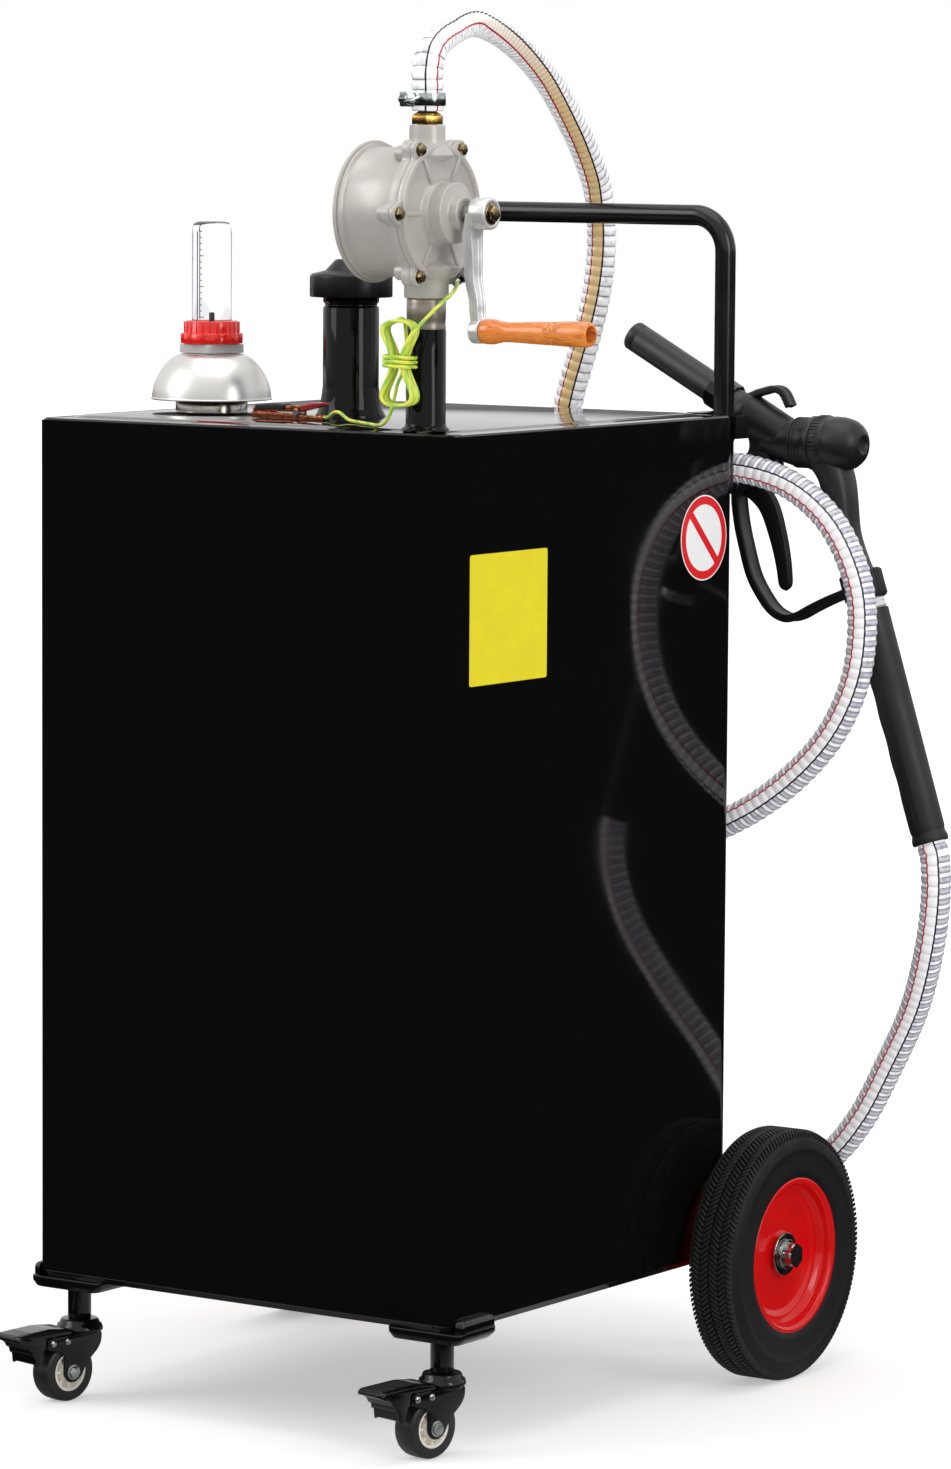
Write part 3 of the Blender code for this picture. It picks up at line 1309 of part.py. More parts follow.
def handle():
    leg_x = TANK_X - HANDLE_INSET
    leg_y = TANK_Y + HANDLE_RADIUS + SEAT
    bar_z = TANK_TOP + HANDLE_RISE
    foot_z = TANK_TOP - HANDLE_FOOT
    line = [Vector((-leg_x, leg_y, foot_z))]
    for side in (-1, 1):
        for step in range(HANDLE_BEND_STEPS + 1):
            share = step if side < 0 else HANDLE_BEND_STEPS - step
            angle = math.pi / 2 * share / HANDLE_BEND_STEPS
            line.append(Vector((
                side * (leg_x - HANDLE_BEND + HANDLE_BEND * math.cos(angle)),
                leg_y,
                bar_z - HANDLE_BEND + HANDLE_BEND * math.sin(angle),
            )))
    line.append(Vector((leg_x, leg_y, foot_z)))
    placed("push_handle", pipe(
        line, [HANDLE_RADIUS] * len(line), line, HANDLE_RADIUS - HANDLE_WALL, SMALL_SIDES))

    tip = Vector((SPOUT_TIP[0], NOZZLE_Y, SPOUT_TIP[1]))
    root = Vector((SPOUT_ROOT[0], NOZZLE_Y, SPOUT_ROOT[1]))
    way = (root - tip).normalized()
    centre = root + way * ((HOLDER_X - root.x) / way.x)
    plate_y = leg_y + HANDLE_RADIUS + SEAT
    plate_low = TANK_TOP - HOLDER_DROP - HOLDER_HEIGHT + HOLDER_DROP / 2
    plate_high = TANK_TOP - HOLDER_DROP
    right = leg_x + HOLDER_TAB / 2
    holder = placed("nozzle_holder", block(
        (HOLDER_X - HOLDER_ARM / 2, plate_y, plate_low),
        (right, plate_y + HOLDER_PLATE, plate_high),
    ))
    flange = placed("holder_flange", block(
        (right - HOLDER_PLATE, leg_y - HANDLE_RADIUS, plate_low),
        (right, plate_y + WELD, plate_high),
    ))
    arm = placed("holder_arm", block(
        (HOLDER_X - HOLDER_ARM / 2, plate_y + WELD, plate_low),
        (HOLDER_X + HOLDER_ARM / 2, NOZZLE_Y, plate_high + HOLDER_DROP),
    ))
    half = HOLDER_LENGTH / 2
    ring = placed("holder_ring", rod(
        SPOUT_RADIUS + SEAT + HOLDER_WALL, -half, half, MID_SIDES), facing(centre, way))
    hole = placed("holder_bore", rod(
        SPOUT_RADIUS + SEAT, -2 * half, 2 * half, MID_SIDES), facing(centre, way))
    join(holder, flange, arm, ring)
    cut(holder, hole)

    hanger_x = HANGER_X
    back = TANK_Y + SEAT
    face = back + HANGER_PLATE
    low_x = hanger_x - HANGER_WIDTH / 2
    high_x = hanger_x + HANGER_WIDTH / 2
    hanger = placed("hose_hanger", block(
        (low_x, back, HANGER_LOW - HANGER_PLATE), (high_x, face, HANGER_TOP + HANGER_LIP)))
    parts = []
    for name, z, reach in (("upper", HANGER_TOP, HANGER_REACH), ("lower", HANGER_LOW, HANGER_LOW_REACH)):
        parts.append(placed(f"hanger_{name}_arm", block(
            (low_x, face - WELD, z - HANGER_PLATE), (high_x, back + reach, z))))
        parts.append(placed(f"hanger_{name}_lip", block(
            (low_x, back + reach - HANGER_PLATE, z - WELD), (high_x, back + reach, z + HANGER_LIP))))
    join(hanger, *parts)


def nozzle():
    tip = Vector((SPOUT_TIP[0], NOZZLE_Y, SPOUT_TIP[1]))
    root = Vector((SPOUT_ROOT[0], NOZZLE_Y, SPOUT_ROOT[1]))
    way = (root - tip).normalized()
    length = (root - tip).length
    lie = facing(tip, way)
    bore = SPOUT_RADIUS - SPOUT_WALL
    placed("nozzle_spout", turned([
        (bore, EDGE_ROUND),
        (bore + EDGE_ROUND / 2, 0),
        (SPOUT_RADIUS - EDGE_ROUND / 2, 0),
        (SPOUT_RADIUS, EDGE_ROUND),
        (SPOUT_RADIUS, length - SEAT),
        (bore, length - SEAT),
    ]), lie)

    start, end, down = sleeve_line()
    socket = placed("nozzle_body", turned([
        (0, length - SOCKET_LENGTH),
        (SOCKET_RADIUS - EDGE_ROUND, length - SOCKET_LENGTH),
        (SOCKET_RADIUS, length - SOCKET_LENGTH + EDGE_ROUND),
        (SOCKET_RADIUS, length + SOCKET_BACK - EDGE_ROUND),
        (SOCKET_RADIUS - EDGE_ROUND, length + SOCKET_BACK),
        (0, length + SOCKET_BACK),
    ]), lie)
    flange_end = NOZZLE_FLANGE + NOZZLE_FLANGE_THICK
    head = placed("nozzle_head", turned([
        (0, NOZZLE_HEAD_FRONT),
        (NOZZLE_HEAD_RADIUS * 0.7, NOZZLE_HEAD_FRONT),
        (NOZZLE_HEAD_RADIUS, NOZZLE_HEAD_FRONT + NOZZLE_HEAD_RADIUS),
        (NOZZLE_HEAD_REAR, NOZZLE_FLANGE - 2 * NOZZLE_FLANGE_THICK),
        (NOZZLE_HEAD_REAR, NOZZLE_FLANGE),
        (NOZZLE_FLANGE_RADIUS, NOZZLE_FLANGE),
        (NOZZLE_FLANGE_RADIUS, flange_end),
        (0, flange_end),
    ]), along_x(0, NOZZLE_Y, NOZZLE_HEAD_Z))
    neck = [Vector((x, NOZZLE_Y, z)) for x, z in BODY_LINE] + [start]
    line = smooth(neck, BODY_WIDTH_LOW)
    count = len(line) - 1
    radii = [BODY_WIDTH_TOP + (BODY_WIDTH_LOW - BODY_WIDTH_TOP) * index / count for index in range(count + 1)]
    trunk = placed("nozzle_trunk", skinned(rings_along(line, radii, SMALL_SIDES)))
    at_collar = facing(start, down)
    half = COLLAR_LENGTH / 2
    wide = COLLAR_RADIUS
    collar = placed("nozzle_collar", turned([
        (0, -half),
        (wide - 2 * EDGE_ROUND, -half),
        (wide, -half + 2 * EDGE_ROUND),
        (wide, half - EDGE_ROUND),
        (wide - EDGE_ROUND, half),
        (0, half),
    ], COLLAR_SIDES, math.pi / COLLAR_SIDES), at_collar)
    arch = placed("nozzle_hook", bar(HOOK_POINTS, NOZZLE_Y, HOOK_WIDTH, HOOK_THICK))
    seat = placed("nozzle_spout_bore", rod(
        SPOUT_RADIUS + SEAT, length - SOCKET_LENGTH - OVERRUN, length, MID_SIDES), lie)
    stub = HOSE_BORE * BARB_CREST_SHARE
    grip = placed("nozzle_swivel_bore", rod(
        stub + SEAT, half - SWIVEL_GRIP, half + OVERRUN, MID_SIDES), at_collar)
    passage_line = [start - down * (SWIVEL_GRIP - half - OVERRUN)]
    passage_line += [Vector((x, NOZZLE_Y, z)) for x, z in BODY_LINE[::-1]]
    passage_line.append(Vector((NOZZLE_FLANGE - NOZZLE_HEAD_RADIUS, NOZZLE_Y, NOZZLE_HEAD_Z)))
    passage_line.append(root - way * OVERRUN)
    passage = placed("nozzle_passage", skinned(rings_along(
        smooth(passage_line, SOCKET_RADIUS), [PASSAGE_RADIUS] * CURVE_STEPS, TINY_SIDES)))
    room = placed("nozzle_cap_room", rod(
        DOME_CAP_RADIUS + RUN, flange_end, flange_end + DOME_CAP_LENGTH + RUN, BIG_SIDES
    ), along_x(0, NOZZLE_Y, NOZZLE_HEAD_Z))
    join(socket, head, trunk, collar, arch)
    cut(socket, room, seat, grip, passage)

    cap = []
    low = flange_end + SEAT
    for along, across in DOME_CAP_SHARES:
        cap.append((DOME_CAP_RADIUS * across, low + DOME_CAP_LENGTH * along))
    placed("nozzle_cap", turned(
        [(0, low)] + cap + [(0, low + DOME_CAP_LENGTH)], BIG_SIDES
    ), along_x(0, NOZZLE_Y, NOZZLE_HEAD_Z))

    swivel_low = half + SEAT
    swivel_high = swivel_low + SWIVEL_SHOW
    sleeve_low = swivel_high + SEAT
    sleeve_high = (end - start).length
    pipe_end = sleeve_high - SLEEVE_HOSE + SWIVEL_GRIP
    placed("nozzle_ring", turned([
        (SWIVEL_BORE, half - SWIVEL_GRIP + SEAT),
        (stub, half - SWIVEL_GRIP + SEAT),
        (stub, swivel_low),
        (SWIVEL_RADIUS - EDGE_ROUND, swivel_low),
        (SWIVEL_RADIUS, swivel_low + EDGE_ROUND),
        (SWIVEL_RADIUS, swivel_high - EDGE_ROUND),
        (SWIVEL_RADIUS - EDGE_ROUND, swivel_high),
        (stub, swivel_high),
        (stub, pipe_end),
        (SWIVEL_BORE, pipe_end),
    ]), at_collar)

    hose_room = sleeve_high - SLEEVE_HOSE - RUN
    rings = []
    span = sleeve_high - sleeve_low
    for step in range(SLEEVE_STEPS + 1):
        share = step / SLEEVE_STEPS
        wave = 0
        if 0.1 < share < 0.9:
            wave = SLEEVE_WAVE * math.cos(2 * math.pi * SLEEVE_WAVES * share)
        radius = SLEEVE_TOP_RADIUS + (SLEEVE_END_RADIUS - SLEEVE_TOP_RADIUS) * share
        ring = []
        for side in range(MID_SIDES):
            angle = 2 * math.pi * side / MID_SIDES
            reach = radius + wave * max(0, -math.cos(angle)) ** 2
            ring.append((reach * math.cos(angle), reach * math.sin(angle), sleeve_low + span * share))
        rings.append(ring)
    inner = []
    for reach, z in (
        (HOSE_RADIUS + 3 * SEAT, sleeve_high),
        (HOSE_RADIUS + 3 * SEAT, hose_room),
        (stub + 3 * SEAT, hose_room),
        (stub + 3 * SEAT, sleeve_low),
    ):
        inner.append([
            (reach * math.cos(2 * math.pi * side / MID_SIDES),
             reach * math.sin(2 * math.pi * side / MID_SIDES), z)
            for side in range(MID_SIDES)
        ])
    left = Matrix.Translation(start) @ Matrix((
        (down.z * -1, 0, down.x, 0),
        (0, 1, 0, 0),
        (down.x, 0, down.z, 0),
        (0, 0, 0, 1),
    ))
    placed("nozzle_sleeve", skinned(rings + inner, closed=True), left)

    normal = Vector((way.z, 0, -way.x))
    if normal.z > 0:
        normal = -normal
    near = root - way * (SOCKET_LENGTH - SOCKET_FRONT) + normal * (SOCKET_RADIUS + RUN)
    beyond = near + normal * GUARD_THICK
    side = Vector((down.z, 0, -down.x))
    if side.x > 0:
        side = -side
    apothem = COLLAR_RADIUS * math.cos(math.pi / COLLAR_SIDES)
    last = start + side * (apothem + RUN)
    before = last + side * GUARD_THICK
    points = [(near.x, near.z), (beyond.x, beyond.z)] + list(GUARD_POINTS)
    points += [(before.x, before.z), (last.x, last.z)]
    guard = placed("trigger_guard", bar(points, NOZZLE_Y, GUARD_WIDTH, GUARD_THICK))
    pivot_x, pivot_z = TRIGGER_PIVOT
    cheek = TRIGGER_WIDTH / 2 + LUG_GAP
    outer = cheek + LUG_WALL
    lug = placed("guard_lug", block(
        (pivot_x - LUG_BACK, NOZZLE_Y - outer, pivot_z - LUG_RISE),
        (pivot_x + LUG_FRONT, NOZZLE_Y + outer, pivot_z + LUG_RISE),
    ))
    swing = LUG_RISE - LUG_WALL
    slot = placed("guard_lug_slot", block(
        (pivot_x - TRIGGER_ARM / 2 - LUG_GAP, NOZZLE_Y - cheek, pivot_z - swing),
        (pivot_x + 2 * LUG_FRONT, NOZZLE_Y + cheek, pivot_z + swing),
    ))
    pin = placed("guard_pin", rod(
        TRIGGER_PIN, -cheek - WELD, cheek + WELD, TINY_SIDES), upright(pivot_x, NOZZLE_Y, pivot_z))
    join(guard, lug)
    cut(guard, slot)
    join(guard, pin)

    half_arm = TRIGGER_ARM / 2
    reach = TRIGGER_REACH
    thick = TRIGGER_TOP_THICK
    outline = [
        (reach - half_arm / 2, half_arm),
        (0, half_arm),
        (-half_arm * 0.7, half_arm * 0.7),
        (-half_arm, 0),
        (-half_arm * 0.7, -half_arm * 0.7),
        (0, -half_arm),
        (reach - thick, -half_arm),
        (reach - thick + EDGE_ROUND, -2 * half_arm),
        (reach - thick + EDGE_ROUND, -TRIGGER_DROP),
        (reach - thick + TRIGGER_END_THICK, -TRIGGER_DROP),
        (reach - thick + TRIGGER_END_THICK + EDGE_ROUND, -TRIGGER_DROP + half_arm),
        (reach, -half_arm),
        (reach, half_arm / 2),
    ]
    trigger = placed("trigger", extruded(
        outline, -TRIGGER_WIDTH / 2, TRIGGER_WIDTH / 2), upright(pivot_x, NOZZLE_Y, pivot_z))
    cut(trigger, placed("trigger_bore", rod(
        TRIGGER_PIN + RUN, -TRIGGER_WIDTH, TRIGGER_WIDTH, SMALL_SIDES
    ), upright(pivot_x, NOZZLE_Y, pivot_z)))


def wheels():
    axle_y = TANK_Y + AXLE_BACK
    wheel_x = TANK_X + TYRE_GAP + TYRE_WIDTH / 2
    hub_face = wheel_x + HUB_FACE
    washer = hub_face + SEAT
    lock = washer + WASHER_THICK
    hexagon = lock + LOCK_THICK
    end = hexagon + AXLE_HEX_THICK
    inner_face = wheel_x - HUB_INNER - SEAT
    stop = TANK_X - BRACKET_INSET + SEAT
    centre = along_x(0, axle_y, TYRE_RADIUS)
    axle = placed("axle", turned([
        (0, -lock),
        (WASHER_RADIUS, -lock),
        (WASHER_RADIUS, -washer),
        (AXLE_RADIUS, -washer),
        (AXLE_RADIUS, -inner_face),
        (AXLE_COLLAR, -inner_face),
        (AXLE_COLLAR, -stop),
        (AXLE_RADIUS, -stop),
        (AXLE_RADIUS, stop),
        (AXLE_COLLAR, stop),
        (AXLE_COLLAR, inner_face),
        (AXLE_RADIUS, inner_face),
        (AXLE_RADIUS, washer),
        (WASHER_RADIUS, washer),
        (WASHER_RADIUS, lock),
        (0, lock),
    ]), centre)
    for side in (-1, 1):
        face = (lock - WELD, hexagon)
        tip = (lock - WELD, end)
        join(
            axle,
            placed(f"axle_lock_{side}", rod(LOCK_RADIUS, min(side * face[0], side * face[1]),
                                           max(side * face[0], side * face[1]), MID_SIDES), centre),
            placed(f"axle_hex_{side}", rod(AXLE_HEX, min(side * tip[0], side * tip[1]),
                                          max(side * tip[0], side * tip[1]), HEX_SIDES), centre),
        )

    lip = RIM_LIP_PLACE + RIM_LIP_THICK
    barrel = TYRE_BEAD - SEAT
    inner = barrel - RIM_WALL
    disc_back = RIM_DISC - RIM_WALL
    cone = RIM_DISC + RIM_CONE_RISE
    hub_bore = AXLE_RADIUS + RUN
    rim_profile = [
        (hub_bore, HUB_FACE),
        (HUB_RADIUS, HUB_FACE),
        (HUB_FLARE, RIM_DISC),
        (RIM_FLAT, RIM_DISC),
        (RIM_CONE, cone),
        (inner, cone),
        (inner, RIM_LIP_PLACE - RIM_LIP_THICK),
        (RIM_LIP, lip),
        (RIM_LIP, RIM_LIP_PLACE),
        (barrel, RIM_LIP_PLACE),
        (barrel, -RIM_LIP_PLACE),
        (RIM_LIP, -RIM_LIP_PLACE),
        (RIM_LIP, -lip),
        (inner, RIM_LIP_THICK - RIM_LIP_PLACE),
        (inner, cone - RIM_WALL),
        (RIM_CONE, cone - RIM_WALL),
        (RIM_FLAT, disc_back),
        (HUB_RADIUS, disc_back),
        (HUB_RADIUS, -HUB_INNER),
        (hub_bore, -HUB_INNER),
    ]
    flats = 1 / math.cos(math.pi / BIG_SIDES)
    tread = []
    for share, half in TYRE_SHARES:
        tread.append((TYRE_RADIUS * share * flats, TYRE_WIDTH * half))
    bead = RIM_LIP_PLACE - SEAT
    outer = tread + [(RIM_LIP + SEAT, bead), (TYRE_BEAD, bead)]
    well = [
        (TYRE_BEAD, bead - TYRE_WALL),
        (TYRE_RADIUS * TYRE_SHARES[2][0], bead - TYRE_WALL / 2),
        (TYRE_RADIUS - 2 * TYRE_WALL, TYRE_WIDTH / 4),
    ]
    tyre_profile = outer + well
    tyre_profile += [(radius, -height) for radius, height in reversed(well)]
    tyre_profile += [(radius, -height) for radius, height in reversed(outer)]
    for name, side in (("left", -1), ("right", 1)):
        place = centre @ at(0, 0, side * wheel_x)
        if side < 0:
            place = place @ Matrix.Rotation(math.pi, 4, "X")
        turn = math.pi / BIG_SIDES
        placed(f"rim_{name}", turned(rim_profile, BIG_SIDES, turn), place)
        placed(f"tyre_{name}", turned(tyre_profile, BIG_SIDES, turn), place)

        inner_x = side * (TANK_X - BRACKET_INSET)
        outer_x = side * (TANK_X - BRACKET_INSET - BRACKET_PLATE)
        low_x, high_x = sorted((inner_x, outer_x))
        back = TANK_Y + SEAT
        low_z = TYRE_RADIUS - BRACKET_DROP
        high_z = TANK_CLEARANCE + BRACKET_RISE
        far = axle_y + BRACKET_BOSS
        outline = [
            (back, low_z), (far - EDGE_ROUND, low_z), (far, low_z + EDGE_ROUND),
            (far, TYRE_RADIUS + BRACKET_BOSS / 2), (far - BRACKET_BOSS, high_z - BRACKET_BOSS),
            (back + BRACKET_PLATE, high_z), (back, high_z),
        ]
        web = placed(f"axle_bracket_{name}", skinned([
            [(x, y, z) for y, z in outline] for x in (low_x, high_x)]))
        flange_x = sorted((inner_x, side * (TANK_X - BRACKET_INSET - BRACKET_FLANGE)))
        flange = placed(f"bracket_flange_{name}", block(
            (flange_x[0], back, TANK_CLEARANCE + TANK_RIM), (flange_x[1], back + BRACKET_PLATE, high_z)))
        hole = placed(f"bracket_hole_{name}", rod(
            AXLE_RADIUS + RUN, low_x - OVERRUN, high_x + OVERRUN, MID_SIDES), centre)
        join(web, flange)
        cut(web, hole)


def casters():
    for name, side in (("left", -1), ("right", 1)):
        x = side * (TANK_X - CASTER_INSET_X)
        y = CASTER_INSET_Y - TANK_Y
        caster(name, side, x, y)


def caster(name, side, x, y):
    socket = at(x, y, 0)
    top = TANK_CLEARANCE - SEAT
    low = top - SHOE_HEIGHT
    outer_x = side * (TANK_X + SHOE_OUT)
    inner_x = side * (TANK_X + SHOE_OUT - SHOE_LENGTH)
    middle_x = (outer_x + inner_x) / 2
    middle_y = SHOE_DEPTH / 2 - TANK_Y
    plate = placed(f"caster_shoe_{name}", extruded(
        rounded(SHOE_LENGTH, SHOE_DEPTH, SHOE_CORNER), low, top + SHOE_LIP
    ), at(middle_x, middle_y, 0))
    room_x = sorted((side * (TANK_X + SEAT), side * (TANK_X - TANK_WIDTH)))
    room = placed(f"caster_shoe_room_{name}", block(
        (room_x[0], -TANK_Y - SEAT, top), (room_x[1], TANK_Y, TANK_TOP)))
    cap_top = CASTER_CAP_TOP + SEAT
    tube = placed(f"caster_tube_{name}", rod(SHOE_TUBE, cap_top, low + WELD, MID_SIDES), socket)
    hole = placed(f"caster_tube_bore_{name}", rod(
        CASTER_STEM + SEAT, cap_top - OVERRUN, SHOE_BORE_TOP, MID_SIDES), socket)
    join(plate, tube)
    cut(plate, room, hole)

    cap_low = FORK_CROWN + FORK_CROWN_THICK + RUN
    under = FORK_CROWN - RUN
    placed(f"caster_stem_{name}", turned([
        (0, under - KING_HEAD_THICK),
        (KING_HEAD, under - KING_HEAD_THICK),
        (KING_HEAD, under),
        (KING_PIN, under),
        (KING_PIN, cap_low),
        (CASTER_CAP, cap_low),
        (CASTER_CAP, CASTER_CAP_STEP),
        (CASTER_CAP_NECK, CASTER_CAP_STEP),
        (CASTER_CAP_NECK - EDGE_ROUND, CASTER_CAP_TOP),
        (CASTER_STEM, CASTER_CAP_TOP),
        (CASTER_STEM, CASTER_STEM_TOP),
        (0, CASTER_STEM_TOP),
    ]), socket)

    ahead = Matrix.Rotation(-math.pi / 2 - CASTER_REST, 4, "Z")
    swivel = socket @ ahead
    stand = Matrix.Rotation(math.pi / 2, 4, "X")
    inner = CASTER_WIDTH / 2 + FORK_GAP
    outer = inner + FORK_PLATE
    crown = placed(f"caster_fork_{name}", rod(
        FORK_CROWN_RADIUS, FORK_CROWN, FORK_CROWN + FORK_CROWN_THICK, MID_SIDES), swivel)
    parts = []
    for cheek in (-1, 1):
        low_y, high_y = sorted((cheek * inner, cheek * outer))
        parts.append(placed(f"caster_cheek_{name}_{cheek}", extruded(
            FORK_OUTLINE, low_y, high_y), swivel @ stand))
        head_y = sorted((cheek * (outer - EDGE_ROUND), cheek * (outer + FORK_RIVET_RISE)))
        rivet_x, rivet_z = FORK_RIVET_PLACE
        parts.append(placed(f"caster_rivet_{name}_{cheek}", rod(
            FORK_RIVET_HEAD, head_y[0], head_y[1], TINY_SIDES
        ), swivel @ stand @ at(rivet_x, rivet_z, 0)))
    pivot_x, pivot_z = PEDAL_PIVOT
    parts.append(placed(f"caster_pedal_pin_{name}", rod(
        FORK_RIVET, -outer - FORK_RIVET_RISE, outer + FORK_RIVET_RISE, TINY_SIDES
    ), swivel @ stand @ at(pivot_x, pivot_z, 0)))
    king = placed(f"caster_king_hole_{name}", rod(
        KING_PIN + RUN, FORK_CROWN - OVERRUN, FORK_CROWN + 2 * FORK_CROWN_THICK, SMALL_SIDES), swivel)
    at_wheel = swivel @ stand @ at(CASTER_OFFSET, CASTER_RADIUS, 0)
    bolt = placed(f"caster_bolt_hole_{name}", rod(
        CASTER_BOLT + SEAT, -2 * outer, 2 * outer, SMALL_SIDES), at_wheel)
    join(crown, *parts)
    cut(crown, king, bolt)

    half = CASTER_WIDTH / 2
    bore = CASTER_BOLT + RUN
    flats = 1 / math.cos(math.pi / MID_SIDES)
    tread = [(CASTER_RADIUS * share * flats, CASTER_WIDTH * wide) for share, wide in CASTER_TREAD_SHARES]
    face = [(bore, half), (CASTER_HUB - CASTER_DISH, half - CASTER_DISH / 2)]
    face.append((CASTER_HUB, half - CASTER_DISH))
    profile = face + tread
    profile += [(radius, -height) for radius, height in reversed(tread)]
    profile += [(radius, -height) for radius, height in reversed(face)]
    placed(f"caster_wheel_{name}", turned(profile, MID_SIDES, math.pi / MID_SIDES - math.pi / 2), at_wheel)
    head = outer + SEAT
    placed(f"caster_axle_{name}", turned([
        (0, -head - CASTER_BOLT_HEAD_THICK),
        (CASTER_BOLT_HEAD, -head - CASTER_BOLT_HEAD_THICK),
        (CASTER_BOLT_HEAD, -head),
        (CASTER_BOLT, -head),
        (CASTER_BOLT, head),
        (CASTER_BOLT_HEAD, head),
        (CASTER_BOLT_HEAD, head + CASTER_BOLT_HEAD_THICK),
        (0, head + CASTER_BOLT_HEAD_THICK),
    ], 2 * HEX_SIDES), at_wheel)

    arm = inner - RUN
    wing = PEDAL_WIDTH / 2
    pedal = placed(f"caster_pedal_{name}", extruded(PEDAL_WING, -wing, wing), swivel @ stand)
    tongue = placed(f"caster_tongue_{name}", extruded(PEDAL_ARM, -arm, arm), swivel @ stand)
    pin_hole = placed(f"caster_tongue_bore_{name}", rod(
        FORK_RIVET + RUN, -2 * wing, 2 * wing, SMALL_SIDES), swivel @ stand @ at(pivot_x, pivot_z, 0))
    join(pedal, tongue)
    cut(pedal, pin_hole)


def hank_line():
    """The points of the coiled cable: its loops, then the turns that bind them."""
    centre = from_pump([HANK_PLACE])[0]
    over = Vector((math.cos(HANK_TILT), math.sin(HANK_TILT), 0))
    back = Vector((-math.sin(HANK_TILT), math.cos(HANK_TILT), 0))
    points = []
    steps = HANK_LOOPS * HANK_STEPS
    first = HANK_STEPS // 5
    for step in range(first, steps + 1):
        angle = 2 * math.pi * step / HANK_STEPS
        rise = math.cos(angle)
        tall = HANK_UP if rise > 0 else HANK_DOWN
        wide = HANK_WAIST + HANK_BULGE * abs(rise) ** 2
        deep = HANK_PITCH * (step - (steps + first) / 2) / HANK_STEPS
        points.append(centre + over * math.sin(angle) * wide + back * deep + Z_AXIS * rise * tall)
    depth = HANK_PITCH * HANK_LOOPS / 2 + 2 * EARTH_RADIUS + HANK_CLEAR
    width = HANK_WAIST + 2 * EARTH_RADIUS + HANK_CLEAR + HANK_EASE
    turns = HANK_WRAPS * HANK_WRAP_STEPS
    for step in range(turns + 1):
        angle = math.pi / 2 + 2 * math.pi * step / HANK_WRAP_STEPS
        fall = HANK_PITCH * (HANK_WRAPS / 2 - step / HANK_WRAP_STEPS)
        aside = math.copysign(abs(math.cos(angle)) ** HANK_WRAP_POWER, math.cos(angle))
        behind = math.copysign(abs(math.sin(angle)) ** HANK_WRAP_POWER, math.sin(angle))
        points.append(centre + over * aside * width + back * behind * depth + Z_AXIS * fall)
    return points


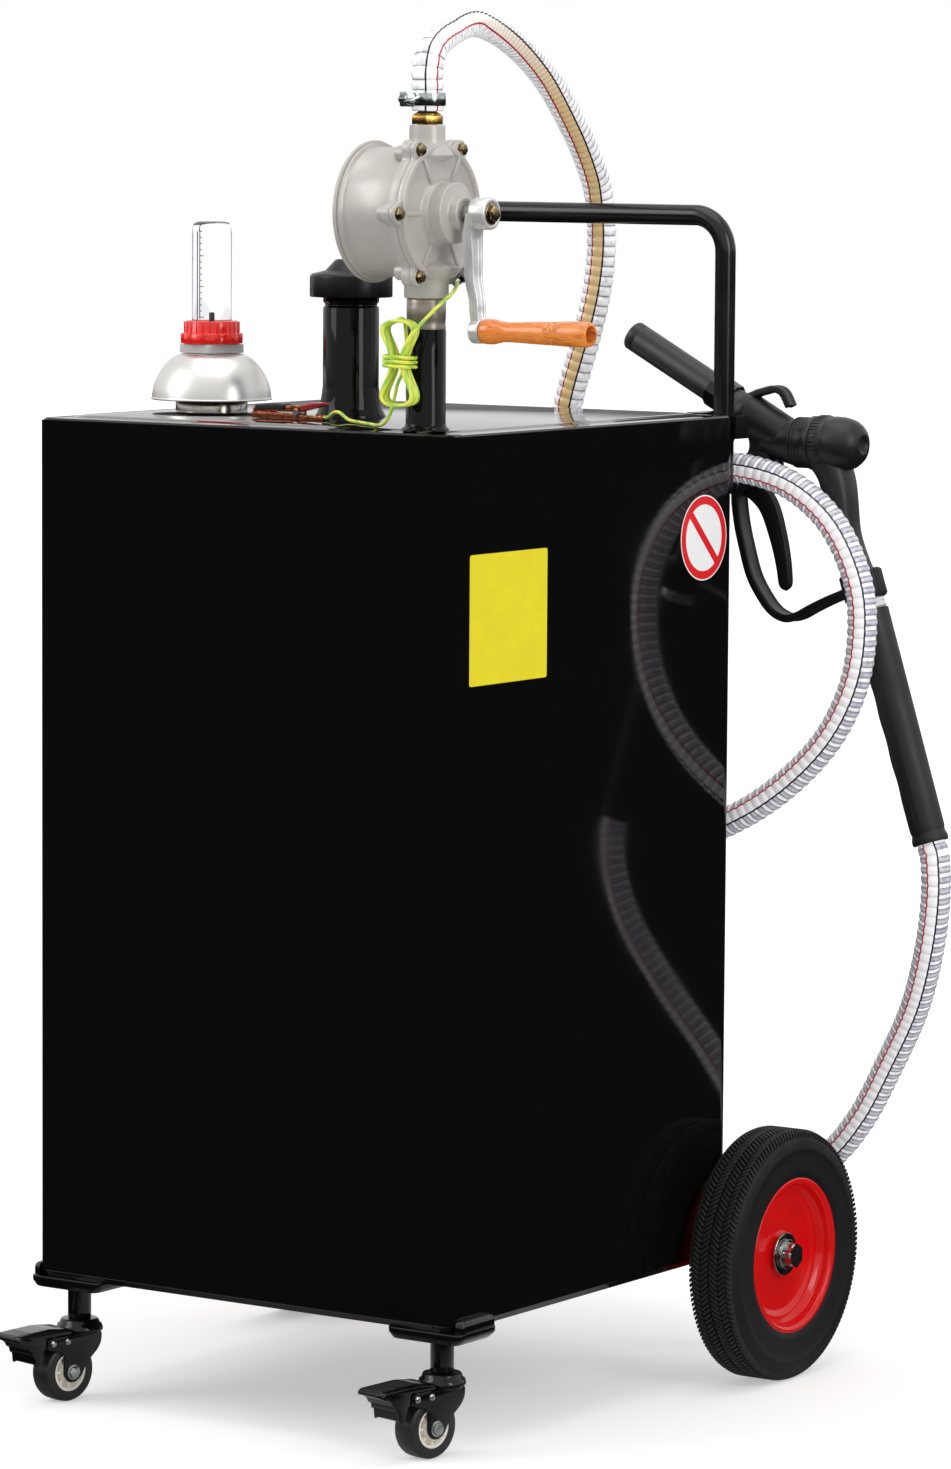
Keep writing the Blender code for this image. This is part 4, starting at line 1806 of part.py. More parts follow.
def earth_lead():
    angle = -math.pi / 2 + 2 * math.pi * EARTH_BOLT / LOBE_COUNT
    bolt_y = SUCTION_Y + LOBE_CIRCLE * math.sin(angle)
    bolt_z = TANK_TOP + PUMP_RISE + LOBE_CIRCLE * math.cos(angle)
    face = PUMP_BACK + PUMP_LENGTH + SEAT + COVER_PLATE + COVER_RIM + SEAT
    hank = hank_line()
    entry = (hank[0] - hank[1]).normalized()
    leave = (hank[-1] - hank[-2]).normalized()
    ring_x = face + TERMINAL_THICK / 2
    away = Vector((0, -math.cos(TERMINAL_TURN), -math.sin(TERMINAL_TURN)))
    bolt = Vector((ring_x, bolt_y, bolt_z))
    upper = [bolt + away * (TERMINAL_RADIUS + EARTH_RADIUS * times) for times in (2, 3)]
    upper += from_pump(EARTH_UPPER)
    upper += [hank[0] + entry * 4 * EARTH_RADIUS, hank[0] + entry * 3 * RUN]
    lead = placed("earth_cable_upper", cable(smooth(upper, 2 * HANK_PITCH), EARTH_RADIUS))
    eye = placed("earth_terminal", sleeve(
        TERMINAL_RADIUS, BOLT_HEAD / 2 + SEAT, 0, TERMINAL_THICK, SMALL_SIDES
    ), along_x(face, bolt_y, bolt_z))
    tongue = placed("earth_terminal_tongue", block(
        (TERMINAL_RADIUS - WELD, -EARTH_RADIUS, 0),
        (TERMINAL_RADIUS + EARTH_RADIUS * 3, EARTH_RADIUS, TERMINAL_THICK),
    ), along_x(face, bolt_y, bolt_z) @ Matrix.Rotation(-math.pi / 2 + TERMINAL_TURN, 4, "Z"))
    join(lead, tongue, eye)

    placed("earth_hank", cable(hank, EARTH_RADIUS))
    print_least_gap("earth_hank", hank, EARTH_RADIUS)
    lower = [hank[-1] + leave * 3 * RUN, hank[-1] + leave * 4 * EARTH_RADIUS]
    lower += from_pump(EARTH_LOWER)
    placed("earth_cable_lower", cable(smooth(lower, 3 * HANK_PITCH), EARTH_RADIUS))

    clip_x, clip_y = CLIP_PLACE
    base = TANK_TOP + PANEL_RAISE + SEAT
    pin_z = base + JAW_HEIGHT
    half = JAW_WIDTH / 2
    low_outline = [
        (-JAW_LENGTH, base + JAW_HEIGHT), (-JAW_LENGTH, base), (0, base), (TAIL_LENGTH, base),
        (TAIL_LENGTH, base + JAW_HEIGHT / 2), (CLIP_PIN * 2, pin_z - CLIP_PIN * 2), (0, pin_z - CLIP_PIN),
    ]
    fixed = placed("clamp_jaw_fixed", skinned([
        [(clip_x + x, clip_y + y, z) for x, z in low_outline] for y in (-half, half)]))
    cheek_outline = [(-CLIP_PIN * 2, base + EDGE_ROUND), (CLIP_PIN * 2, base + EDGE_ROUND),
                     (CLIP_PIN * 2, pin_z + 2 * CLIP_PIN), (-CLIP_PIN * 2, pin_z + 2 * CLIP_PIN)]
    parts = []
    for cheek in (-1, 1):
        low_y, high_y = sorted((cheek * (half - CLIP_PIN), cheek * half))
        parts.append(placed(f"clip_cheek_{cheek}", skinned([
            [(clip_x + x, clip_y + y, z) for x, z in cheek_outline] for y in (low_y, high_y)])))
    parts.append(placed("clip_pin", rod(CLIP_PIN, -half, half, TINY_SIDES), upright(clip_x, clip_y, pin_z)))
    join(fixed, *parts)
    inner = half - CLIP_PIN - RUN
    moving_outline = [
        (-JAW_LENGTH, base + JAW_HEIGHT + SEAT),
        (-CLIP_PIN * 3, base + JAW_HEIGHT + SEAT),
        (-CLIP_PIN * 2, pin_z - CLIP_PIN + RUN),
        (CLIP_PIN * 2, pin_z - CLIP_PIN + RUN),
        (TAIL_LENGTH, pin_z + TAIL_RISE - JAW_HEIGHT / 2),
        (TAIL_LENGTH, pin_z + TAIL_RISE),
        (CLIP_PIN * 2, pin_z + JAW_HEIGHT),
        (-CLIP_PIN * 3, pin_z + JAW_HEIGHT),
        (-JAW_LENGTH, pin_z + JAW_HEIGHT * 0.6),
    ]
    moving = placed("clamp_jaw_moving", skinned([
        [(clip_x + x, clip_y + y, z) for x, z in moving_outline] for y in (-inner, inner)]))
    cut(moving, placed("clip_bore", rod(
        CLIP_PIN + RUN, -JAW_WIDTH, JAW_WIDTH, SMALL_SIDES), upright(clip_x, clip_y, pin_z)))


def stand_on_origin():
    """Parents each piece to a root placed so that the box of the rigid pieces is centred."""
    bpy.context.view_layer.update()
    loose = (
        "hose", "earth_cable_upper", "earth_hank", "earth_cable_lower", "clamp_jaw_fixed", "clamp_jaw_moving",
    )
    graph = bpy.context.evaluated_depsgraph_get()
    points = []
    for made in bpy.context.scene.objects:
        if made.hide_render or made.name in loose:
            continue
        mesh = made.evaluated_get(graph).to_mesh()
        points += [made.matrix_world @ vertex.co for vertex in mesh.vertices]
        made.evaluated_get(graph).to_mesh_clear()
    middle = [(max(p[axis] for p in points) + min(p[axis] for p in points)) / 2 for axis in (0, 1)]
    root = bpy.data.objects.new("fuel_caddy", None)
    bpy.context.scene.collection.objects.link(root)
    for made in list(bpy.context.scene.objects):
        if made is not root:
            made.parent = root
    root.location = (-middle[0], -middle[1], -min(p[2] for p in points))
    bpy.context.view_layer.update()


def main():
    for old in list(bpy.data.objects):
        bpy.data.objects.remove(old)
    tank()
    filler()
    gauge()
    suction()
    pump()
    crank()
    delivery()
    handle()
    nozzle()
    wheels()
    casters()
    earth_lead()
    stand_on_origin()


main()
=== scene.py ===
"""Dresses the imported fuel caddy: a black steel tank on two red wheels and two
braked casters, with a cast hand pump, a ribbed hose, a nozzle and a level gauge.

Sizes are in millimetres in the tank's own frame (x, y from the tank's middle, z
from the floor). The workshop turns them into the row's metres."""

from __future__ import annotations

import json
import logging
import math
from dataclasses import dataclass
from enum import Enum
from typing import Sequence

import bmesh
import bpy
from mathutils import Matrix, Vector

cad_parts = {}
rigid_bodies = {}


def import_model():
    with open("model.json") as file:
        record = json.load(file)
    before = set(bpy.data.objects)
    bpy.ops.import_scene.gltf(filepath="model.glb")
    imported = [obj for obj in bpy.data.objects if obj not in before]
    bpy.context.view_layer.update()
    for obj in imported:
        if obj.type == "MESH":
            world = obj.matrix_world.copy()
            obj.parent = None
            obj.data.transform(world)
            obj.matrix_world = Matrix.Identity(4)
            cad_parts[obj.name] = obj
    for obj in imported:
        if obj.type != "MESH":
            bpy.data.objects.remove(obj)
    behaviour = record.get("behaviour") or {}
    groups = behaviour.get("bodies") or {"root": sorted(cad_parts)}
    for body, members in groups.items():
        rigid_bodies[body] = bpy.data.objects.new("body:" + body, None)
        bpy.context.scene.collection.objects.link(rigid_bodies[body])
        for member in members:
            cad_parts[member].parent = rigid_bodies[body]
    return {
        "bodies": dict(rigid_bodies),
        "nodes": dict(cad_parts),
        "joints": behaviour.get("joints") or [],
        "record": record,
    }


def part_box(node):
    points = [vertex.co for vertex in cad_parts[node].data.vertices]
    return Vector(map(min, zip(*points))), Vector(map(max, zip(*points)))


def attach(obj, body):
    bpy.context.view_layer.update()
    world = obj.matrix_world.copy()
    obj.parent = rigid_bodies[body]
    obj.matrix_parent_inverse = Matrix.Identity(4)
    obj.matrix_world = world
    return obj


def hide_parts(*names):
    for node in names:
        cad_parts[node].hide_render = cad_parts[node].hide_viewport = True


LOG = logging.getLogger("fuel_caddy")
MM = 0.001
Pair = tuple[float, float]
Triple = tuple[float, float, float]
Route = tuple[Triple, ...]
Shape = bmesh.types.BMesh
Tree = bpy.types.NodeTree
Socket = bpy.types.NodeSocket
Node = bpy.types.Node
Outline = Sequence[Pair]
Line = Sequence[Vector]


class Body(str, Enum):
    """The CAD bodies that pieces ride on."""

    CHASSIS = "chassis"
    CRANK = "crank"
    GRIP = "grip"
    CAP = "cap"
    FLOAT = "float"
    INDICATOR = "indicator"
    LEVER = "lever"
    CLAMP = "clamp"


# Shader helpers.


def linear(colour: str) -> tuple[float, float, float, float]:
    """Turns an sRGB hex colour into linear values.

    Args:
        colour: a mark and six hex digits.

    Returns:
        Red, green, blue and an alpha of 1.
    """
    values = [int(colour[place:place + 2], 16) / 255 for place in (1, 3, 5)]
    return (*[v / 12.92 if v <= 0.04045 else ((v + 0.055) / 1.055) ** 2.4 for v in values], 1.0)


def emptied(owner: bpy.types.Material | bpy.types.World) -> Tree:
    """Gives a material or a world an empty node tree."""
    owner.use_nodes = True
    owner.node_tree.nodes.clear()
    return owner.node_tree


def add_node(tree: Tree, kind: str, inputs: dict | None = None, **settings) -> Node:
    """Adds one node with its settings and links.

    Args:
        tree: the tree it goes in.
        kind: the node's Blender type.
        inputs: input names or numbers, each with a value or the socket that feeds it.
        settings: attributes of the node.

    Returns:
        The new node.
    """
    made = tree.nodes.new(kind)
    for name, value in settings.items():
        setattr(made, name, value)
    for name, value in (inputs or {}).items():
        socket = made.inputs[name]
        if isinstance(value, Socket):
            tree.links.new(value, socket)
        else:
            socket.default_value = value
    return made


def calc(tree: Tree, operation: str, *values: object, **settings) -> Socket:
    """Adds one math node.

    Args:
        tree: the tree it goes in.
        operation: what it works out.
        values: numbers or the sockets that feed it, in order.
        settings: other attributes of the node.

    Returns:
        The result.
    """
    return add_node(
        tree, "ShaderNodeMath", dict(enumerate(values)), operation=operation, **settings).outputs[0]


def ramp(tree: Tree, factor: Socket, stops: Sequence[tuple[float, str]], constant: bool = False) -> Socket:
    """Adds a colour ramp.

    Args:
        tree: the tree it goes in.
        factor: what drives the ramp.
        stops: places and hex colours, in order.
        constant: whether the colours change in steps.

    Returns:
        The ramp's colour.
    """
    made = add_node(tree, "ShaderNodeValToRGB", {"Fac": factor})
    band = made.color_ramp
    band.interpolation = "CONSTANT" if constant else "LINEAR"
    while len(band.elements) < len(stops):
        band.elements.new(0.5)
    for element, (place, colour) in zip(band.elements, stops):
        element.position, element.color = place, linear(colour)
    return made.outputs["Color"]


def spread(tree: Tree, factor: Socket, low: float, high: float, source: Pair = (0.3, 0.7)) -> Socket:
    """Maps a value onto a range.

    Args:
        tree: the tree it goes in.
        factor: the value, such as a noise.
        low: the result at the source's low end.
        high: the result at its high end.
        source: the part of the value's own range that is used.

    Returns:
        The mapped value.
    """
    return add_node(
        tree, "ShaderNodeMapRange", {"Value": factor, "From Min": source[0], "From Max": source[1],
        "To Min": low, "To Max": high}).outputs["Result"]


# Finishes.


@dataclass(frozen=True)
class Finish:
    """A real material with its mottling, its grain and its own gloss.

    The mottle is the slow change of colour over the part. The grain is the fine
    relief that the surface was left with. Both are real sizes in millimetres.
    """

    name: str
    colour: str
    roughness: float = 0.4
    metallic: float = 0.0
    specular: float = 0.5
    ior: float = 1.5
    coat: float = 0.0
    mottle: str = ""
    mottle_mm: float = 40.0
    gloss_spread: float = 0.06
    grain_mm: float = 1.0
    grain_height: float = 0.02
    stretch: Triple = (1.0, 1.0, 1.0)

    def material(self) -> bpy.types.Material:
        """Makes the material, or returns it if it is made."""
        found = bpy.data.materials.get(self.name)
        if found:
            return found
        made = bpy.data.materials.new(self.name)
        tree = emptied(made)
        shader = add_node(tree, "ShaderNodeBsdfPrincipled")
        add_node(tree, "ShaderNodeOutputMaterial", {"Surface": shader.outputs["BSDF"]})
        for name, value in (
                ("Base Color", linear(self.colour)), ("Metallic", self.metallic),
                ("Roughness", self.roughness), ("IOR", self.ior), ("Specular IOR Level", self.specular),
                ("Coat Weight", self.coat), ("Coat Roughness", 0.06)):
            shader.inputs[name].default_value = value
        made.diffuse_color = linear(self.colour)
        made.roughness = self.roughness
        made.metallic = self.metallic
        self.paint(tree, shader)
        return made

    def place(self, tree: Tree) -> Socket:
        """The Object coordinates, drawn out along the grain."""
        return add_node(
            tree, "ShaderNodeMapping", {"Vector": add_node(tree, "ShaderNodeTexCoord").outputs["Object"],
            "Scale": self.stretch}).outputs["Vector"]

    def noise(self, tree: Tree, size_mm: float, detail: float = 3.0) -> Socket:
        """A noise whose blotches have a real size in millimetres."""
        return add_node(
            tree, "ShaderNodeTexNoise", {"Vector": self.place(tree), "Scale": 1 / (size_mm * MM),
            "Detail": detail, "Roughness": 0.55}).outputs["Fac"]

    def bump(self, tree: Tree, shader: Node, height: Socket, depth_mm: float) -> None:
        """Gives the shader a relief of a real depth in millimetres."""
        made = add_node(
            tree, "ShaderNodeBump", {"Height": height, "Distance": depth_mm * MM, "Strength": 1.0})
        tree.links.new(made.outputs["Normal"], shader.inputs["Normal"])

    def paint(self, tree: Tree, shader: Node) -> None:
        """Adds the mottle, the change of gloss and the grain."""
        slow = self.noise(tree, self.mottle_mm)
        if self.mottle:
            blend = ramp(tree, slow, ((0.3, self.colour), (0.72, self.mottle)))
            tree.links.new(blend, shader.inputs["Base Color"])
        gloss = spread(
            tree, slow, max(0.02, self.roughness - self.gloss_spread), self.roughness + self.gloss_spread)
        tree.links.new(gloss, shader.inputs["Roughness"])
        if self.grain_height:
            self.bump(tree, shader, self.noise(tree, self.grain_mm, 2.0), self.grain_height)


@dataclass(frozen=True)
class SpunMetal(Finish):
    """Sheet metal spun on a lathe: fine rings round its own axis."""

    ring_mm: float = 0.9

    def paint(self, tree: Tree, shader: Node) -> None:
        """Adds the lathe's rings to the gloss and the relief."""
        rings = add_node(
            tree, "ShaderNodeTexWave", {"Vector": self.place(tree), "Scale": 1 / (self.ring_mm * MM * 6.28),
            "Distortion": 0.6, "Detail": 2.0, "Detail Scale": 3.0}, wave_type="RINGS",
            rings_direction="Z").outputs["Fac"]
        gloss = spread(tree, rings, self.roughness - 0.04, self.roughness + 0.08, (0, 1))
        tree.links.new(gloss, shader.inputs["Roughness"])
        self.bump(tree, shader, rings, self.grain_height)


@dataclass(frozen=True)
class VarnishedWood(Finish):
    """Turned hardwood under clear varnish: long dark pores and slow growth bands."""

    pore: str = "#e6762a"

    def paint(self, tree: Tree, shader: Node) -> None:
        """Adds the bands and the pores along the grip."""
        bands = self.noise(tree, self.mottle_mm, 4.0)
        pores = self.noise(tree, self.grain_mm, 6.0)
        base = ramp(tree, bands, ((0.3, self.colour), (0.55, self.mottle), (0.75, self.pore)))
        dark = ramp(tree, pores, ((0.34, "#c8c8c8"), (0.5, "#ffffff")))
        mixed = add_node(
            tree, "ShaderNodeMix", {0: 1.0, 6: base, 7: dark}, data_type="RGBA", blend_type="MULTIPLY")
        tree.links.new(mixed.outputs[2], shader.inputs["Base Color"])
        self.bump(tree, shader, pores, self.grain_height)


@dataclass(frozen=True)
class ClearPlastic(Finish):
    """Clear moulded plastic, seen through, with faint flow lines along its length."""

    def paint(self, tree: Tree, shader: Node) -> None:
        """Lets the light through and adds the flow lines."""
        shader.inputs["Transmission Weight"].default_value = 1.0
        self.bump(tree, shader, self.noise(tree, self.grain_mm, 1.0), self.grain_height)


@dataclass(frozen=True)
class DyedPlastic(Finish):
    """Coloured plastic that lets some light through, so its edges glow."""

    through: float = 0.25

    def paint(self, tree: Tree, shader: Node) -> None:
        """Lets part of the light through over the plain finish."""
        Finish.paint(self, tree, shader)
        shader.inputs["Transmission Weight"].default_value = self.through


@dataclass(frozen=True)
class StripedWire(Finish):
    """Two colour insulation on a thin wire: green over yellow, along its length."""

    stripe: str = "#a4dc58"
    turn_mm: float = 26.0

    def paint(self, tree: Tree, shader: Node) -> None:
        """Draws the stripe from the wire's own UV map, which turns slowly along it."""
        own = add_node(tree, "ShaderNodeUVMap", uv_map="run")
        parts = add_node(tree, "ShaderNodeSeparateXYZ", {"Vector": own.outputs["UV"]})
        turns = calc(tree, "MULTIPLY_ADD", parts.outputs["Y"], 1 / self.turn_mm, parts.outputs["X"])
        colour = ramp(
            tree, calc(tree, "FRACT", turns), ((0.0, self.colour), (0.6, self.colour), (0.64, self.stripe),
            (0.96, self.stripe), (1.0, self.colour)))
        tree.links.new(colour, shader.inputs["Base Color"])
        self.bump(tree, shader, self.noise(tree, self.grain_mm), self.grain_height)


@dataclass(frozen=True)
class ReinforcedHose(Finish):
    """Clear plastic hose over a wire spiral, with a white band between a blue and a red line, and a faint
    painted glow of its own colour.

    The UV map holds the share round the hose and the length along it in millimetres.
    """

    pitch_mm: float = 8.2
    block: str = "#8a8595"
    amber: str = "#dfc08c"
    band: Pair = (0.47, 0.62)
    wound_mm: Pair = (1000.0, 1010.0)

    def paint(self, tree: Tree, shader: Node) -> None:
        """Draws the ribs, with painted shade darkening the valleys between them, the wire seen between the
        ribs, the band and its two lines.
        """
        own = add_node(tree, "ShaderNodeUVMap", uv_map="run")
        parts = add_node(tree, "ShaderNodeSeparateXYZ", {"Vector": own.outputs["UV"]})
        length = parts.outputs["Y"]
        share = calc(tree, "FRACT", calc(tree, "MULTIPLY", length, 1 / self.pitch_mm))
        blotch = self.noise(tree, 5.0, 4.0)

        def blend(factor: object, first: object, second: object, kind: str = "MIX") -> Socket:
            """Mixes two colours."""
            return add_node(
                tree, "ShaderNodeMix", {0: factor, 6: first, 7: second}, data_type="RGBA",
                blend_type=kind).outputs[2]

        # Painted shade: the colour darkens in each valley between the ribs, where the hose dips in.
        line = ramp(
            tree, share, ((0.0, "#5d5a66"), (0.07, "#dddbe1"), (0.2, "#ffffff"), (0.8, "#ffffff"),
            (0.93, "#dddbe1"), (1.0, "#5d5a66")))
        cell = ramp(
            tree, share, ((0.0, "#ffffff"), (0.14, "#ffffff"), (0.2, self.block), (0.5, "#d3d0da"),
            (0.8, self.block), (0.86, "#ffffff")))
        wire = ramp(tree, blotch, ((0.38, "#b9b4c2"), (0.5, "#ffffff")))
        wound = spread(tree, length, 0.0, 1.0, self.wound_mm)
        around = add_node(
            tree, "ShaderNodeMix", {0: wound, 2: parts.outputs["X"], 3: calc(tree, "SUBTRACT", 1.0,
            parts.outputs["X"])}, data_type="FLOAT").outputs[0]
        clear = blend(0.5, blend(wound, line, cell), wire, "MULTIPLY")
        stain = ramp(
            tree, calc(tree, "MULTIPLY", length, 0.0005), ((0.0, "#f7f5f6"), (0.1, "#f3ebdd"),
            (0.2, self.amber), (0.42, self.amber), (0.52, "#f7f5f6"), (1.0, "#fbfafb")))
        band = ramp(
            tree, around, ((0.0, "#000000"), (self.band[0], "#ffffff"), (self.band[1], "#000000")), True)
        low, high = self.band
        edges = ramp(
            tree, around, ((0.0, "#ffffff"), (low, "#23283f"), (low + 0.022, "#ffffff"),
            (high - 0.02, "#c2202e"), (high, "#ffffff")), True)
        # The painted shade of the valleys lies over the printed band too.
        printed = blend(0.35, blend(1.0, stain, edges, "MULTIPLY"), line, "MULTIPLY")
        whole = blend(band, clear, printed)
        tree.links.new(whole, shader.inputs["Base Color"])
        # Painted glow: the hose's whole colour is also given off as light, though it is no lamp.
        tree.links.new(whole, shader.inputs["Emission Color"])
        shader.inputs["Emission Strength"].default_value = 0.22
        tree.links.new(spread(tree, blotch, 0.08, 0.3), shader.inputs["Roughness"])
        self.bump(tree, shader, blotch, self.grain_height)


class Finishes:
    """Every finish on the caddy, named for what it really is."""

    # Polyester powder coat, baked on: deep gloss with a fine orange peel.
    POWDER_COAT = Finish(
        "powder_coated_steel_black", "#0b0b0c", 0.07, specular=0.42, coat=0.1, gloss_spread=0.03,
        mottle_mm=90, grain_mm=3.0, grain_height=0.004)
    # The powder coat again on the filler neck and the standpipe, as a darker copy with less gloss: painted
    # shade that keeps the pipes black between two thin lights.
    SHADED_PIPE_COAT = Finish(
        "powder_coat_pipe_shaded_copy", "#070708", 0.06, specular=0.17, gloss_spread=0.02, grain_mm=3.0,
        grain_height=0.002)
    # The same coat on tube and brackets, sprayed thinner, so a little duller.
    TUBE_COAT = Finish(
        "powder_coated_tube_black", "#101011", 0.2, specular=0.4, gloss_spread=0.05, grain_mm=1.6,
        grain_height=0.01)
    # Moulded cap: satin, with the mould's fine texture.
    CAP_PLASTIC = Finish(
        "moulded_nylon_black", "#0c0c0d", 0.34, specular=0.3, gloss_spread=0.08, grain_mm=0.8,
        grain_height=0.03)
    SPUN_ALUMINIUM = SpunMetal("spun_aluminium", "#d4d4d6", 0.3, metallic=1.0, grain_height=0.006)
    # Turned steel bung: bright, with tool marks.
    TURNED_STEEL = Finish(
        "turned_steel_bright", "#b9b3ab", 0.17, metallic=1.0, mottle="#8c857c", mottle_mm=14,
        gloss_spread=0.05, grain_mm=0.7, grain_height=0.006, stretch=(1, 1, 6))
    # Bare pipe under oil: warm grey, brushed round.
    RAW_PIPE = Finish(
        "oiled_steel_pipe", "#9a9186", 0.32, metallic=0.55, mottle="#7d756b", mottle_mm=18, grain_mm=0.8,
        grain_height=0.01, stretch=(1, 1, 5))
    GAUGE_PLATE = Finish(
        "moulded_acetal_grey", "#c9c9ca", 0.35, gloss_spread=0.05, grain_mm=0.7, grain_height=0.01)
    RED_PLASTIC = DyedPlastic(
        "translucent_polycarbonate_red", "#ff1d12", 0.16, coat=0.3, gloss_spread=0.04, grain_mm=2.0,
        grain_height=0.006, through=0.08)
    CLEAR_TUBE = ClearPlastic(
        "clear_acrylic", "#f3f3f8", 0.03, ior=1.38, grain_mm=9.0, grain_height=0.01, stretch=(1, 1, 0.1))
    PRINT_INK = Finish("screen_print_ink_grey", "#77777b", 0.5, grain_height=0.0)
    INDICATOR = Finish("acetal_black", "#1c1c1e", 0.4, grain_mm=0.6, grain_height=0.01)
    # Sand cast aluminium under a thin warm grey lacquer.
    CAST_GREY = Finish(
        "cast_aluminium_lacquered", "#c6c2bd", 0.33, metallic=0.15, specular=0.5, mottle="#bcb7b1",
        mottle_mm=40, gloss_spread=0.07, grain_mm=1.1, grain_height=0.035)
    # Die cast aluminium, tumbled bright: sharp streaks along the arm.
    CAST_BRIGHT = Finish(
        "cast_aluminium_tumbled", "#eceded", 0.26, metallic=0.5, mottle="#dddfe1", mottle_mm=14,
        gloss_spread=0.06, grain_mm=1.2, grain_height=0.015, stretch=(1, 1, 0.4))
    # Zinc plate with a yellow passivate: gold with brown and green shadows.
    YELLOW_ZINC = Finish(
        "yellow_passivated_zinc", "#b9a67f", 0.24, metallic=1.0, mottle="#6f6046", mottle_mm=3.5,
        gloss_spread=0.08, grain_mm=0.5, grain_height=0.02)
    ZINC = Finish(
        "bright_zinc_plate", "#c3c7c6", 0.2, metallic=1.0, mottle="#8f9694", mottle_mm=7, gloss_spread=0.07,
        grain_mm=0.6, grain_height=0.015)
    BRASS = Finish(
        "turned_brass", "#d9b163", 0.24, metallic=1.0, mottle="#a97e3a", mottle_mm=6, gloss_spread=0.07,
        grain_mm=0.5, grain_height=0.015)
    WOOD = VarnishedWood(
        "varnished_beech_orange", "#fb9a45", 0.28, coat=0.55, specular=0.5, mottle="#f58a35", mottle_mm=5.0,
        grain_mm=1.3, grain_height=0.03, stretch=(0.12, 1, 1))
    HOSE = ReinforcedHose(
        "clear_pvc_hose_wire_wound", "#f2f1f4", 0.16, specular=0.6, coat=0.25, grain_mm=1.6,
        grain_height=0.12)
    TYRE = Finish(
        "moulded_rubber_black", "#161617", 0.6, specular=0.3, mottle="#101011", mottle_mm=16,
        gloss_spread=0.08, grain_mm=1.0, grain_height=0.05)
    TREAD = Finish(
        "worn_tread_rubber", "#242426", 0.66, specular=0.3, mottle="#1b1b1c", mottle_mm=9, gloss_spread=0.08,
        grain_mm=1.4, grain_height=0.07)
    RIM_RED = Finish(
        "gloss_enamel_red", "#e50a0c", 0.2, specular=0.35, coat=0.12, mottle="#d6090b", mottle_mm=50,
        gloss_spread=0.03, grain_mm=4.0, grain_height=0.008)
    CASTER_TREAD = Finish(
        "cast_polyurethane_grey", "#262628", 0.38, specular=0.45, mottle="#1e1e20", mottle_mm=12,
        gloss_spread=0.06, grain_mm=0.8, grain_height=0.015)
    CASTER_CORE = Finish(
        "moulded_polypropylene_ivory", "#fbf7ec", 0.3, mottle="#efe9da", mottle_mm=9, grain_mm=0.8,
        grain_height=0.01)
    PEDAL_COAT = Finish(
        "lacquered_steel_black", "#0a0a0b", 0.14, specular=0.3, coat=0.12, gloss_spread=0.05, grain_mm=1.2,
        grain_height=0.012)
    # Glass filled nylon: satin black with a slight leather of the mould.
    NOZZLE_NYLON = Finish(
        "glass_filled_nylon_black", "#1b1b1c", 0.4, specular=0.42, gloss_spread=0.08, mottle="#161617",
        mottle_mm=22, grain_mm=0.9, grain_height=0.04)
    SPOUT_COAT = Finish(
        "anodised_aluminium_black", "#242426", 0.42, specular=0.5, gloss_spread=0.04, mottle="#1d1d1f",
        mottle_mm=20, grain_mm=0.7, grain_height=0.015)
    GRIP_RUBBER = Finish(
        "moulded_rubber_grip", "#1e1e1f", 0.5, specular=0.4, gloss_spread=0.07, grain_mm=0.8,
        grain_height=0.03)
    EARTH_WIRE = StripedWire("striped_pvc_wire", "#f1f35c", 0.34, grain_mm=0.7, grain_height=0.01)
    COPPER = Finish(
        "copper_plated_steel", "#9c5c42", 0.28, metallic=1.0, mottle="#4f2b21", mottle_mm=4, gloss_spread=0.1,
        grain_mm=0.5, grain_height=0.02)
    RED_SLEEVE = Finish(
        "soft_pvc_sleeve_red", "#b8241f", 0.25, coat=0.3, mottle="#8d1714", mottle_mm=7, grain_mm=1.5,
        grain_height=0.03)
    BLACK_BOOT = Finish(
        "soft_pvc_boot_black", "#19191b", 0.36, gloss_spread=0.06, grain_mm=1.0, grain_height=0.03)
    LABEL_YELLOW = Finish(
        "vinyl_label_yellow", "#f7e71c", 0.4, mottle="#efdd18", mottle_mm=30, grain_mm=2.0,
        grain_height=0.004)
    LABEL_WHITE = Finish("vinyl_label_white", "#ffffff", 0.4, grain_mm=2.0, grain_height=0.004)
    LABEL_RED = Finish(
        "vinyl_label_red", "#f0141f", 0.4, mottle="#e4121c", mottle_mm=20, grain_mm=2.0, grain_height=0.004)


# Shape helpers.


def merge(*parts: Shape) -> Shape:
    """Joins shapes into one.

    Args:
        parts: the shapes; all are used up.

    Returns:
        The one that holds them all.
    """
    whole = bmesh.new()
    whole.loops.layers.uv.new("run")
    for part in parts:
        part.loops.layers.uv.get("run") or part.loops.layers.uv.new("run")
        mesh = meshed("carrier", part)
        whole.from_mesh(mesh)
        bpy.data.meshes.remove(mesh)
    return whole


def meshed(name: str, part: Shape) -> bpy.types.Mesh:
    """A mesh made of a shape, which is used up."""
    mesh = bpy.data.meshes.new(name)
    part.to_mesh(mesh)
    part.free()
    return mesh


def linked(name: str, data: bpy.types.ID) -> bpy.types.Object:
    """An object of the data, linked to the scene."""
    made = bpy.data.objects.new(name, data)
    bpy.context.scene.collection.objects.link(made)
    return made


def moved(part: Shape, place: Matrix) -> Shape:
    """Moves a shape by a matrix and returns it.

    Args:
        part: the shape.
        place: the matrix.

    Returns:
        The same shape, moved.
    """
    part.transform(place)
    if place.to_3x3().determinant() < 0:
        bmesh.ops.reverse_faces(part, faces=part.faces)
    return part


def at(x: float, y: float, z: float) -> Matrix:
    """A plain shift."""
    return Matrix.Translation((x, y, z))


def turned(degrees: float, axis: str) -> Matrix:
    """A turn about one axis."""
    return Matrix.Rotation(math.radians(degrees), 4, axis)


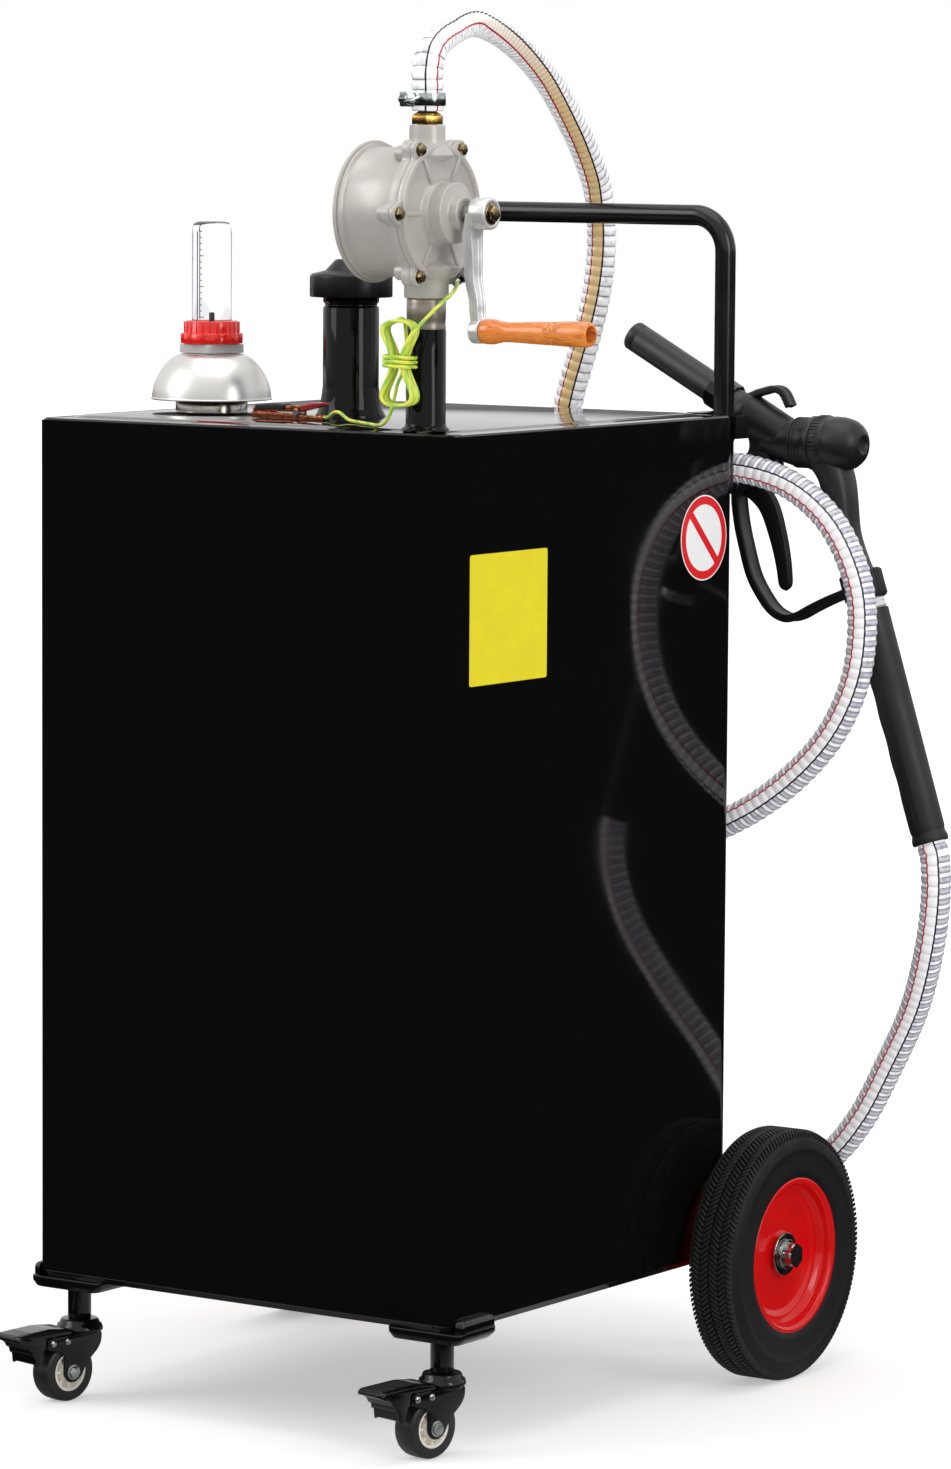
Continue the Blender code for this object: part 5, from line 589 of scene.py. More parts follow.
def polar(radius: float, step: float, steps: float) -> Pair:
    """The point so many steps round a circle."""
    turn = math.tau * step / steps
    return radius * math.cos(turn), radius * math.sin(turn)


def level(outline: Outline, z: float) -> list[Vector]:
    """An outline laid flat at a height."""
    return [Vector((x, y, z)) for x, y in outline]


def standing(outline: Outline, y: float) -> list[Vector]:
    """An outline stood up at a depth."""
    return [Vector((x, y, z)) for x, z in outline]


ALONG_X = turned(90, "Y")
AGAINST_X = turned(-90, "Y")
# Z runs out to the right, X to the back and Y up.
FACING_RIGHT = Matrix(((0, 0, 1, 0), (1, 0, 0, 0), (0, 1, 0, 0), (0, 0, 0, 1)))


def spin_faces(grid: list[list], shape: Shape, closed_round: bool = True, closed_along: bool = False) -> None:
    """Puts faces over a grid of points, rows along, places round.

    Args:
        grid: rows of vertices.
        shape: the shape that holds them.
        closed_round: whether each row closes on itself.
        closed_along: whether the last row joins the first.
    """
    rows = len(grid)
    places = len(grid[0])
    for row in range(rows if closed_along else rows - 1):
        here, there = grid[row], grid[(row + 1) % rows]
        for place in range(places if closed_round else places - 1):
            after = (place + 1) % places
            corners = [here[place], here[after], there[after], there[place]]
            unique = list(dict.fromkeys(corners))
            if len(unique) > 2:
                shape.faces.new(unique)


def lathe(profile: Outline, steps: int = 48, closed: bool = False) -> Shape:
    """Turns a profile of (radius, height) round the Z axis.

    Args:
        profile: the points, with the material on the left of the way up the outside.
        steps: the faces round.
        closed: whether the profile is a ring's section, closed on itself.

    Returns:
        The turned solid, closed at a radius of 0.
    """
    shape = bmesh.new()
    grid = []
    for radius, height in profile:
        if radius < 1e-6:
            tip = shape.verts.new((0, 0, height))
            grid.append([tip] * steps)
            continue
        grid.append([shape.verts.new((*polar(radius, step, steps), height)) for step in range(steps)])
    spin_faces(grid, shape, closed_along=closed)
    bmesh.ops.recalc_face_normals(shape, faces=shape.faces)
    return shape


def rounded(points: Outline, radius: float, steps: int = 4) -> list[Pair]:
    """Rounds each corner of an outline.

    Args:
        points: the corners, in order.
        radius: how far the round reaches at most.
        steps: points in each round.

    Returns:
        The outline's points.
    """
    out = []
    count = len(points)
    for place in range(count):
        corner = Vector(points[place])
        before = Vector(points[place - 1]) - corner
        after = Vector(points[(place + 1) % count]) - corner
        reach = min(radius, before.length * 0.45, after.length * 0.45)
        start = corner + before.normalized() * reach
        end = corner + after.normalized() * reach
        for step in range(steps + 1):
            share = step / steps
            point = start * (1 - share) ** 2 + corner * 2 * share * (1 - share) + end * share ** 2
            out.append((point.x, point.y))
    return out


def box_outline(width: float, depth: float, radius: float, steps: int = 5) -> list[Pair]:
    """A rounded rectangle round the origin."""
    across, deep = width / 2, depth / 2
    return rounded([(-across, -deep), (across, -deep), (across, deep), (-across, deep)], radius, steps)


def circle(radius: float, steps: int = 32, x: float = 0.0, y: float = 0.0) -> list[Pair]:
    """A round outline."""
    return [
        (x + across, y + along) for across, along in (polar(radius, step, steps) for step in range(steps))]


def prism(outline: Outline, low: float, high: float) -> Shape:
    """Draws an outline up between two heights, with closed ends."""
    return skin([level(outline, height) for height in (low, high)])


def skin(
        rows: Sequence[Line], capped: bool = True, closed: bool = False,
        lengths: Sequence[float] | None = None) -> Shape:
    """Skins rows of points into one solid, with a UV map of share round and length along.

    Args:
        rows: the sections, each with as many points.
        capped: whether both ends are closed.
        closed: whether the last row joins the first.
        lengths: the length along at each row, in millimetres, for the UV map.

    Returns:
        The solid.
    """
    shape = bmesh.new()
    uv = shape.loops.layers.uv.new("run")
    grid = [[shape.verts.new(point) for point in row] for row in rows]
    count = len(grid[0])
    for row in range(len(grid) if closed else len(grid) - 1):
        after_row = (row + 1) % len(grid)
        low = lengths[row] if lengths else float(row)
        high = lengths[row + 1] if lengths and row + 1 < len(grid) else low + 1
        for place in range(count):
            after = (place + 1) % count
            face = shape.faces.new(
                [grid[row][place], grid[row][after], grid[after_row][after], grid[after_row][place]])
            for loop, spot in zip(
                    face.loops, ((place, low), (place + 1, low), (place + 1, high), (place, high))):
                loop[uv].uv = (spot[0] / count, spot[1])
    if capped and not closed:
        for row in (grid[0], grid[-1]):
            shape.faces.new(row)
    bmesh.ops.recalc_face_normals(shape, faces=shape.faces)
    return shape


def smooth_line(points: Sequence[Sequence[float]], step: float) -> list[Vector]:
    """Draws an even line through points, by a centripetal spline.

    Args:
        points: what the line passes through.
        step: the distance between the points given back.

    Returns:
        The line's points.
    """
    knots = [Vector(point) for point in points]
    knots = [2 * knots[0] - knots[1], *knots, 2 * knots[-1] - knots[-2]]
    dense = []
    for place in range(1, len(knots) - 2):
        a, b, c, d = knots[place - 1:place + 3]
        count = max(4, int((c - b).length / 1.0))
        for part in range(count):
            t = part / count
            dense.append(
                0.5 * (2 * b + (c - a) * t + (2 * a - 5 * b + 4 * c - d) * t * t
                + (3 * b - a - 3 * c + d) * t ** 3))
    dense.append(knots[-2].copy())
    return spaced(dense, step)


def spaced(dense: Line, step: float) -> list[Vector]:
    """Spaces a line's points evenly.

    Args:
        dense: the line.
        step: about how far apart.

    Returns:
        The points, with both ends kept.
    """
    reach = [0.0]
    for before, after in zip(dense, dense[1:]):
        reach.append(reach[-1] + (after - before).length)
    count = max(2, round(reach[-1] / step))
    out, place = [], 0
    for part in range(count + 1):
        want = reach[-1] * part / count
        while place < len(dense) - 2 and reach[place + 1] < want:
            place += 1
        span = max(reach[place + 1] - reach[place], 1e-9)
        out.append(dense[place].lerp(dense[place + 1], min(1.0, max(0.0, (want - reach[place]) / span))))
    return out


def frames_along(points: Line, up: Vector) -> list[tuple[Vector, Vector, Vector]]:
    """Carries a side and an upright along a line without twist.

    Args:
        points: the line.
        up: the first upright.

    Returns:
        Way, side and upright at each point.
    """
    out = []
    upright = up
    for place in range(len(points)):
        way = (points[min(place + 1, len(points) - 1)] - points[max(place - 1, 0)]).normalized()
        upright = (upright - way * upright.dot(way)).normalized()
        out.append((way, way.cross(upright), upright))
    return out


def swept(
        points: Line, section: Outline, up: Vector = Vector((0, 0, 1)), scales: Sequence[float] | None = None,
        capped: bool = True) -> Shape:
    """Draws a section along a line.

    Args:
        points: the line.
        section: (side, upright) points.
        up: the first upright.
        scales: the section's scale at each point.
        capped: whether the ends are closed.

    Returns:
        The solid, with its length in the UV map.
    """
    rows, lengths, reach = [], [], 0.0
    for place, (_, side, upright) in enumerate(frames_along(points, up)):
        scale = scales[place] if scales else 1.0
        rows.append([points[place] + side * (a * scale) + upright * (b * scale) for a, b in section])
        lengths.append(reach)
        if place + 1 < len(points):
            reach += (points[place + 1] - points[place]).length
    return skin(rows, capped, lengths=lengths)


def grooved(quarter: Outline) -> list[Pair]:
    """A flat section that is the same in all four quarters, from the points of the last one."""
    low = [(x * side, -y) for side, way in ((-1, -1), (1, 1)) for x, y in quarter[::way]]
    return low + [(-x, -y) for x, y in low]


def tube_line(
        points: Line, radius: float, steps: int = 12, up: Vector = Vector((0, 0, 1)),
        scales: Sequence[float] | None = None) -> Shape:
    """A round rod along a line."""
    return swept(points, circle(radius, steps), up, scales)


def between(start: Vector, end: Vector) -> Matrix:
    """The place whose Z axis runs from one point towards another."""
    way = (end - start).normalized()
    return Matrix.Translation(start) @ way.to_track_quat("Z", "Y").to_matrix().to_4x4()


def hex_head(radius: float, low: float, high: float, chamfer: float = 0.8) -> Shape:
    """A hexagonal head with a turned chamfer and a shallow dish on top."""
    return skin(
        [level(circle(reach, 6), height) for reach, height in ((radius, low), (radius, high - chamfer),
        (radius * 0.9, high))])


def baked(body: bpy.types.Object) -> bpy.types.Mesh:
    """The mesh that an object's modifiers make of it."""
    graph = bpy.context.evaluated_depsgraph_get()
    graph.update()
    return bpy.data.meshes.new_from_object(body.evaluated_get(graph), depsgraph=graph)


# Geometry nodes.


def ring_of_copies(finish: Finish, name: str) -> Tree:
    """Makes the node tree that sets copies of the object's mesh on a ring round Z.

    Each copy stands at the radius, turned to face out, with its own size drawn
    from a fixed seed, so with some jitter no two are quite alike.

    Args:
        finish: the finish of every copy.
        name: the tree's name.

    Returns:
        The tree, with Count, Radius, Jitter and Seed as inputs.
    """
    tree = bpy.data.node_groups.new(name, "GeometryNodeTree")
    face = tree.interface
    face.new_socket("Geometry", in_out="INPUT", socket_type="NodeSocketGeometry")
    for label, kind, value in (
            ("Count", "Int", 12), ("Radius", "Float", 10.0), ("Jitter", "Float", 0.0), ("Seed", "Int", 7)):
        face.new_socket(label, in_out="INPUT", socket_type=f"NodeSocket{kind}").default_value = value
    face.new_socket("Geometry", in_out="OUTPUT", socket_type="NodeSocketGeometry")
    given = add_node(tree, "NodeGroupInput").outputs
    line = add_node(tree, "GeometryNodePoints", {"Count": given["Count"]})
    index = add_node(tree, "GeometryNodeInputIndex").outputs[0]
    angle = calc(tree, "DIVIDE", calc(tree, "MULTIPLY", index, math.tau), given["Count"])
    unit = add_node(
        tree, "ShaderNodeCombineXYZ", {"X": calc(tree, "COSINE", angle), "Y": calc(tree, "SINE", angle)})
    reach = add_node(
        tree, "ShaderNodeVectorMath", {0: unit.outputs[0], "Scale": given["Radius"]}, operation="SCALE")
    spots = add_node(
        tree, "GeometryNodeSetPosition", {"Geometry": line.outputs[0], "Position": reach.outputs[0]})
    own = add_node(tree, "FunctionNodeRandomValue", {"ID": index, "Seed": given["Seed"], 2: -1.0, 3: 1.0})
    size = calc(tree, "ADD", calc(tree, "MULTIPLY", own.outputs[1], given["Jitter"]), 1.0)
    heading = add_node(tree, "ShaderNodeCombineXYZ", {"Z": angle})
    copies = add_node(
        tree, "GeometryNodeInstanceOnPoints", {"Points": spots.outputs[0], "Instance": given["Geometry"],
        "Rotation": heading.outputs[0], "Scale": size})
    real = add_node(tree, "GeometryNodeRealizeInstances", {"Geometry": copies.outputs[0]})
    dressed = add_node(
        tree, "GeometryNodeSetMaterial", {"Geometry": real.outputs[0], "Material": finish.material()})
    add_node(tree, "NodeGroupOutput", {0: dressed.outputs[0]})
    return tree


def ring_copies(
        part: Shape, finish: Finish, count: int, radius: float, jitter: float = 0.0, seed: int = 7) -> Shape:
    """Sets copies of a shape on a ring round Z, through the node tree.

    Args:
        part: one copy, drawn as it stands at the ring's middle, facing +X.
        finish: the copies' finish.
        count: how many.
        radius: the ring's radius.
        jitter: how much the copies' sizes differ, as a share.
        seed: what the differences are drawn from.

    Returns:
        All the copies as one shape.
    """
    body = linked("part", meshed("part", part))
    change = body.modifiers.new("ring", "NODES")
    change.node_group = ring_of_copies(finish, f"ring_of_{finish.name}")
    values = {"Count": count, "Radius": radius, "Jitter": jitter, "Seed": seed}
    for item in change.node_group.interface.items_tree:
        if item.in_out == "INPUT" and item.name in values:
            change[item.identifier] = values[item.name]
    made = baked(body)
    shape = bmesh.new()
    shape.from_mesh(made)
    for face in shape.faces:
        face.material_index = 0
    for used in (body.data, made):
        bpy.data.meshes.remove(used)
    return shape


# The workshop.


class Workshop:
    """Turns shapes in millimetres into finished pieces that ride on the bodies."""

    def __init__(self) -> None:
        """Reads the frame and the shift from the tank's own frame to the row's."""
        self.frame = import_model()
        low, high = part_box("tank_wrap")
        middle = (Vector(low) + Vector(high)) / 2
        self.shift = Vector((middle.x, middle.y, 0))
        self.place = Matrix.Translation(self.shift) @ Matrix.Scale(MM, 4)
        self.count = 0

    def world(self, point: Sequence[float]) -> Vector:
        """A point of the tank's frame, in metres of the row's frame."""
        return self.place @ Vector(point)

    def piece(
            self, name: str, part: Shape, finish: Finish, nodes: str = "",
            body: str = Body.CHASSIS, bevel: float = 0.0, bevel_steps: int = 2,
            sharp: float = 32.0) -> bpy.types.Object:
        """Makes one finished piece.

        Args:
            name: the object's name.
            part: its shape in millimetres; it is used up.
            finish: its finish.
            nodes: the CAD nodes that it stands in for, with spaces between.
            body: the body it rides on.
            bevel: the width of its softened edges, in millimetres.
            bevel_steps: the steps in each of them.
            sharp: the angle over which an edge stays sharp.

        Returns:
            The object.
        """
        part.transform(self.place)
        made = linked(name, meshed(name, part))
        if bevel:
            soft = made.modifiers.new("soft edges", "BEVEL")
            soft.width = bevel * MM
            soft.segments = bevel_steps
            soft.limit_method = "ANGLE"
            soft.angle_limit = math.radians(sharp)
            first, final = made.data, baked(made)
            made.modifiers.clear()
            made.data = final
            bpy.data.meshes.remove(first)
        made.data.name = name
        made.data.materials.clear()
        made.data.materials.append(finish.material())
        made.data.shade_smooth()
        made.data.set_sharp_from_angle(angle=math.radians(sharp))
        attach(made, body)
        if nodes:
            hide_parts(*nodes.split())
        self.count += 1
        LOG.info("piece %s: %d faces on %s", name, len(made.data.polygons), body)
        return made


# Tank.


@dataclass(frozen=True)
class Tank:
    """The folded steel tank with its pans, standpipe and stickers."""

    width: float = 410.0
    depth: float = 405.0
    low: float = 107.3
    high: float = 800.2
    wall: float = 1.5
    fold: float = 12.0
    pipe: Triple = (160.0, -180.0, 881.7)
    # Two corners of the label, then the sign's middle and radius, on the right side.
    label: tuple[Pair, Pair] = ((-184, 607), (-76, 709))
    sign: Triple = (155.0, 704.0, 35.0)

    def shell(self) -> Shape:
        """The four sided sleeve, hollow, with folded upright edges."""
        outer, inner = (
            box_outline(self.width - 2 * wall, self.depth - 2 * wall, self.fold - wall, 10)
            for wall in (0, self.wall))
        rows = [
            level(outline, height) for outline, height in ((outer, self.low), (outer, self.high),
            (inner, self.high), (inner, self.low))]
        shape = bmesh.new()
        grid = [[shape.verts.new(point) for point in row] for row in rows]
        spin_faces(grid, shape, closed_along=True)
        bmesh.ops.recalc_face_normals(shape, faces=shape.faces)
        return shape

    def pan(self) -> Shape:
        """The pressed top: a sheet with a folded rim, a slope and a raised panel, hollow underneath."""
        steps = (
            (6.6, 10.5, 800.2), (6.6, 10.5, 776.0), (3.2, 12, 776.0), (3.2, 12, 799.2), (2.2, 11.5, 800.6),
            (5.0, 11, 802.0), (26, 14, 802.0), (33, 17, 802.5), (40, 20, 803.6), (44, 21, 804.0))
        return skin(
            [level(box_outline(self.width - inset, self.depth - inset, radius, 8), height) for inset, radius,
            height in steps])

    def bottom(self) -> Shape:
        """The bottom pan, hung inside the sleeve."""
        return skin(
            [level(box_outline(self.width - inset, self.depth - inset, self.fold, 8), height) for inset,
            height in ((3.2, 122.0), (3.2, 108.5), (2.4, 106.6), (6.0, 102.0), (40, 102.0))])

    def build(self, shop: Workshop) -> None:
        """Makes the tank's pieces."""
        shop.piece("tank_sleeve", self.shell(), Finishes.POWDER_COAT, "tank_wrap")
        x, y, high = self.pipe
        pipe = lathe((
            (0, 803.5), (19.5, 803.5), (18.2, 805.2), (16.6, 806.4), (15.9, 807.6), (15.5, 809.5),
            (15.5, high - 0.6), (14.9, high), (12.4, high), (12.4, 806), (0, 806)), 64)
        shop.piece("tank_top_pan", self.pan(), Finishes.POWDER_COAT, "tank_top", sharp=40)
        shop.piece("tank_standpipe", moved(pipe, at(x, y, 0)), Finishes.SHADED_PIPE_COAT, sharp=50)
        shop.piece("tank_bottom_pan", self.bottom(), Finishes.POWDER_COAT, "tank_bottom")
        self.stickers(shop)

    def stickers(self, shop: Workshop) -> None:
        """The plain yellow label and the round prohibition sign, both bare of print."""
        stand = at(self.width / 2, 0, 0) @ FACING_RIGHT
        (left, low), (right, high) = self.label
        label = prism(rounded([(left, low), (right, low), (right, high), (left, high)], 2.5), -0.2, 0.16)
        shop.piece("label_yellow", moved(label, stand), Finishes.LABEL_YELLOW)
        across, up, reach = self.sign
        middle = at(across, up, 0)
        disc = prism(circle(reach, 72, across, up), -0.2, 0.12)
        shop.piece("sign_white", moved(disc, stand), Finishes.LABEL_WHITE)
        inner, outer, half = reach * 0.78, reach * 0.97, reach * 0.82
        ring = lathe(((inner, 0.0), (outer, 0.0), (outer, 0.2), (inner, 0.2)), 72, True)
        bar = prism([(-half, -3.4), (half, -3.4), (half, 3.4), (-half, 3.4)], 0.0, 0.19)
        sign = merge(moved(ring, middle), moved(bar, middle @ turned(-45, "Z")))
        shop.piece("sign_red", moved(sign, stand), Finishes.LABEL_RED)


@dataclass(frozen=True)
class Filler:
    """The filler neck with its rolled bead, and the turned down cap."""

    x: float = 0.0
    y: float = -55.0
    radius: float = 22.5
    wall: float = 2.5
    top: float = 914.0

    def build(self, shop: Workshop) -> None:
        """Makes the neck and the cap."""
        r, inner = self.radius, self.radius - self.wall
        neck = lathe((
            (inner, 780), (r, 780), (r, 803.8), (28.4, 803.8), (28.2, 805.4), (27.2, 807.2), (25.4, 811),
            (24.3, 816.5), (23.2, 823.5), (r, 829), (r, 891.2), (r - 0.5, 892.4), (r - 1.5, 893.4),
            (r - 1.5, 894.8), (r - 0.5, 896), (r, 897), (r, 913.4), (r - 0.8, self.top),
            (inner + 0.6, self.top), (inner, 913.2)), 96, True)
        shop.piece(
            "filler_neck_pipe", moved(neck, at(self.x, self.y, 0)), Finishes.SHADED_PIPE_COAT, "filler_neck",
            sharp=60)
        cap = lathe((
            (22.95, 900.2), (32.6, 900.2), (33.3, 900.9), (33.3, 915.8), (33.0, 917.4), (31.6, 918.8),
            (20.9, 921.4), (20.2, 922.2), (13.2, 929.6), (11.8, 930.4), (0.0, 930.5), (0, 924), (12, 919),
            (22.95, 914.8)), 128)
        shop.piece(
            "cap", moved(cap, at(self.x, self.y, 0)), Finishes.CAP_PLASTIC, "filler_cap",
            Body.CAP, bevel=0.4, sharp=25)


# Level gauge.


@dataclass(frozen=True)
class Gauge:
    """The level gauge: bung, spun dome, flange, red ring, clear tube and indicator."""

    x: float = -147.0
    y: float = -45.0
    floor: float = 802.0
    turn: float = -12.0
    # The hood: its flat top's radius, the round's width and height, and the rim's height.
    flat: float = 23.0
    round: Pair = (26.0, 36.0)
    rim: float = 12.5
    squareness: float = 1.7
    scale_heading: float = -79.0

    def stand(self) -> Matrix:
        """The gauge's own place."""
        return at(self.x, self.y, self.floor) @ turned(self.turn, "Z")

    def dome(self) -> Shape:
        """The spun hood: a rolled rim, a full round and a flat with a hole."""
        bow = 2 / self.squareness
        wide, high = self.round
        outside = []
        for step in range(19):
            turn = step / 18 * math.pi / 2
            reach = self.flat + wide * math.cos(turn) ** bow
            outside.append((reach, self.rim + high * math.sin(turn) ** bow))
        inside = [(max(radius - 1.1, 15.0), height - 0.9) for radius, height in reversed(outside)]
        profile = [
            (47.6, 11.4), (48.6, 10.7), (49.6, 10.9), (49.8, 11.7), (49.1, 12.4), (49.0, 13.2), *outside[2:],
            (15.2, 48.6), (15.2, 47.6), *inside[:-2], (47.8, 13.0)]
        return lathe(profile, 96, True)

    def ring(self) -> Shape:
        """The red ring nut: a lower tier with twelve grip lugs and an upper tier with fine ribs."""
        inner = 16.35
        body = lathe((
            (inner, 56.7), (23.6, 56.7), (24.2, 57.3), (24.2, 64.4), (23.7, 65.1), (22.6, 65.2), (22.4, 65.8),
            (22.4, 74.3), (21.8, 75.1), (18.2, 75.1), (17.6, 74.5), (inner, 74.5)), 96, True)
        lug = prism(rounded([(-1.4, -2.6), (1.7, -2.0), (1.7, 2.0), (-1.4, 2.6)], 0.9, 3), 56.9, 64.9)
        lugs = ring_copies(lug, Finishes.RED_PLASTIC, 12, 23.9)
        rib = prism(rounded([(-1.0, -0.9), (0.75, -0.5), (0.75, 0.5), (-1.0, 0.9)], 0.3, 2), 65.4, 74.4)
        ribs = ring_copies(rib, Finishes.RED_PLASTIC, 24, 22.2)
        return merge(body, lugs, ribs)

    def build(self, shop: Workshop) -> None:
        """Makes the gauge's pieces."""
        stand = self.stand()
        bung = lathe((
            (20.0, 0.3), (29.5, 0.3), (29.5, 10.2), (28.9, 11.4), (25.2, 13.6), (22.6, 14.1), (21.2, 14.9),
            (21.0, 16.2), (21.0, 45.3), (20.2, 45.5), (17.6, 45.5), (17.6, 1.0)), 96, True)
        shop.piece("gauge_bung_turned", moved(bung, stand), Finishes.TURNED_STEEL, "gauge_bung", sharp=50)
        shop.piece(
            "gauge_hood", moved(self.dome(), stand), Finishes.SPUN_ALUMINIUM, "gauge_dome",
            sharp=50)
        plate = prism(box_outline(38, 38, 2.2, 4), 49.0, 56.2)
        shop.piece(
            "gauge_plate_body", moved(plate, stand), Finishes.GAUGE_PLATE, "gauge_flange",
            bevel=0.5)
        shop.piece(
            "gauge_ring_nut", moved(self.ring(), stand), Finishes.RED_PLASTIC, "gauge_ring",
            bevel=0.3, sharp=40)
        self.sight(shop, stand)

    def sight(self, shop: Workshop, stand: Matrix) -> None:
        """The clear tube with its printed scale, and the indicator rod in it."""
        tube = lathe((
            (14.2, 56.8), (16.2, 56.8), (19.4, 56.9), (19.4, 58.6), (16.2, 58.8), (16.2, 150.2),
            (15.7, 153.0), (14.2, 155.2), (11.6, 156.0), (0.0, 156.0), (0.0, 154.0), (11.0, 154.0),
            (13.2, 153.2), (14.0, 151.0), (14.2, 148.0)), 96, False)
        shop.piece(
            "gauge_sight_tube", moved(tube, stand), Finishes.CLEAR_TUBE, "gauge_tube",
            sharp=55)
        base = stand @ turned(self.scale_heading, "Z") @ at(16.26, 0, 0)
        marks = [moved(prism([(-0.06, -0.55), (0.06, -0.55), (0.06, 0.55), (-0.06, 0.55)], 77, 150), base)]
        for step in range(15):
            reach = 4.2 if step % 5 == 0 else 2.4
            tick = prism([(-0.06, -0.2), (0.06, -0.2), (0.06, reach), (-0.06, reach)], 0, 0.8)
            marks.append(moved(tick, base @ at(0, 0, 78 + step * 5)))
        shop.piece("gauge_scale", merge(*marks), Finishes.PRINT_INK)
        rod = lathe(((0, -20), (1.7, -20), (1.7, 81.4), (1.2, 82), (0, 82)), 24)
        shop.piece(
            "gauge_pointer", moved(rod, stand), Finishes.INDICATOR, "gauge_indicator",
            Body.INDICATOR, sharp=50)


# Pump and crank.


@dataclass(frozen=True)
class Pump:
    """The cast vane pump: drum, lobed mouth, cover with bolts, bosses and nipple."""

    x: float = 160.0
    y: float = -180.0
    axis: float = 971.5
    back: float = 109.0
    mouth: float = 160.0
    front: float = 168.0
    radius: float = 50.0
    cover: float = 53.0
    lobe: float = 7.5
    lobe_circle: float = 56.0

    def stand(self) -> Matrix:
        """The pump's own place: Z runs out along the shaft, X towards the handle, Y up."""
        return at(0, self.y, self.axis) @ FACING_RIGHT

    def outline(self, extra: float = 0.0, steps: int = 240) -> list[Pair]:
        """The lobed outline of mouth and cover, with softened inner corners."""
        reaches = []
        for step in range(steps):
            off = (step / steps * 360 + 30) % 60 - 30
            side = self.lobe_circle * math.sin(math.radians(off))
            reach = self.cover + extra
            lobe = self.lobe + extra
            if abs(side) < lobe:
                reach = max(
                    reach, self.lobe_circle * math.cos(math.radians(off)) + math.sqrt(lobe ** 2 - side ** 2))
            reaches.append(reach)
        soft = reaches
        for _ in range(2):
            soft = [
                (soft[place - 1] + 2 * soft[place] + soft[(place + 1) % steps]) / 4 for place in range(steps)]
        return [polar(reach, step, steps) for step, reach in enumerate(soft)]

    def drum(self) -> Shape:
        """The drum with its two back rings and the boss behind each bolt."""
        r = self.radius
        profile = (
            (0, self.back), (53.6, self.back), (55, self.back + 0.8), (55, self.back + 2.6),
            (54.2, self.back + 3.0), (52.6, self.back + 3.1), (52.4, self.back + 4.0),
            (53.4, self.back + 4.3), (53.6, self.back + 5.6), (52.6, self.back + 6.4),
            (r + 0.6, self.back + 7.4), (r, self.back + 9), (r, self.mouth - 2), (r + 1.2, self.mouth + 0.4),
            (r + 1.2, self.front - 0.5), (0, self.front - 0.5))
        drum = lathe(profile, 128)
        flange = prism(self.outline(), self.mouth, self.front)
        knuckle = []
        for step in range(13):
            share = step / 12
            reach = 6.6 * min(1.0, math.sin(min(1.0, share * 3.2) * math.pi / 2) + 0.02)
            knuckle.append(level(circle(reach, 20, -3.5), self.mouth + 1 - 13 * (1 - share)))
        knuckles = ring_copies(skin(knuckle), Finishes.CAST_GREY, 6, self.lobe_circle - 0.5, 0.02, 5)
        return merge(drum, flange, knuckles)

    def bosses(self) -> Shape:
        """The outlet boss above and the wider inlet boss below, with cast fillets."""
        up = lathe((
            (0, 30), (21, 44), (18.2, 48.5), (15.4, 51), (14.3, 54), (13.9, 58), (13.9, 66.6), (13.2, 67.4),
            (0, 67.4)), 64)
        down = lathe((
            (0, -65.8), (16.4, -65.8), (17.3, -64.9), (17.3, -56), (17.9, -52.5), (19.6, -50), (23.5, -46.5),
            (26, -42), (0, -30)), 64)
        return merge(moved(up, at(self.x, self.y, self.axis)), moved(down, at(self.x, self.y, self.axis)))

    def face(self) -> Shape:
        """The cover: lobed plate, rim, recess with six ribs, hub, step and nose."""
        base = self.front + 0.3
        plate = prism(self.outline(), base, 172.3)
        rings = lathe((
            (0, base + 0.5), (52.6, base + 0.5), (52.6, 174.0), (51.9, 174.8), (48.4, 174.8), (47.5, 174.1),
            (46.6, 172.7), (27.4, 172.7), (25.6, 174.3), (25.0, 175.8), (24.6, 176.3), (24.2, 176.6),
            (23.6, 177.4), (23.5, 187.6), (22.8, 188.3), (14.2, 188.6), (13.2, 189.2), (13.0, 190.0),
            (13.0, 195.5), (12.2, 196.3), (9.2, 196.3), (9.0, 195.6), (0, 195.6)), 128)
        rib = prism(rounded([(-12.2, -1.8), (12.2, -1.8), (12.2, 1.8), (-12.2, 1.8)], 1.2, 3), 172.0, 174.5)
        ribs = ring_copies(rib, Finishes.CAST_GREY, 6, 36.6)
        pads = ring_copies(
            lathe(((0, 172), (6.3, 172), (6.3, 172.6), (5.9, 172.8), (0, 172.8)), 24), Finishes.CAST_GREY, 6,
            self.lobe_circle)
        return merge(plate, rings, ribs, pads)

    def bolts(self) -> Shape:
        """Five hex bolts on washers round the cover; the earth bolt stands apart."""
        heads = []
        for number in range(6):
            if number == 4:
                continue
            place = turned(180 - 60 * number, "Z") @ at(self.lobe_circle, 0, 0)
            washer = lathe(((0, 172.6), (5.5, 172.6), (5.5, 173.2), (0, 173.2)), 24)
            dish = lathe(((0, 176.1), (2.9, 176.1), (2.7, 176.4), (0, 176.2)), 16)
            head = merge(washer, hex_head(4.8, 173.2, 176.2, 0.6), dish)
            heads.append(moved(head, place @ turned(7 + 23 * number, "Z")))
        return merge(*heads)

    def earth_bolt(self) -> Shape:
        """The bolt that holds the earth lead's ring terminal."""
        place = turned(-60, "Z") @ at(self.lobe_circle, 0, 0)
        return moved(
            merge(lathe(((0, 171), (2.6, 171), (2.6, 177), (0, 177)), 20), hex_head(4.8, 176.4, 179.9, 0.6)),
            place @ turned(14, "Z"))

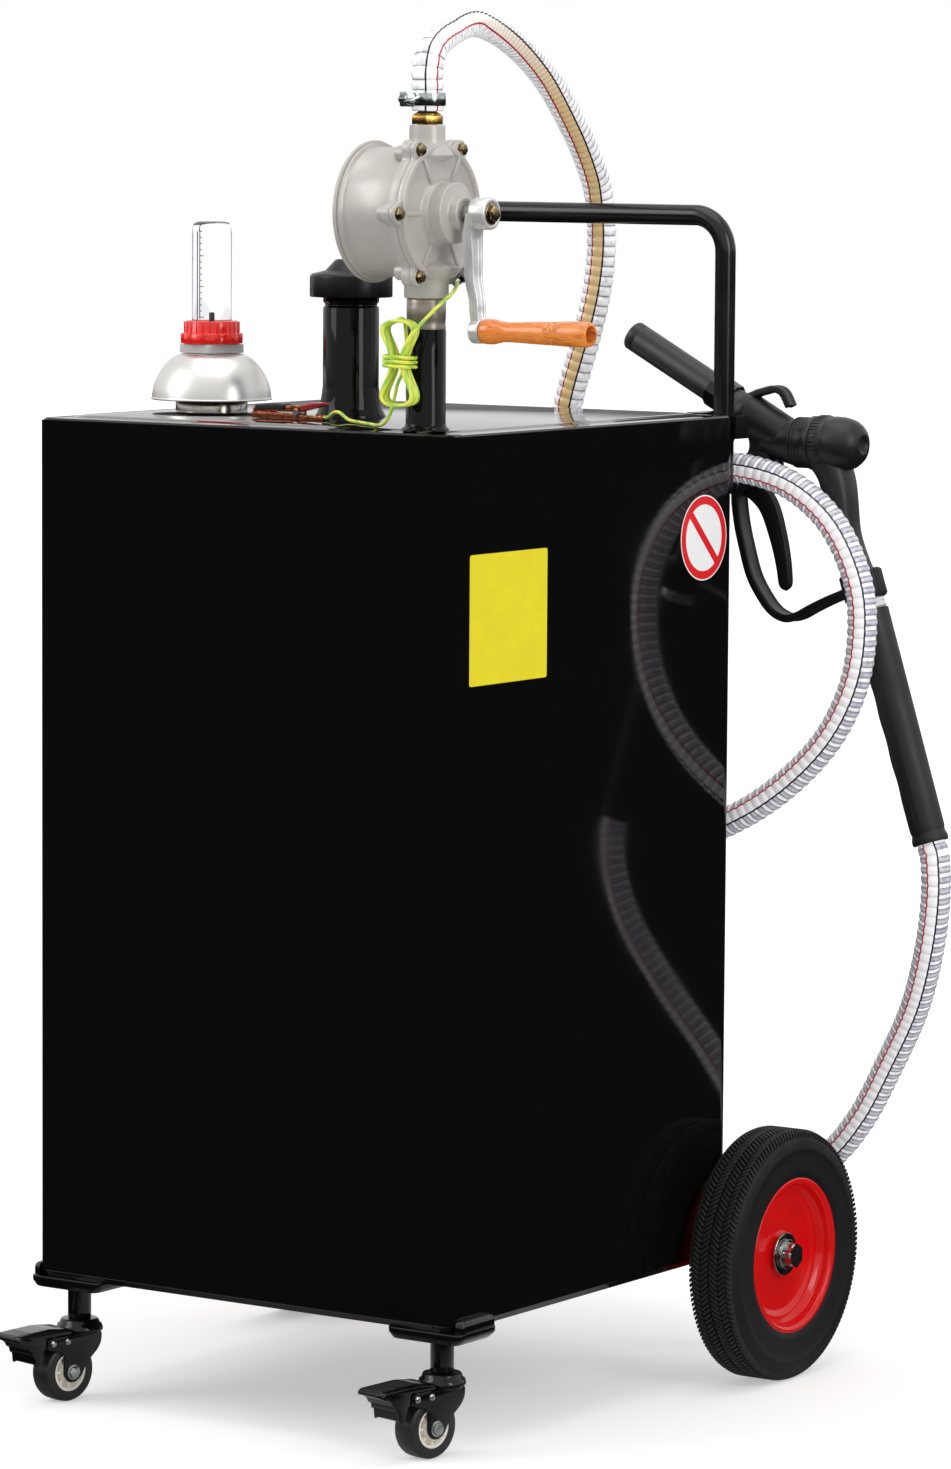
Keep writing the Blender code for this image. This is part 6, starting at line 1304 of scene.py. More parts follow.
    def build(self, shop: Workshop) -> None:
        """Makes the pump's outer pieces."""
        stand = self.stand()
        body = merge(moved(self.drum(), stand), self.bosses())
        shop.piece("pump_drum", body, Finishes.CAST_GREY, "pump_body", bevel=0.6, sharp=38)
        shop.piece(
            "pump_face", moved(self.face(), stand), Finishes.CAST_GREY, "pump_cover",
            bevel=0.35, sharp=30)
        shop.piece("pump_bolts", moved(self.bolts(), stand), Finishes.YELLOW_ZINC, bevel=0.15)
        shop.piece("pump_earth_bolt", moved(self.earth_bolt(), stand), Finishes.ZINC, bevel=0.15)
        nipple = lathe((
            (12, 851), (12, 881.9), (15.2, 882.0), (15.2, 884.2), (14.9, 885.0), (14.9, 889.0), (15.2, 890.0),
            (15.2, 904.9), (14.6, 905.5), (13, 905.5), (13, 916), (9, 916), (9, 851)), 64, True)
        shop.piece(
            "pump_nipple_turned", moved(nipple, at(self.x, self.y, 0)), Finishes.RAW_PIPE, "pump_nipple",
            sharp=50)


@dataclass(frozen=True)
class Crank:
    """The cast crank arm with its channel, its screw, and the turned wooden grip."""

    y: float = -180.0
    axis: float = 971.5
    length: float = 90.0
    width: float = 17.0
    thick: float = 9.0
    sweep: float = 10.0
    root: float = 212.6
    # The arm's stations: share of the length, of the sweep, of the width and of the thickness.
    stations: tuple = (
        (0, 0.75, 1, 0.9), (0.2, 1, 0.95, 1), (0.5, 0.9, 0.8, 0.94), (0.8, 0.5, 0.68, 0.88),
        (1, 0.385, 0.64, 0.85))
    grip_low: float = 213.8
    grip_long: float = 98.0
    grip_radius: float = 9.8

    def arm(self) -> Shape:
        """The tapering arm with a hollow channel down its outer face."""
        rows = []
        for step in range(41):
            share = step / 40
            for before, after in zip(self.stations, self.stations[1:]):
                if share <= after[0] + 1e-9:
                    blend = (share - before[0]) / (after[0] - before[0])
                    blend = blend * blend * (3 - 2 * blend)
                    sweep, wide, thick = (before[k] + (after[k] - before[k]) * blend for k in (1, 2, 3))
                    break
            across, deep = self.width / 2 * wide, self.thick / 2 * thick
            groove = 2.0 * min(1.0, max(0.0, min(share - 0.13, 0.93 - share) / 0.06))
            half = across * 0.52
            section = [
                (-across, -deep), (across, -deep), (across, deep - 0.4), (across - 0.7, deep),
                (half + 0.9, deep), (half, deep - groove), (half * 0.4, deep - groove * 1.12),
                (-half * 0.4, deep - groove * 1.12), (-half, deep - groove), (-half - 0.9, deep),
                (-across + 0.7, deep), (-across, deep - 0.4)]
            middle = Vector((self.root - self.sweep * sweep + 0.2, self.y, self.axis - self.length * share))
            rows.append([middle + Vector((up, side, 0)) for side, up in section])
        return skin(rows)

    def build(self, shop: Workshop) -> None:
        """Makes the crank's pieces."""
        axle = at(0, self.y, self.axis) @ ALONG_X
        low = at(0, self.y, self.axis - self.length) @ ALONG_X
        boss = lathe((
            (9.3, 205.3), (11.4, 205.3), (12.3, 206.2), (12.3, 219.6), (11.9, 220.5), (11.2, 220.8),
            (9.4, 220.8), (8.9, 220.0), (8.6, 219.4), (0, 219.4), (0, 208), (9.3, 206)), 64)
        end = lathe((
            (4.2, 204.4), (8.7, 204.4), (9.5, 205.2), (9.5, 212.5), (8.8, 213.2), (4.2, 213.2)), 48, True)
        shop.piece(
            "crank_casting", merge(moved(boss, axle), moved(end, low), self.arm()), Finishes.CAST_BRIGHT,
            "crank_arm", Body.CRANK, bevel=0.5, sharp=35)
        screw = merge(
            lathe(((0, 219.2), (8.4, 219.2), (8.4, 220.6), (7.9, 221.0), (0, 221.0)), 40),
            moved(hex_head(6.3, 220.9, 224.7, 0.8), turned(11, "Z")),
            lathe(((0, 224.6), (3.9, 224.6), (3.6, 224.95), (0, 224.7)), 20))
        shop.piece(
            "crank_bolt", moved(screw, axle), Finishes.YELLOW_ZINC, "crank_screw", Body.CRANK,
            bevel=0.2)
        self.grip(shop, low)

    def grip(self, shop: Workshop, low: Matrix) -> None:
        """Turns the grip: a waist, two scored grooves and a round end with a recess."""
        shares = (
            (0, 0.86), (0.012, 0.96), (0.03, 0.995), (0.08, 1.0), (0.11, 0.975), (0.14, 0.9), (0.19, 0.8),
            (0.25, 0.782), (0.35, 0.815), (0.48, 0.87), (0.6, 0.915), (0.618, 0.915), (0.624, 0.872),
            (0.634, 0.862), (0.644, 0.872), (0.65, 0.925), (0.672, 0.94), (0.678, 0.892), (0.688, 0.882),
            (0.698, 0.892), (0.704, 0.95), (0.78, 0.985), (0.86, 1.0), (0.94, 1.0), (0.978, 0.985),
            (0.993, 0.94), (1.0, 0.87))
        outside = [
            (self.grip_radius * wide, self.grip_low + self.grip_long * share) for share, wide in shares]
        end = self.grip_low + self.grip_long
        profile = [
            (3.7, self.grip_low), *outside, (6.9, end + 0.1), (6.75, end - 0.5), (6.75, end - 10.6),
            (3.7, end - 10.8)]
        shop.piece(
            "crank_handle", moved(lathe(profile, 72, True), low), Finishes.WOOD, "crank_grip",
            Body.GRIP, sharp=50)
        pin = lathe((
            (0, 203.4), (4.0, 203.4), (4.0, 204.3), (3.4, 204.6), (3.4, end - 10.5), (5.8, end - 10.5),
            (5.8, end - 9.2), (4.6, end - 7.6), (0, end - 7.4)), 32)
        shop.piece(
            "grip_rivet", moved(pin, low), Finishes.ZINC, "grip_pin", Body.CRANK, sharp=50)


# Hose.


HOSE_ROUTE: Route = (
    (160, -180, 1066), (160, -180, 1080), (158.5, -172, 1097), (149, -138, 1110), (127, -68, 1120),
    (102, 19, 1108), (76, 110, 1079), (54, 187, 1038), (41, 236, 1000), (38, 252, 971), (38.5, 254, 935),
    (34, 254, 898), (24, 253, 858), (7, 254, 806), (-7, 258, 750), (-14, 264, 690), (-12, 266, 630),
    (0, 266, 570), (22, 263, 515), (55, 255, 472), (97, 246, 448), (142, 238, 447), (195, 235, 468),
    (242, 235, 500), (280, 235, 540), (303, 235, 587), (309, 235, 637), (301, 235, 677), (277, 235, 717),
    (238, 235, 745), (188, 235, 757), (138, 235, 754), (92, 235, 738), (52, 235, 708), (20, 235, 665),
    (-4, 235, 610), (-20, 235, 545), (-28, 236, 475), (-27, 239, 405), (-16, 246, 335), (4, 258, 270),
    (34, 275, 214), (76, 295, 170), (124, 315, 145), (175, 329, 145), (222, 334, 167), (258, 330, 205),
    (290, 321, 255), (324, 303, 308), (350, 281, 362), (361.5, 270.5, 408))


@dataclass(frozen=True)
class Delivery:
    """The brass fitting, its clamp and the wire wound hose to the nozzle."""

    x: float = 160.0
    y: float = -180.0
    diameter: float = 25.0
    bore: float = 18.0
    start: float = 1049.3
    pitch: float = 8.2
    valley: float = 0.95
    band_heading: float = 34.0
    sleeve_end: Triple = (357.8, 268.0, 453.2)
    way: Triple = (0.309, 0.0, -0.951)

    def line(self) -> list[Vector]:
        """The hose's middle line, from the fitting into the nozzle's sleeve."""
        end, way = Vector(self.sleeve_end), Vector(self.way).normalized()
        points = [(self.x, self.y, self.start), *HOSE_ROUTE, end + way * 12.5, end, end - way * 45]
        return smooth_line(points, 1.35)

    def hose(self, line: Line) -> Shape:
        """The ribbed hose: round crowns over the wire and soft valleys between."""
        outer, inner = self.diameter / 2, self.bore / 2
        heading = math.radians(self.band_heading)
        front = Vector((math.sin(heading), -math.cos(heading), 0.1))
        ways = [way for way, _, _ in frames_along(line, Vector((0, 1, 0)))]

        def ring(place: int, radius: float) -> list[Vector]:
            """The points round the line at one place, counted from the side that is away from the front."""
            side = (ways[place] * front.dot(ways[place]) - front).normalized()
            over = ways[place].cross(side)
            return [line[place] + side * across + over * up for across, up in circle(radius, 40)]

        rows, lengths = [], [0.0]
        for place in range(len(line)):
            wave = 0.5 - 0.5 * math.cos(math.tau * lengths[-1] / self.pitch)
            rows.append(ring(place, outer - self.valley * (1 - wave) ** 1.6 - 0.02))
            if place + 1 < len(line):
                lengths.append(lengths[-1] + (line[place + 1] - line[place]).length)
        outside = skin(rows, capped=False, lengths=lengths)
        bore = [ring(place, inner) for place in (0, 4, len(line) - 5, len(line) - 1)]
        mouth = skin([rows[0], bore[0], bore[1]], lengths=[0, 3, 6])
        foot = skin([bore[2], bore[3], rows[-1]], lengths=[0, 6, 9])
        return merge(outside, mouth, foot)

    def build(self, shop: Workshop) -> None:
        line = self.line()
        hose = shop.piece("hose_ribbed", self.hose(line), Finishes.HOSE, "hose", sharp=70)
        tuple(shop.world(line[0]))
        [tuple(shop.world(point))
            for point in line]
        stand = at(self.x, self.y, 0)
        parts = [
            hex_head(13.2, 1039.2, 1046.7, 1.0), lathe(((0, 1026), (7.6, 1026), (7.6, 1039.4), (0, 1039.4)),
            40), lathe(((0, 1046.4), (10.4, 1046.4), (10.4, 1047.2), (8.2, 1048.2), (7.2, 1049), (7.2, 1051),
            (7.56, 1054), (6.7, 1054.4), (6.7, 1057), (7.56, 1060.5), (6.7, 1061), (6.7, 1064),
            (7.56, 1067.5), (6.7, 1068), (6.7, 1071), (7.0, 1074), (5.6, 1074.7), (0, 1074.7)), 48)]
        shop.piece(
            "outlet_barb", moved(merge(*parts), stand), Finishes.BRASS, "outlet_fitting", bevel=0.25,
            sharp=40)
        self.clamp(shop, stand)

    def clamp(self, shop: Workshop, stand: Matrix) -> None:
        """The worm drive band: slotted band, housing, screw and its thumb end."""
        band = lathe((
            (13.0, 1053.3), (13.8, 1053.3), (14.1, 1053.9), (14.1, 1062.7), (13.8, 1063.3), (13.0, 1063.3)),
            72, True)
        slot = prism(rounded([(-0.12, -0.5), (0.12, -0.5), (0.12, 0.5), (-0.12, 0.5)], 0.05, 1), -3.0, 3.0)
        slots = moved(ring_copies(slot, Finishes.TURNED_STEEL, 52, 14.12), at(0, 0, 1058.3))
        heading = turned(-124, "Z")
        housing = skin([standing(box_outline(7.0, 11.4, 1.6, 4), y) for y in (-6.5, 6.5)])
        housing = moved(housing, heading @ at(17.0, 0, 1058.3))
        screw = lathe((
            (0, -9.5), (3.0, -9.5), (3.2, -9.0), (3.2, 6.6), (4.4, 6.6), (4.6, 7.0), (4.6, 9.2), (4.2, 9.8),
            (0, 9.8)), 32)
        screw = moved(screw, heading @ at(17.6, 0, 1058.3) @ turned(-90, "X"))
        wing = moved(
            prism(rounded([(-5.6, 8.5), (5.6, 8.5), (6.6, 17.0), (-6.6, 17.0)], 2.4, 4), -0.9, 0.9), heading
            @ at(17.6, 0, 1058.3) @ turned(24, "Y"))
        shop.piece(
            "clamp_band", moved(merge(band, slots, housing, screw, wing), stand), Finishes.ZINC, "hose_clamp",
            bevel=0.2, sharp=40)


# Handle.


@dataclass(frozen=True)
class Frame:
    """The push handle and its bolts; the nozzle's holder, the hose hanger and the axle with its brackets are
    left to the CAD nodes.
    """

    tube: float = 8.5
    half: float = 188.0
    y: float = 211.3
    bar: float = 965.5
    bend: float = 30.0
    foot: float = 742.0

    def handle(self) -> Shape:
        """The bent tube down to its two feet."""
        points = [Vector((-self.half, self.y, self.foot)), Vector((-self.half, self.y, self.bar - self.bend))]
        for side in (-1, 1):
            for step in range(1, 12):
                turn = step / 12 * math.pi / 2
                off = (
                    1 - math.cos(turn), math.sin(turn)) if side < 0 else (1 - math.sin(turn), math.cos(turn))
                points.append(
                    Vector((side * (self.half - self.bend * off[0]), self.y, self.bar - self.bend
                    + self.bend * off[1])))
            points.append(
                Vector((side * (self.half - self.bend), self.y, self.bar)) if side < 0
                else Vector((self.half, self.y, self.bar - self.bend)))
        points.append(Vector((self.half, self.y, self.foot)))
        return tube_line(spaced(points, 3.0), self.tube, 32, Vector((0, 1, 0)))

    def build(self, shop: Workshop) -> None:
        """Makes the handle and the heads of its four bolts."""
        shop.piece("handle_tube", self.handle(), Finishes.TUBE_COAT, "push_handle", sharp=50)
        head = ((0, 0), (4.6, 0), (4.6, 2.6), (3.9, 3.4), (0, 3.6))
        heads = []
        for x in (-self.half, self.half):
            for z in (756.0, 782.0):
                place = at(x, self.y + self.tube - 0.8, z) @ turned(-90, "X")
                heads.append(moved(lathe(head, 24), place))
        shop.piece("handle_bolts", merge(*heads), Finishes.ZINC, sharp=40)


@dataclass(frozen=True)
class Nozzle:
    """The dispensing nozzle: spout, body, cap, guard, trigger, ring and sleeve."""

    y: float = 268.0
    tip: Pair = (62.3, 862.6)
    root: Pair = (196.9, 791.0)
    spout: float = 12.5
    collar: Pair = (290.0, 662.0)
    sleeve_end: Pair = (357.8, 453.2)
    pivot: Pair = (172.0, 741.0)

    def spot(self, x: float, z: float, y: float = 0.0) -> Vector:
        """A point of the nozzle's own plane."""
        return Vector((x, self.y + y, z))

    def spout_piece(self) -> Shape:
        """The drawn spout with its rounded rim and bore."""
        tip, root = self.spot(*self.tip), self.spot(*self.root)
        place = between(root, tip)
        long = (tip - root).length
        r = self.spout
        tube = lathe((
            (r - 2.2, 2), (r, 2), (r, long - 9.4), (r - 0.35, long - 8.8), (r - 0.35, long - 8.2),
            (r, long - 7.6), (r, long - 1.4), (r - 0.5, long - 0.4), (r - 1.3, long), (r - 2.0, long - 0.4),
            (r - 2.2, long - 1.4)), 72, True)
        return moved(tube, place)

    def body(self) -> Shape:
        """Socket, head, trunk, collar seat and hook, moulded as one."""
        tip, root = self.spot(*self.tip), self.spot(*self.root)
        place = between(root, tip)
        socket = moved(
            lathe(((0, -30), (13, -26), (16.4, -20), (16.4, 20.5), (16.9, 21.2), (16.9, 26.8), (16.2, 28.0),
            (13.4, 28.0), (12.9, 27.0), (12.9, 6), (0, 6)), 64), place)
        head = moved(
            lathe(((0, 192), (9, 193), (11.9, 196), (15.2, 206), (17, 213), (19.2, 222), (20.5, 228.5),
            (20.7, 236), (20.7, 240.2), (22.0, 240.6), (22.5, 241.4), (22.5, 245.8), (22.1, 246.5),
            (0, 246.5)), 96), at(0, self.y, 778) @ ALONG_X)
        ribs = []
        for step in range(4):
            ribs.append(
                moved(lathe(((19.6, -0.6), (21.1, -0.5), (21.3, 0), (21.1, 0.5), (19.6, 0.6)), 72, True),
                at(227 + step * 3.2, self.y, 778) @ ALONG_X))
        trunk_line = smooth_line(
            [self.spot(236, 790), self.spot(243, 778), self.spot(262.9, 751.3), self.spot(271.2, 706.4),
            self.spot(280, 682), self.spot(*self.collar)], 3.0)
        count = len(trunk_line) - 1
        scales = [1.1 - 0.22 * min(1.0, place / (count * 0.7)) for place in range(count + 1)]
        section = [
            tuple(half * math.copysign(abs(value) ** 0.85, value) for half, value in zip((14.2, 16.4), spot))
            for spot in circle(1.0, 36)]
        trunk = swept(trunk_line, section, Vector((0, 1, 0)), scales)
        web = []
        for half in (-4.6, 4.6):
            web.append(
                [self.spot(x, z, half) for x, z in rounded([(186, 806), (206, 758), (186, 742), (160, 733),
                (160, 750), (182, 770), (176, 798)], 7, 4)])
        ear = []
        for side in (-1, 1):
            lug = lathe(((0, 0), (9.2, 0), (9.2, 3.2), (8.4, 4.0), (0, 4.0)), 36)
            turn = at(self.pivot[0], self.y + side * 8, self.pivot[1]) @ turned(-90 * side, "X")
            ear.append(moved(lug, turn))
            arm = [
                [self.spot(x, z, side * deep) for x, z in rounded([(164, 748), (180, 768), (204, 770),
                (206, 752), (180, 735), (166, 732)], 6, 4)] for deep in (8.2, 11.6)]
            ear.append(skin(arm))
        hook_line = smooth_line(
            [self.spot(*point) for point in ((178, 808), (184, 816), (194, 819.5), (204, 821.5), (212, 818.5),
            (218.5, 807.5))], 1.4)
        hook = swept(hook_line, grooved(((2.2, 2.3), (2.6, 3), (5, 3), (6, 2.0))), Vector((1, 0, 0)))
        return merge(socket, head, *ribs, trunk, skin(web), *ear, hook)

    def cap(self) -> Shape:
        """The domed end cap with a knurled rim and a small screw dimple."""
        low, long = 246.8, 42.0
        shares = (
            (0, 0.96), (0.03, 1.0), (0.2, 1.0), (0.24, 0.955), (0.3, 0.95), (0.33, 0.985), (0.42, 0.985),
            (0.55, 0.97), (0.68, 0.92), (0.78, 0.86), (0.86, 0.76), (0.92, 0.66), (0.97, 0.5), (1.0, 0.36),
            (0.99, 0.3), (0.955, 0.24))
        dome = lathe([
            (0, low), *((23 * wide, low + long * share) for share, wide in shares), (0, low + long * 0.955)],
            96)
        knurl = prism(
            rounded([(-1.0, -0.9), (0.7, -0.5), (0.7, 0.5), (-1.0, 0.9)], 0.3, 2), low + 1.2, low + 8.4)
        return merge(dome, ring_copies(knurl, Finishes.NOZZLE_NYLON, 44, 22.9))

    def guard(self) -> Shape:
        """The trigger guard, a flat bow from under the socket round to the collar."""
        line = smooth_line(
            [self.spot(*point) for point in ((176.5, 752), (169.4, 735.1), (171.5, 712), (176.9, 689.7),
            (184.5, 666), (195, 648.9), (206, 637), (218.5, 631.8), (230, 634), (242.5, 640.5), (258, 648),
            (276, 655.5))], 2.5)
        return swept(line, grooved(((5.5, 2.7), (6, 3.5), (8, 3.5), (9, 2.6))), Vector((1, 0, 0)))

    def trigger(self) -> Shape:
        """The lever with two long grooves down its face and its pivot eye."""
        x, z = self.pivot
        line = smooth_line(
            [self.spot(x - 1, z + 2), self.spot(x + 12, z - 3), self.spot(x + 26, z - 17),
            self.spot(x + 35, z - 40), self.spot(x + 41, z - 64), self.spot(x + 44, z - 87)], 2.0)
        count = len(line) - 1
        rows = []
        for place, (_, side, upright) in enumerate(frames_along(line, Vector((0, 1, 0)))):
            share = place / count
            deep, wide = 9.5 - 5.0 * share, 4.0
            round_end = math.sqrt(max(0.02, 1 - max(0.0, (share - 0.93) / 0.07) ** 2))
            half = [
                (-deep + sunk, wide * part) for sunk, part in ((0, -1), (0, -0.72), (1.1, -0.5), (1.1, -0.28),
                (0, -0.12), (0, 0.12), (1.1, 0.28), (1.1, 0.5), (0, 0.72), (0, 1))]
            section = half + [(-a, -b) for a, b in half]
            rows.append(
                [line[place] + side * (a * round_end) + upright * (b * round_end) for a, b in section])
        eye = moved(
            lathe(((0, -3.9), (9.0, -3.9), (9.6, -3.3), (9.6, 3.3), (9.0, 3.9), (0, 3.9)), 36),
            at(x, self.y, z) @ turned(90, "X"))
        return merge(skin(rows), eye)

    def sleeve(self) -> Shape:
        """The grip sleeve: four finger waves inside, a seam line and a soft ring at the end."""
        start, end = self.spot(*self.collar), self.spot(*self.sleeve_end)
        long = (end - start).length
        place = between(start, end)
        inner = place.to_3x3().inverted() @ Vector((-1, 0, 0))
        heading = math.atan2(inner.y, inner.x)
        rows = []
        count = 96
        for step in range(count + 1):
            share = step / count
            along = 21.6 + (long - 21.6) * share
            base = 15.6 - share
            lip = 0.7 * math.exp(
                -((share - 0.985) / 0.012) ** 2) - 0.8 * math.exp(-((share - 0.955) / 0.01) ** 2)
            wave = 0.9 * (0.5 - 0.5 * math.cos(math.tau * 4 * min(1.0, max(0.0, (share - 0.08) / 0.74))))
            row = []
            for part in range(64):
                turn = math.tau * part / 64
                off = math.cos(turn - heading)
                facing = max(0.0, off) ** 1.6
                seam = -0.5 * math.exp(-(off / 0.05) ** 2) if 0.04 < share < 0.93 else 0.0
                radius = base + lip - wave * facing + seam
                row.append(place @ Vector((radius * math.cos(turn), radius * math.sin(turn), along)))
            rows.append(row)
        for along, radius in ((long, 12.9), (long - 20, 12.6)):
            rows.append([place @ point for point in level(circle(radius, 64), along)])
        return skin(rows)

    def collar_parts(self) -> tuple[Shape, Shape]:
        """The finned collar of the body, and the bright ring behind it."""
        start, end = self.spot(*self.collar), self.spot(*self.sleeve_end)
        place = between(start, end)
        core = lathe(((0, -12), (16.0, -12), (17.3, -11), (17.3, 11), (16.0, 12.0), (0, 12)), 72)
        fin = prism(rounded([(-1.2, -1.3), (0.9, -1.0), (0.9, 1.0), (-1.2, 1.3)], 0.4, 2), -10.4, 10.4)
        fins = ring_copies(fin, Finishes.NOZZLE_NYLON, 28, 17.2)
        ring = lathe((
            (12.8, 12.3), (13.8, 12.3), (14.2, 12.8), (14.2, 15.6), (13.7, 16.0), (13.7, 17.6), (14.2, 18.0),
            (14.2, 20.8), (13.8, 21.3), (12.8, 21.3)), 72, True)
        return moved(merge(core, fins), place), moved(ring, place)

    def build(self, shop: Workshop) -> None:
        """Makes the nozzle's pieces."""
        collar, ring = self.collar_parts()
        shop.piece(
            "nozzle_moulding", merge(self.body(), collar), Finishes.NOZZLE_NYLON, "nozzle_body",
            bevel=0.5, sharp=35)
        shop.piece(
            "nozzle_spout_tube", self.spout_piece(), Finishes.SPOUT_COAT, "nozzle_spout",
            sharp=50)
        shop.piece(
            "nozzle_end_cap", moved(self.cap(), at(0, self.y, 778) @ ALONG_X), Finishes.NOZZLE_NYLON,
            "nozzle_cap", bevel=0.3, sharp=40)
        shop.piece(
            "nozzle_guard_bow", self.guard(), Finishes.NOZZLE_NYLON, "trigger_guard",
            bevel=0.6, sharp=35)
        shop.piece(
            "nozzle_trigger", self.trigger(), Finishes.NOZZLE_NYLON, "trigger", Body.LEVER,
            bevel=0.35, sharp=35)
        shop.piece("nozzle_band", ring, Finishes.CAST_BRIGHT, "nozzle_ring", sharp=50)
        shop.piece(
            "nozzle_grip_sleeve", self.sleeve(), Finishes.GRIP_RUBBER, "nozzle_sleeve",
            sharp=50)
        pin = lathe(((0, -12.4), (3.2, -12.4), (3.6, -11.9), (3.6, 11.9), (3.2, 12.4), (0, 12.4)), 24)
        shop.piece(
            "nozzle_pin", moved(pin, at(self.pivot[0], self.y, self.pivot[1]) @ turned(90, "X")),
            Finishes.ZINC, sharp=40)


# Wheels and casters.


@dataclass(frozen=True)
class Wheels:
    """The two rear wheels: treaded tyre, pressed red rim, washer, lock washer and nut."""

    x: float = 239.5
    y: float = 222.8
    z: float = 105.0
    radius: float = 105.0
    width: float = 45.0
    # Each row of bars: where it starts and ends across the tread, its lean and its seed.
    bars: tuple = ((0.8, 8.4, 0.75, 3), (9.2, 15.6, -0.75, 4), (16.2, 19.6, 0.75, 5))
    round: int = 148

    def tyre(self) -> Shape:
        """The tyre's carcass with its smooth side walls and bead."""
        r, w = self.radius, self.width
        half = [
            (r - 3.4, 0.0), (r - 3.4, 0.30 * w), (r - 4.2, 0.36 * w), (r * 0.948, 0.415 * w),
            (r * 0.93, 0.45 * w), (r * 0.905, 0.475 * w), (r * 0.86, 0.49 * w), (r * 0.84, 0.497 * w),
            (r * 0.832, 0.489 * w), (r * 0.80, 0.485 * w), (r * 0.74, 0.465 * w), (r * 0.68, 0.475 * w),
            (r * 0.655, 0.462 * w), (64.6, 0.44 * w), (62.4, 0.40 * w), (61.0, 0.36 * w), (61.0, 0.0)]
        profile = half + [(radius, -deep) for radius, deep in reversed(half[1:-1])]
        return lathe(profile, 144, True)

    def tread(self) -> Shape:
        """The tread: three rows of slanting bars on each half, which meet at the middle."""
        r = self.radius
        shapes = []
        for side in (-1, 1):
            for first, last, lean, seed in self.bars:
                middle = (first + last) / 2
                rows = []
                for low, inset in ((r - 6.2, 0.0), (r - 1.0, 0.0), (r - 0.12, 0.35)):
                    rows.append(
                        [Vector((low - max(0.0, across - 15.5) * 0.5, along + lean * (across - middle),
                        side * across)) for along, across in ((inset - 1.55, first + inset),
                        (1.55 - inset, first + inset), (1.55 - inset, last - inset),
                        (inset - 1.55, last - inset))])
                shapes.append(
                    moved(ring_copies(skin(rows), Finishes.TREAD, self.round, 0.0, 0.0003, seed),
                    turned(1.2 * (side > 0), "Z")))
        return merge(*shapes)

    def rim(self) -> Shape:
        """The pressed rim: rolled lip, well, dished disc with a cone, and the hub."""
        profile = (
            (8.3, 9.0), (13.4, 9.0), (14.0, 8.4), (14.0, 8.0), (14.6, 6.8), (20.0, 5.4), (24, 5.1), (46, 5.1),
            (48.6, 5.3), (50.4, 6.6), (53.2, 7.6), (54.6, 7.5), (57.0, 8.6), (59.2, 11.0), (60.2, 14.0),
            (60.8, 17.4), (62.2, 18.6), (63.6, 18.4), (64.6, 18.8), (65.0, 19.6), (64.6, 20.2), (63.2, 20.4),
            (61.2, 20.0), (59.8, 18.8), (59.0, 17.0), (58.6, 13.0), (57.2, 10.2))
        front = lathe(((8.3, 3.4), (8.3, 9.0), *profile[1:], (55.0, 9.2), (53, 4.0), (24, 3.4)), 128, True)
        back = lathe((
            (8.3, -18), (13.4, -18), (14, -17.4), (14, 3.0), (20, 3.4), (24, 3.5), (52.6, 3.9), (56.2, 5.0),
            (57.4, 2.0), (57.6, -14), (58.8, -18.0), (62.2, -19.6), (64.4, -19.2), (65.0, -19.6),
            (64.6, -20.3), (63.0, -20.8), (60.4, -20.3), (59.0, -18.8), (59.8, -14), (59.8, 8), (58.2, 9.4),
            (54, 6.6), (50, 4.8), (24, 4.6), (8.3, 4.6)), 128, True)
        return merge(front, back)

    def valve(self) -> Shape:
        """The short rubber valve through the rim's slope."""
        return moved(
            lathe(((0, 0), (4.2, 0), (4.2, 2), (2.9, 4), (2.7, 11), (3.3, 11.6), (3.3, 17), (2.6, 18),
            (0, 18)), 24), turned(118, "Z") @ at(46.5, 0, 5.4) @ turned(28, "Y"))

    def build(self, shop: Workshop) -> None:
        """Makes both wheels and the hardware at the axle's ends."""
        for side, name in ((1, "right"), (-1, "left")):
            stand = at(side * self.x, self.y, self.z) @ (ALONG_X if side > 0 else AGAINST_X)
            body = f"wheel_{name}"
            shop.piece(
                f"tyre_{name}_carcass", moved(self.tyre(), stand), Finishes.TYRE, f"tyre_{name}",
                body, sharp=50)
            shop.piece(
                f"tyre_{name}_tread", moved(self.tread(), stand), Finishes.TREAD, body=body, bevel=0.25,
                bevel_steps=1, sharp=35)
            shop.piece(
                f"rim_{name}_pressing", moved(self.rim(), stand), Finishes.RIM_RED, f"rim_{name}",
                body, sharp=55)
            washer = lathe((
                (8.4, 9.3), (17.6, 9.3), (18.0, 9.7), (18.0, 10.9), (17.6, 11.3), (8.4, 11.3)), 64, True)
            lock = lathe((
                (8.4, 11.4), (12.2, 11.4), (12.5, 11.8), (12.5, 13.9), (12.2, 14.2), (8.4, 14.2)), 48, True)
            nut = merge(
                hex_head(10.5, 14.3, 21.6, 1.1), lathe(((0, 21.4), (5.6, 21.4), (5.4, 21.75), (0, 21.5)), 32))
            shop.piece(
                f"axle_{name}_hardware", moved(merge(washer, lock, moved(nut, turned(17 * side, "Z"))),
                stand), Finishes.ZINC, bevel=0.2, sharp=40)


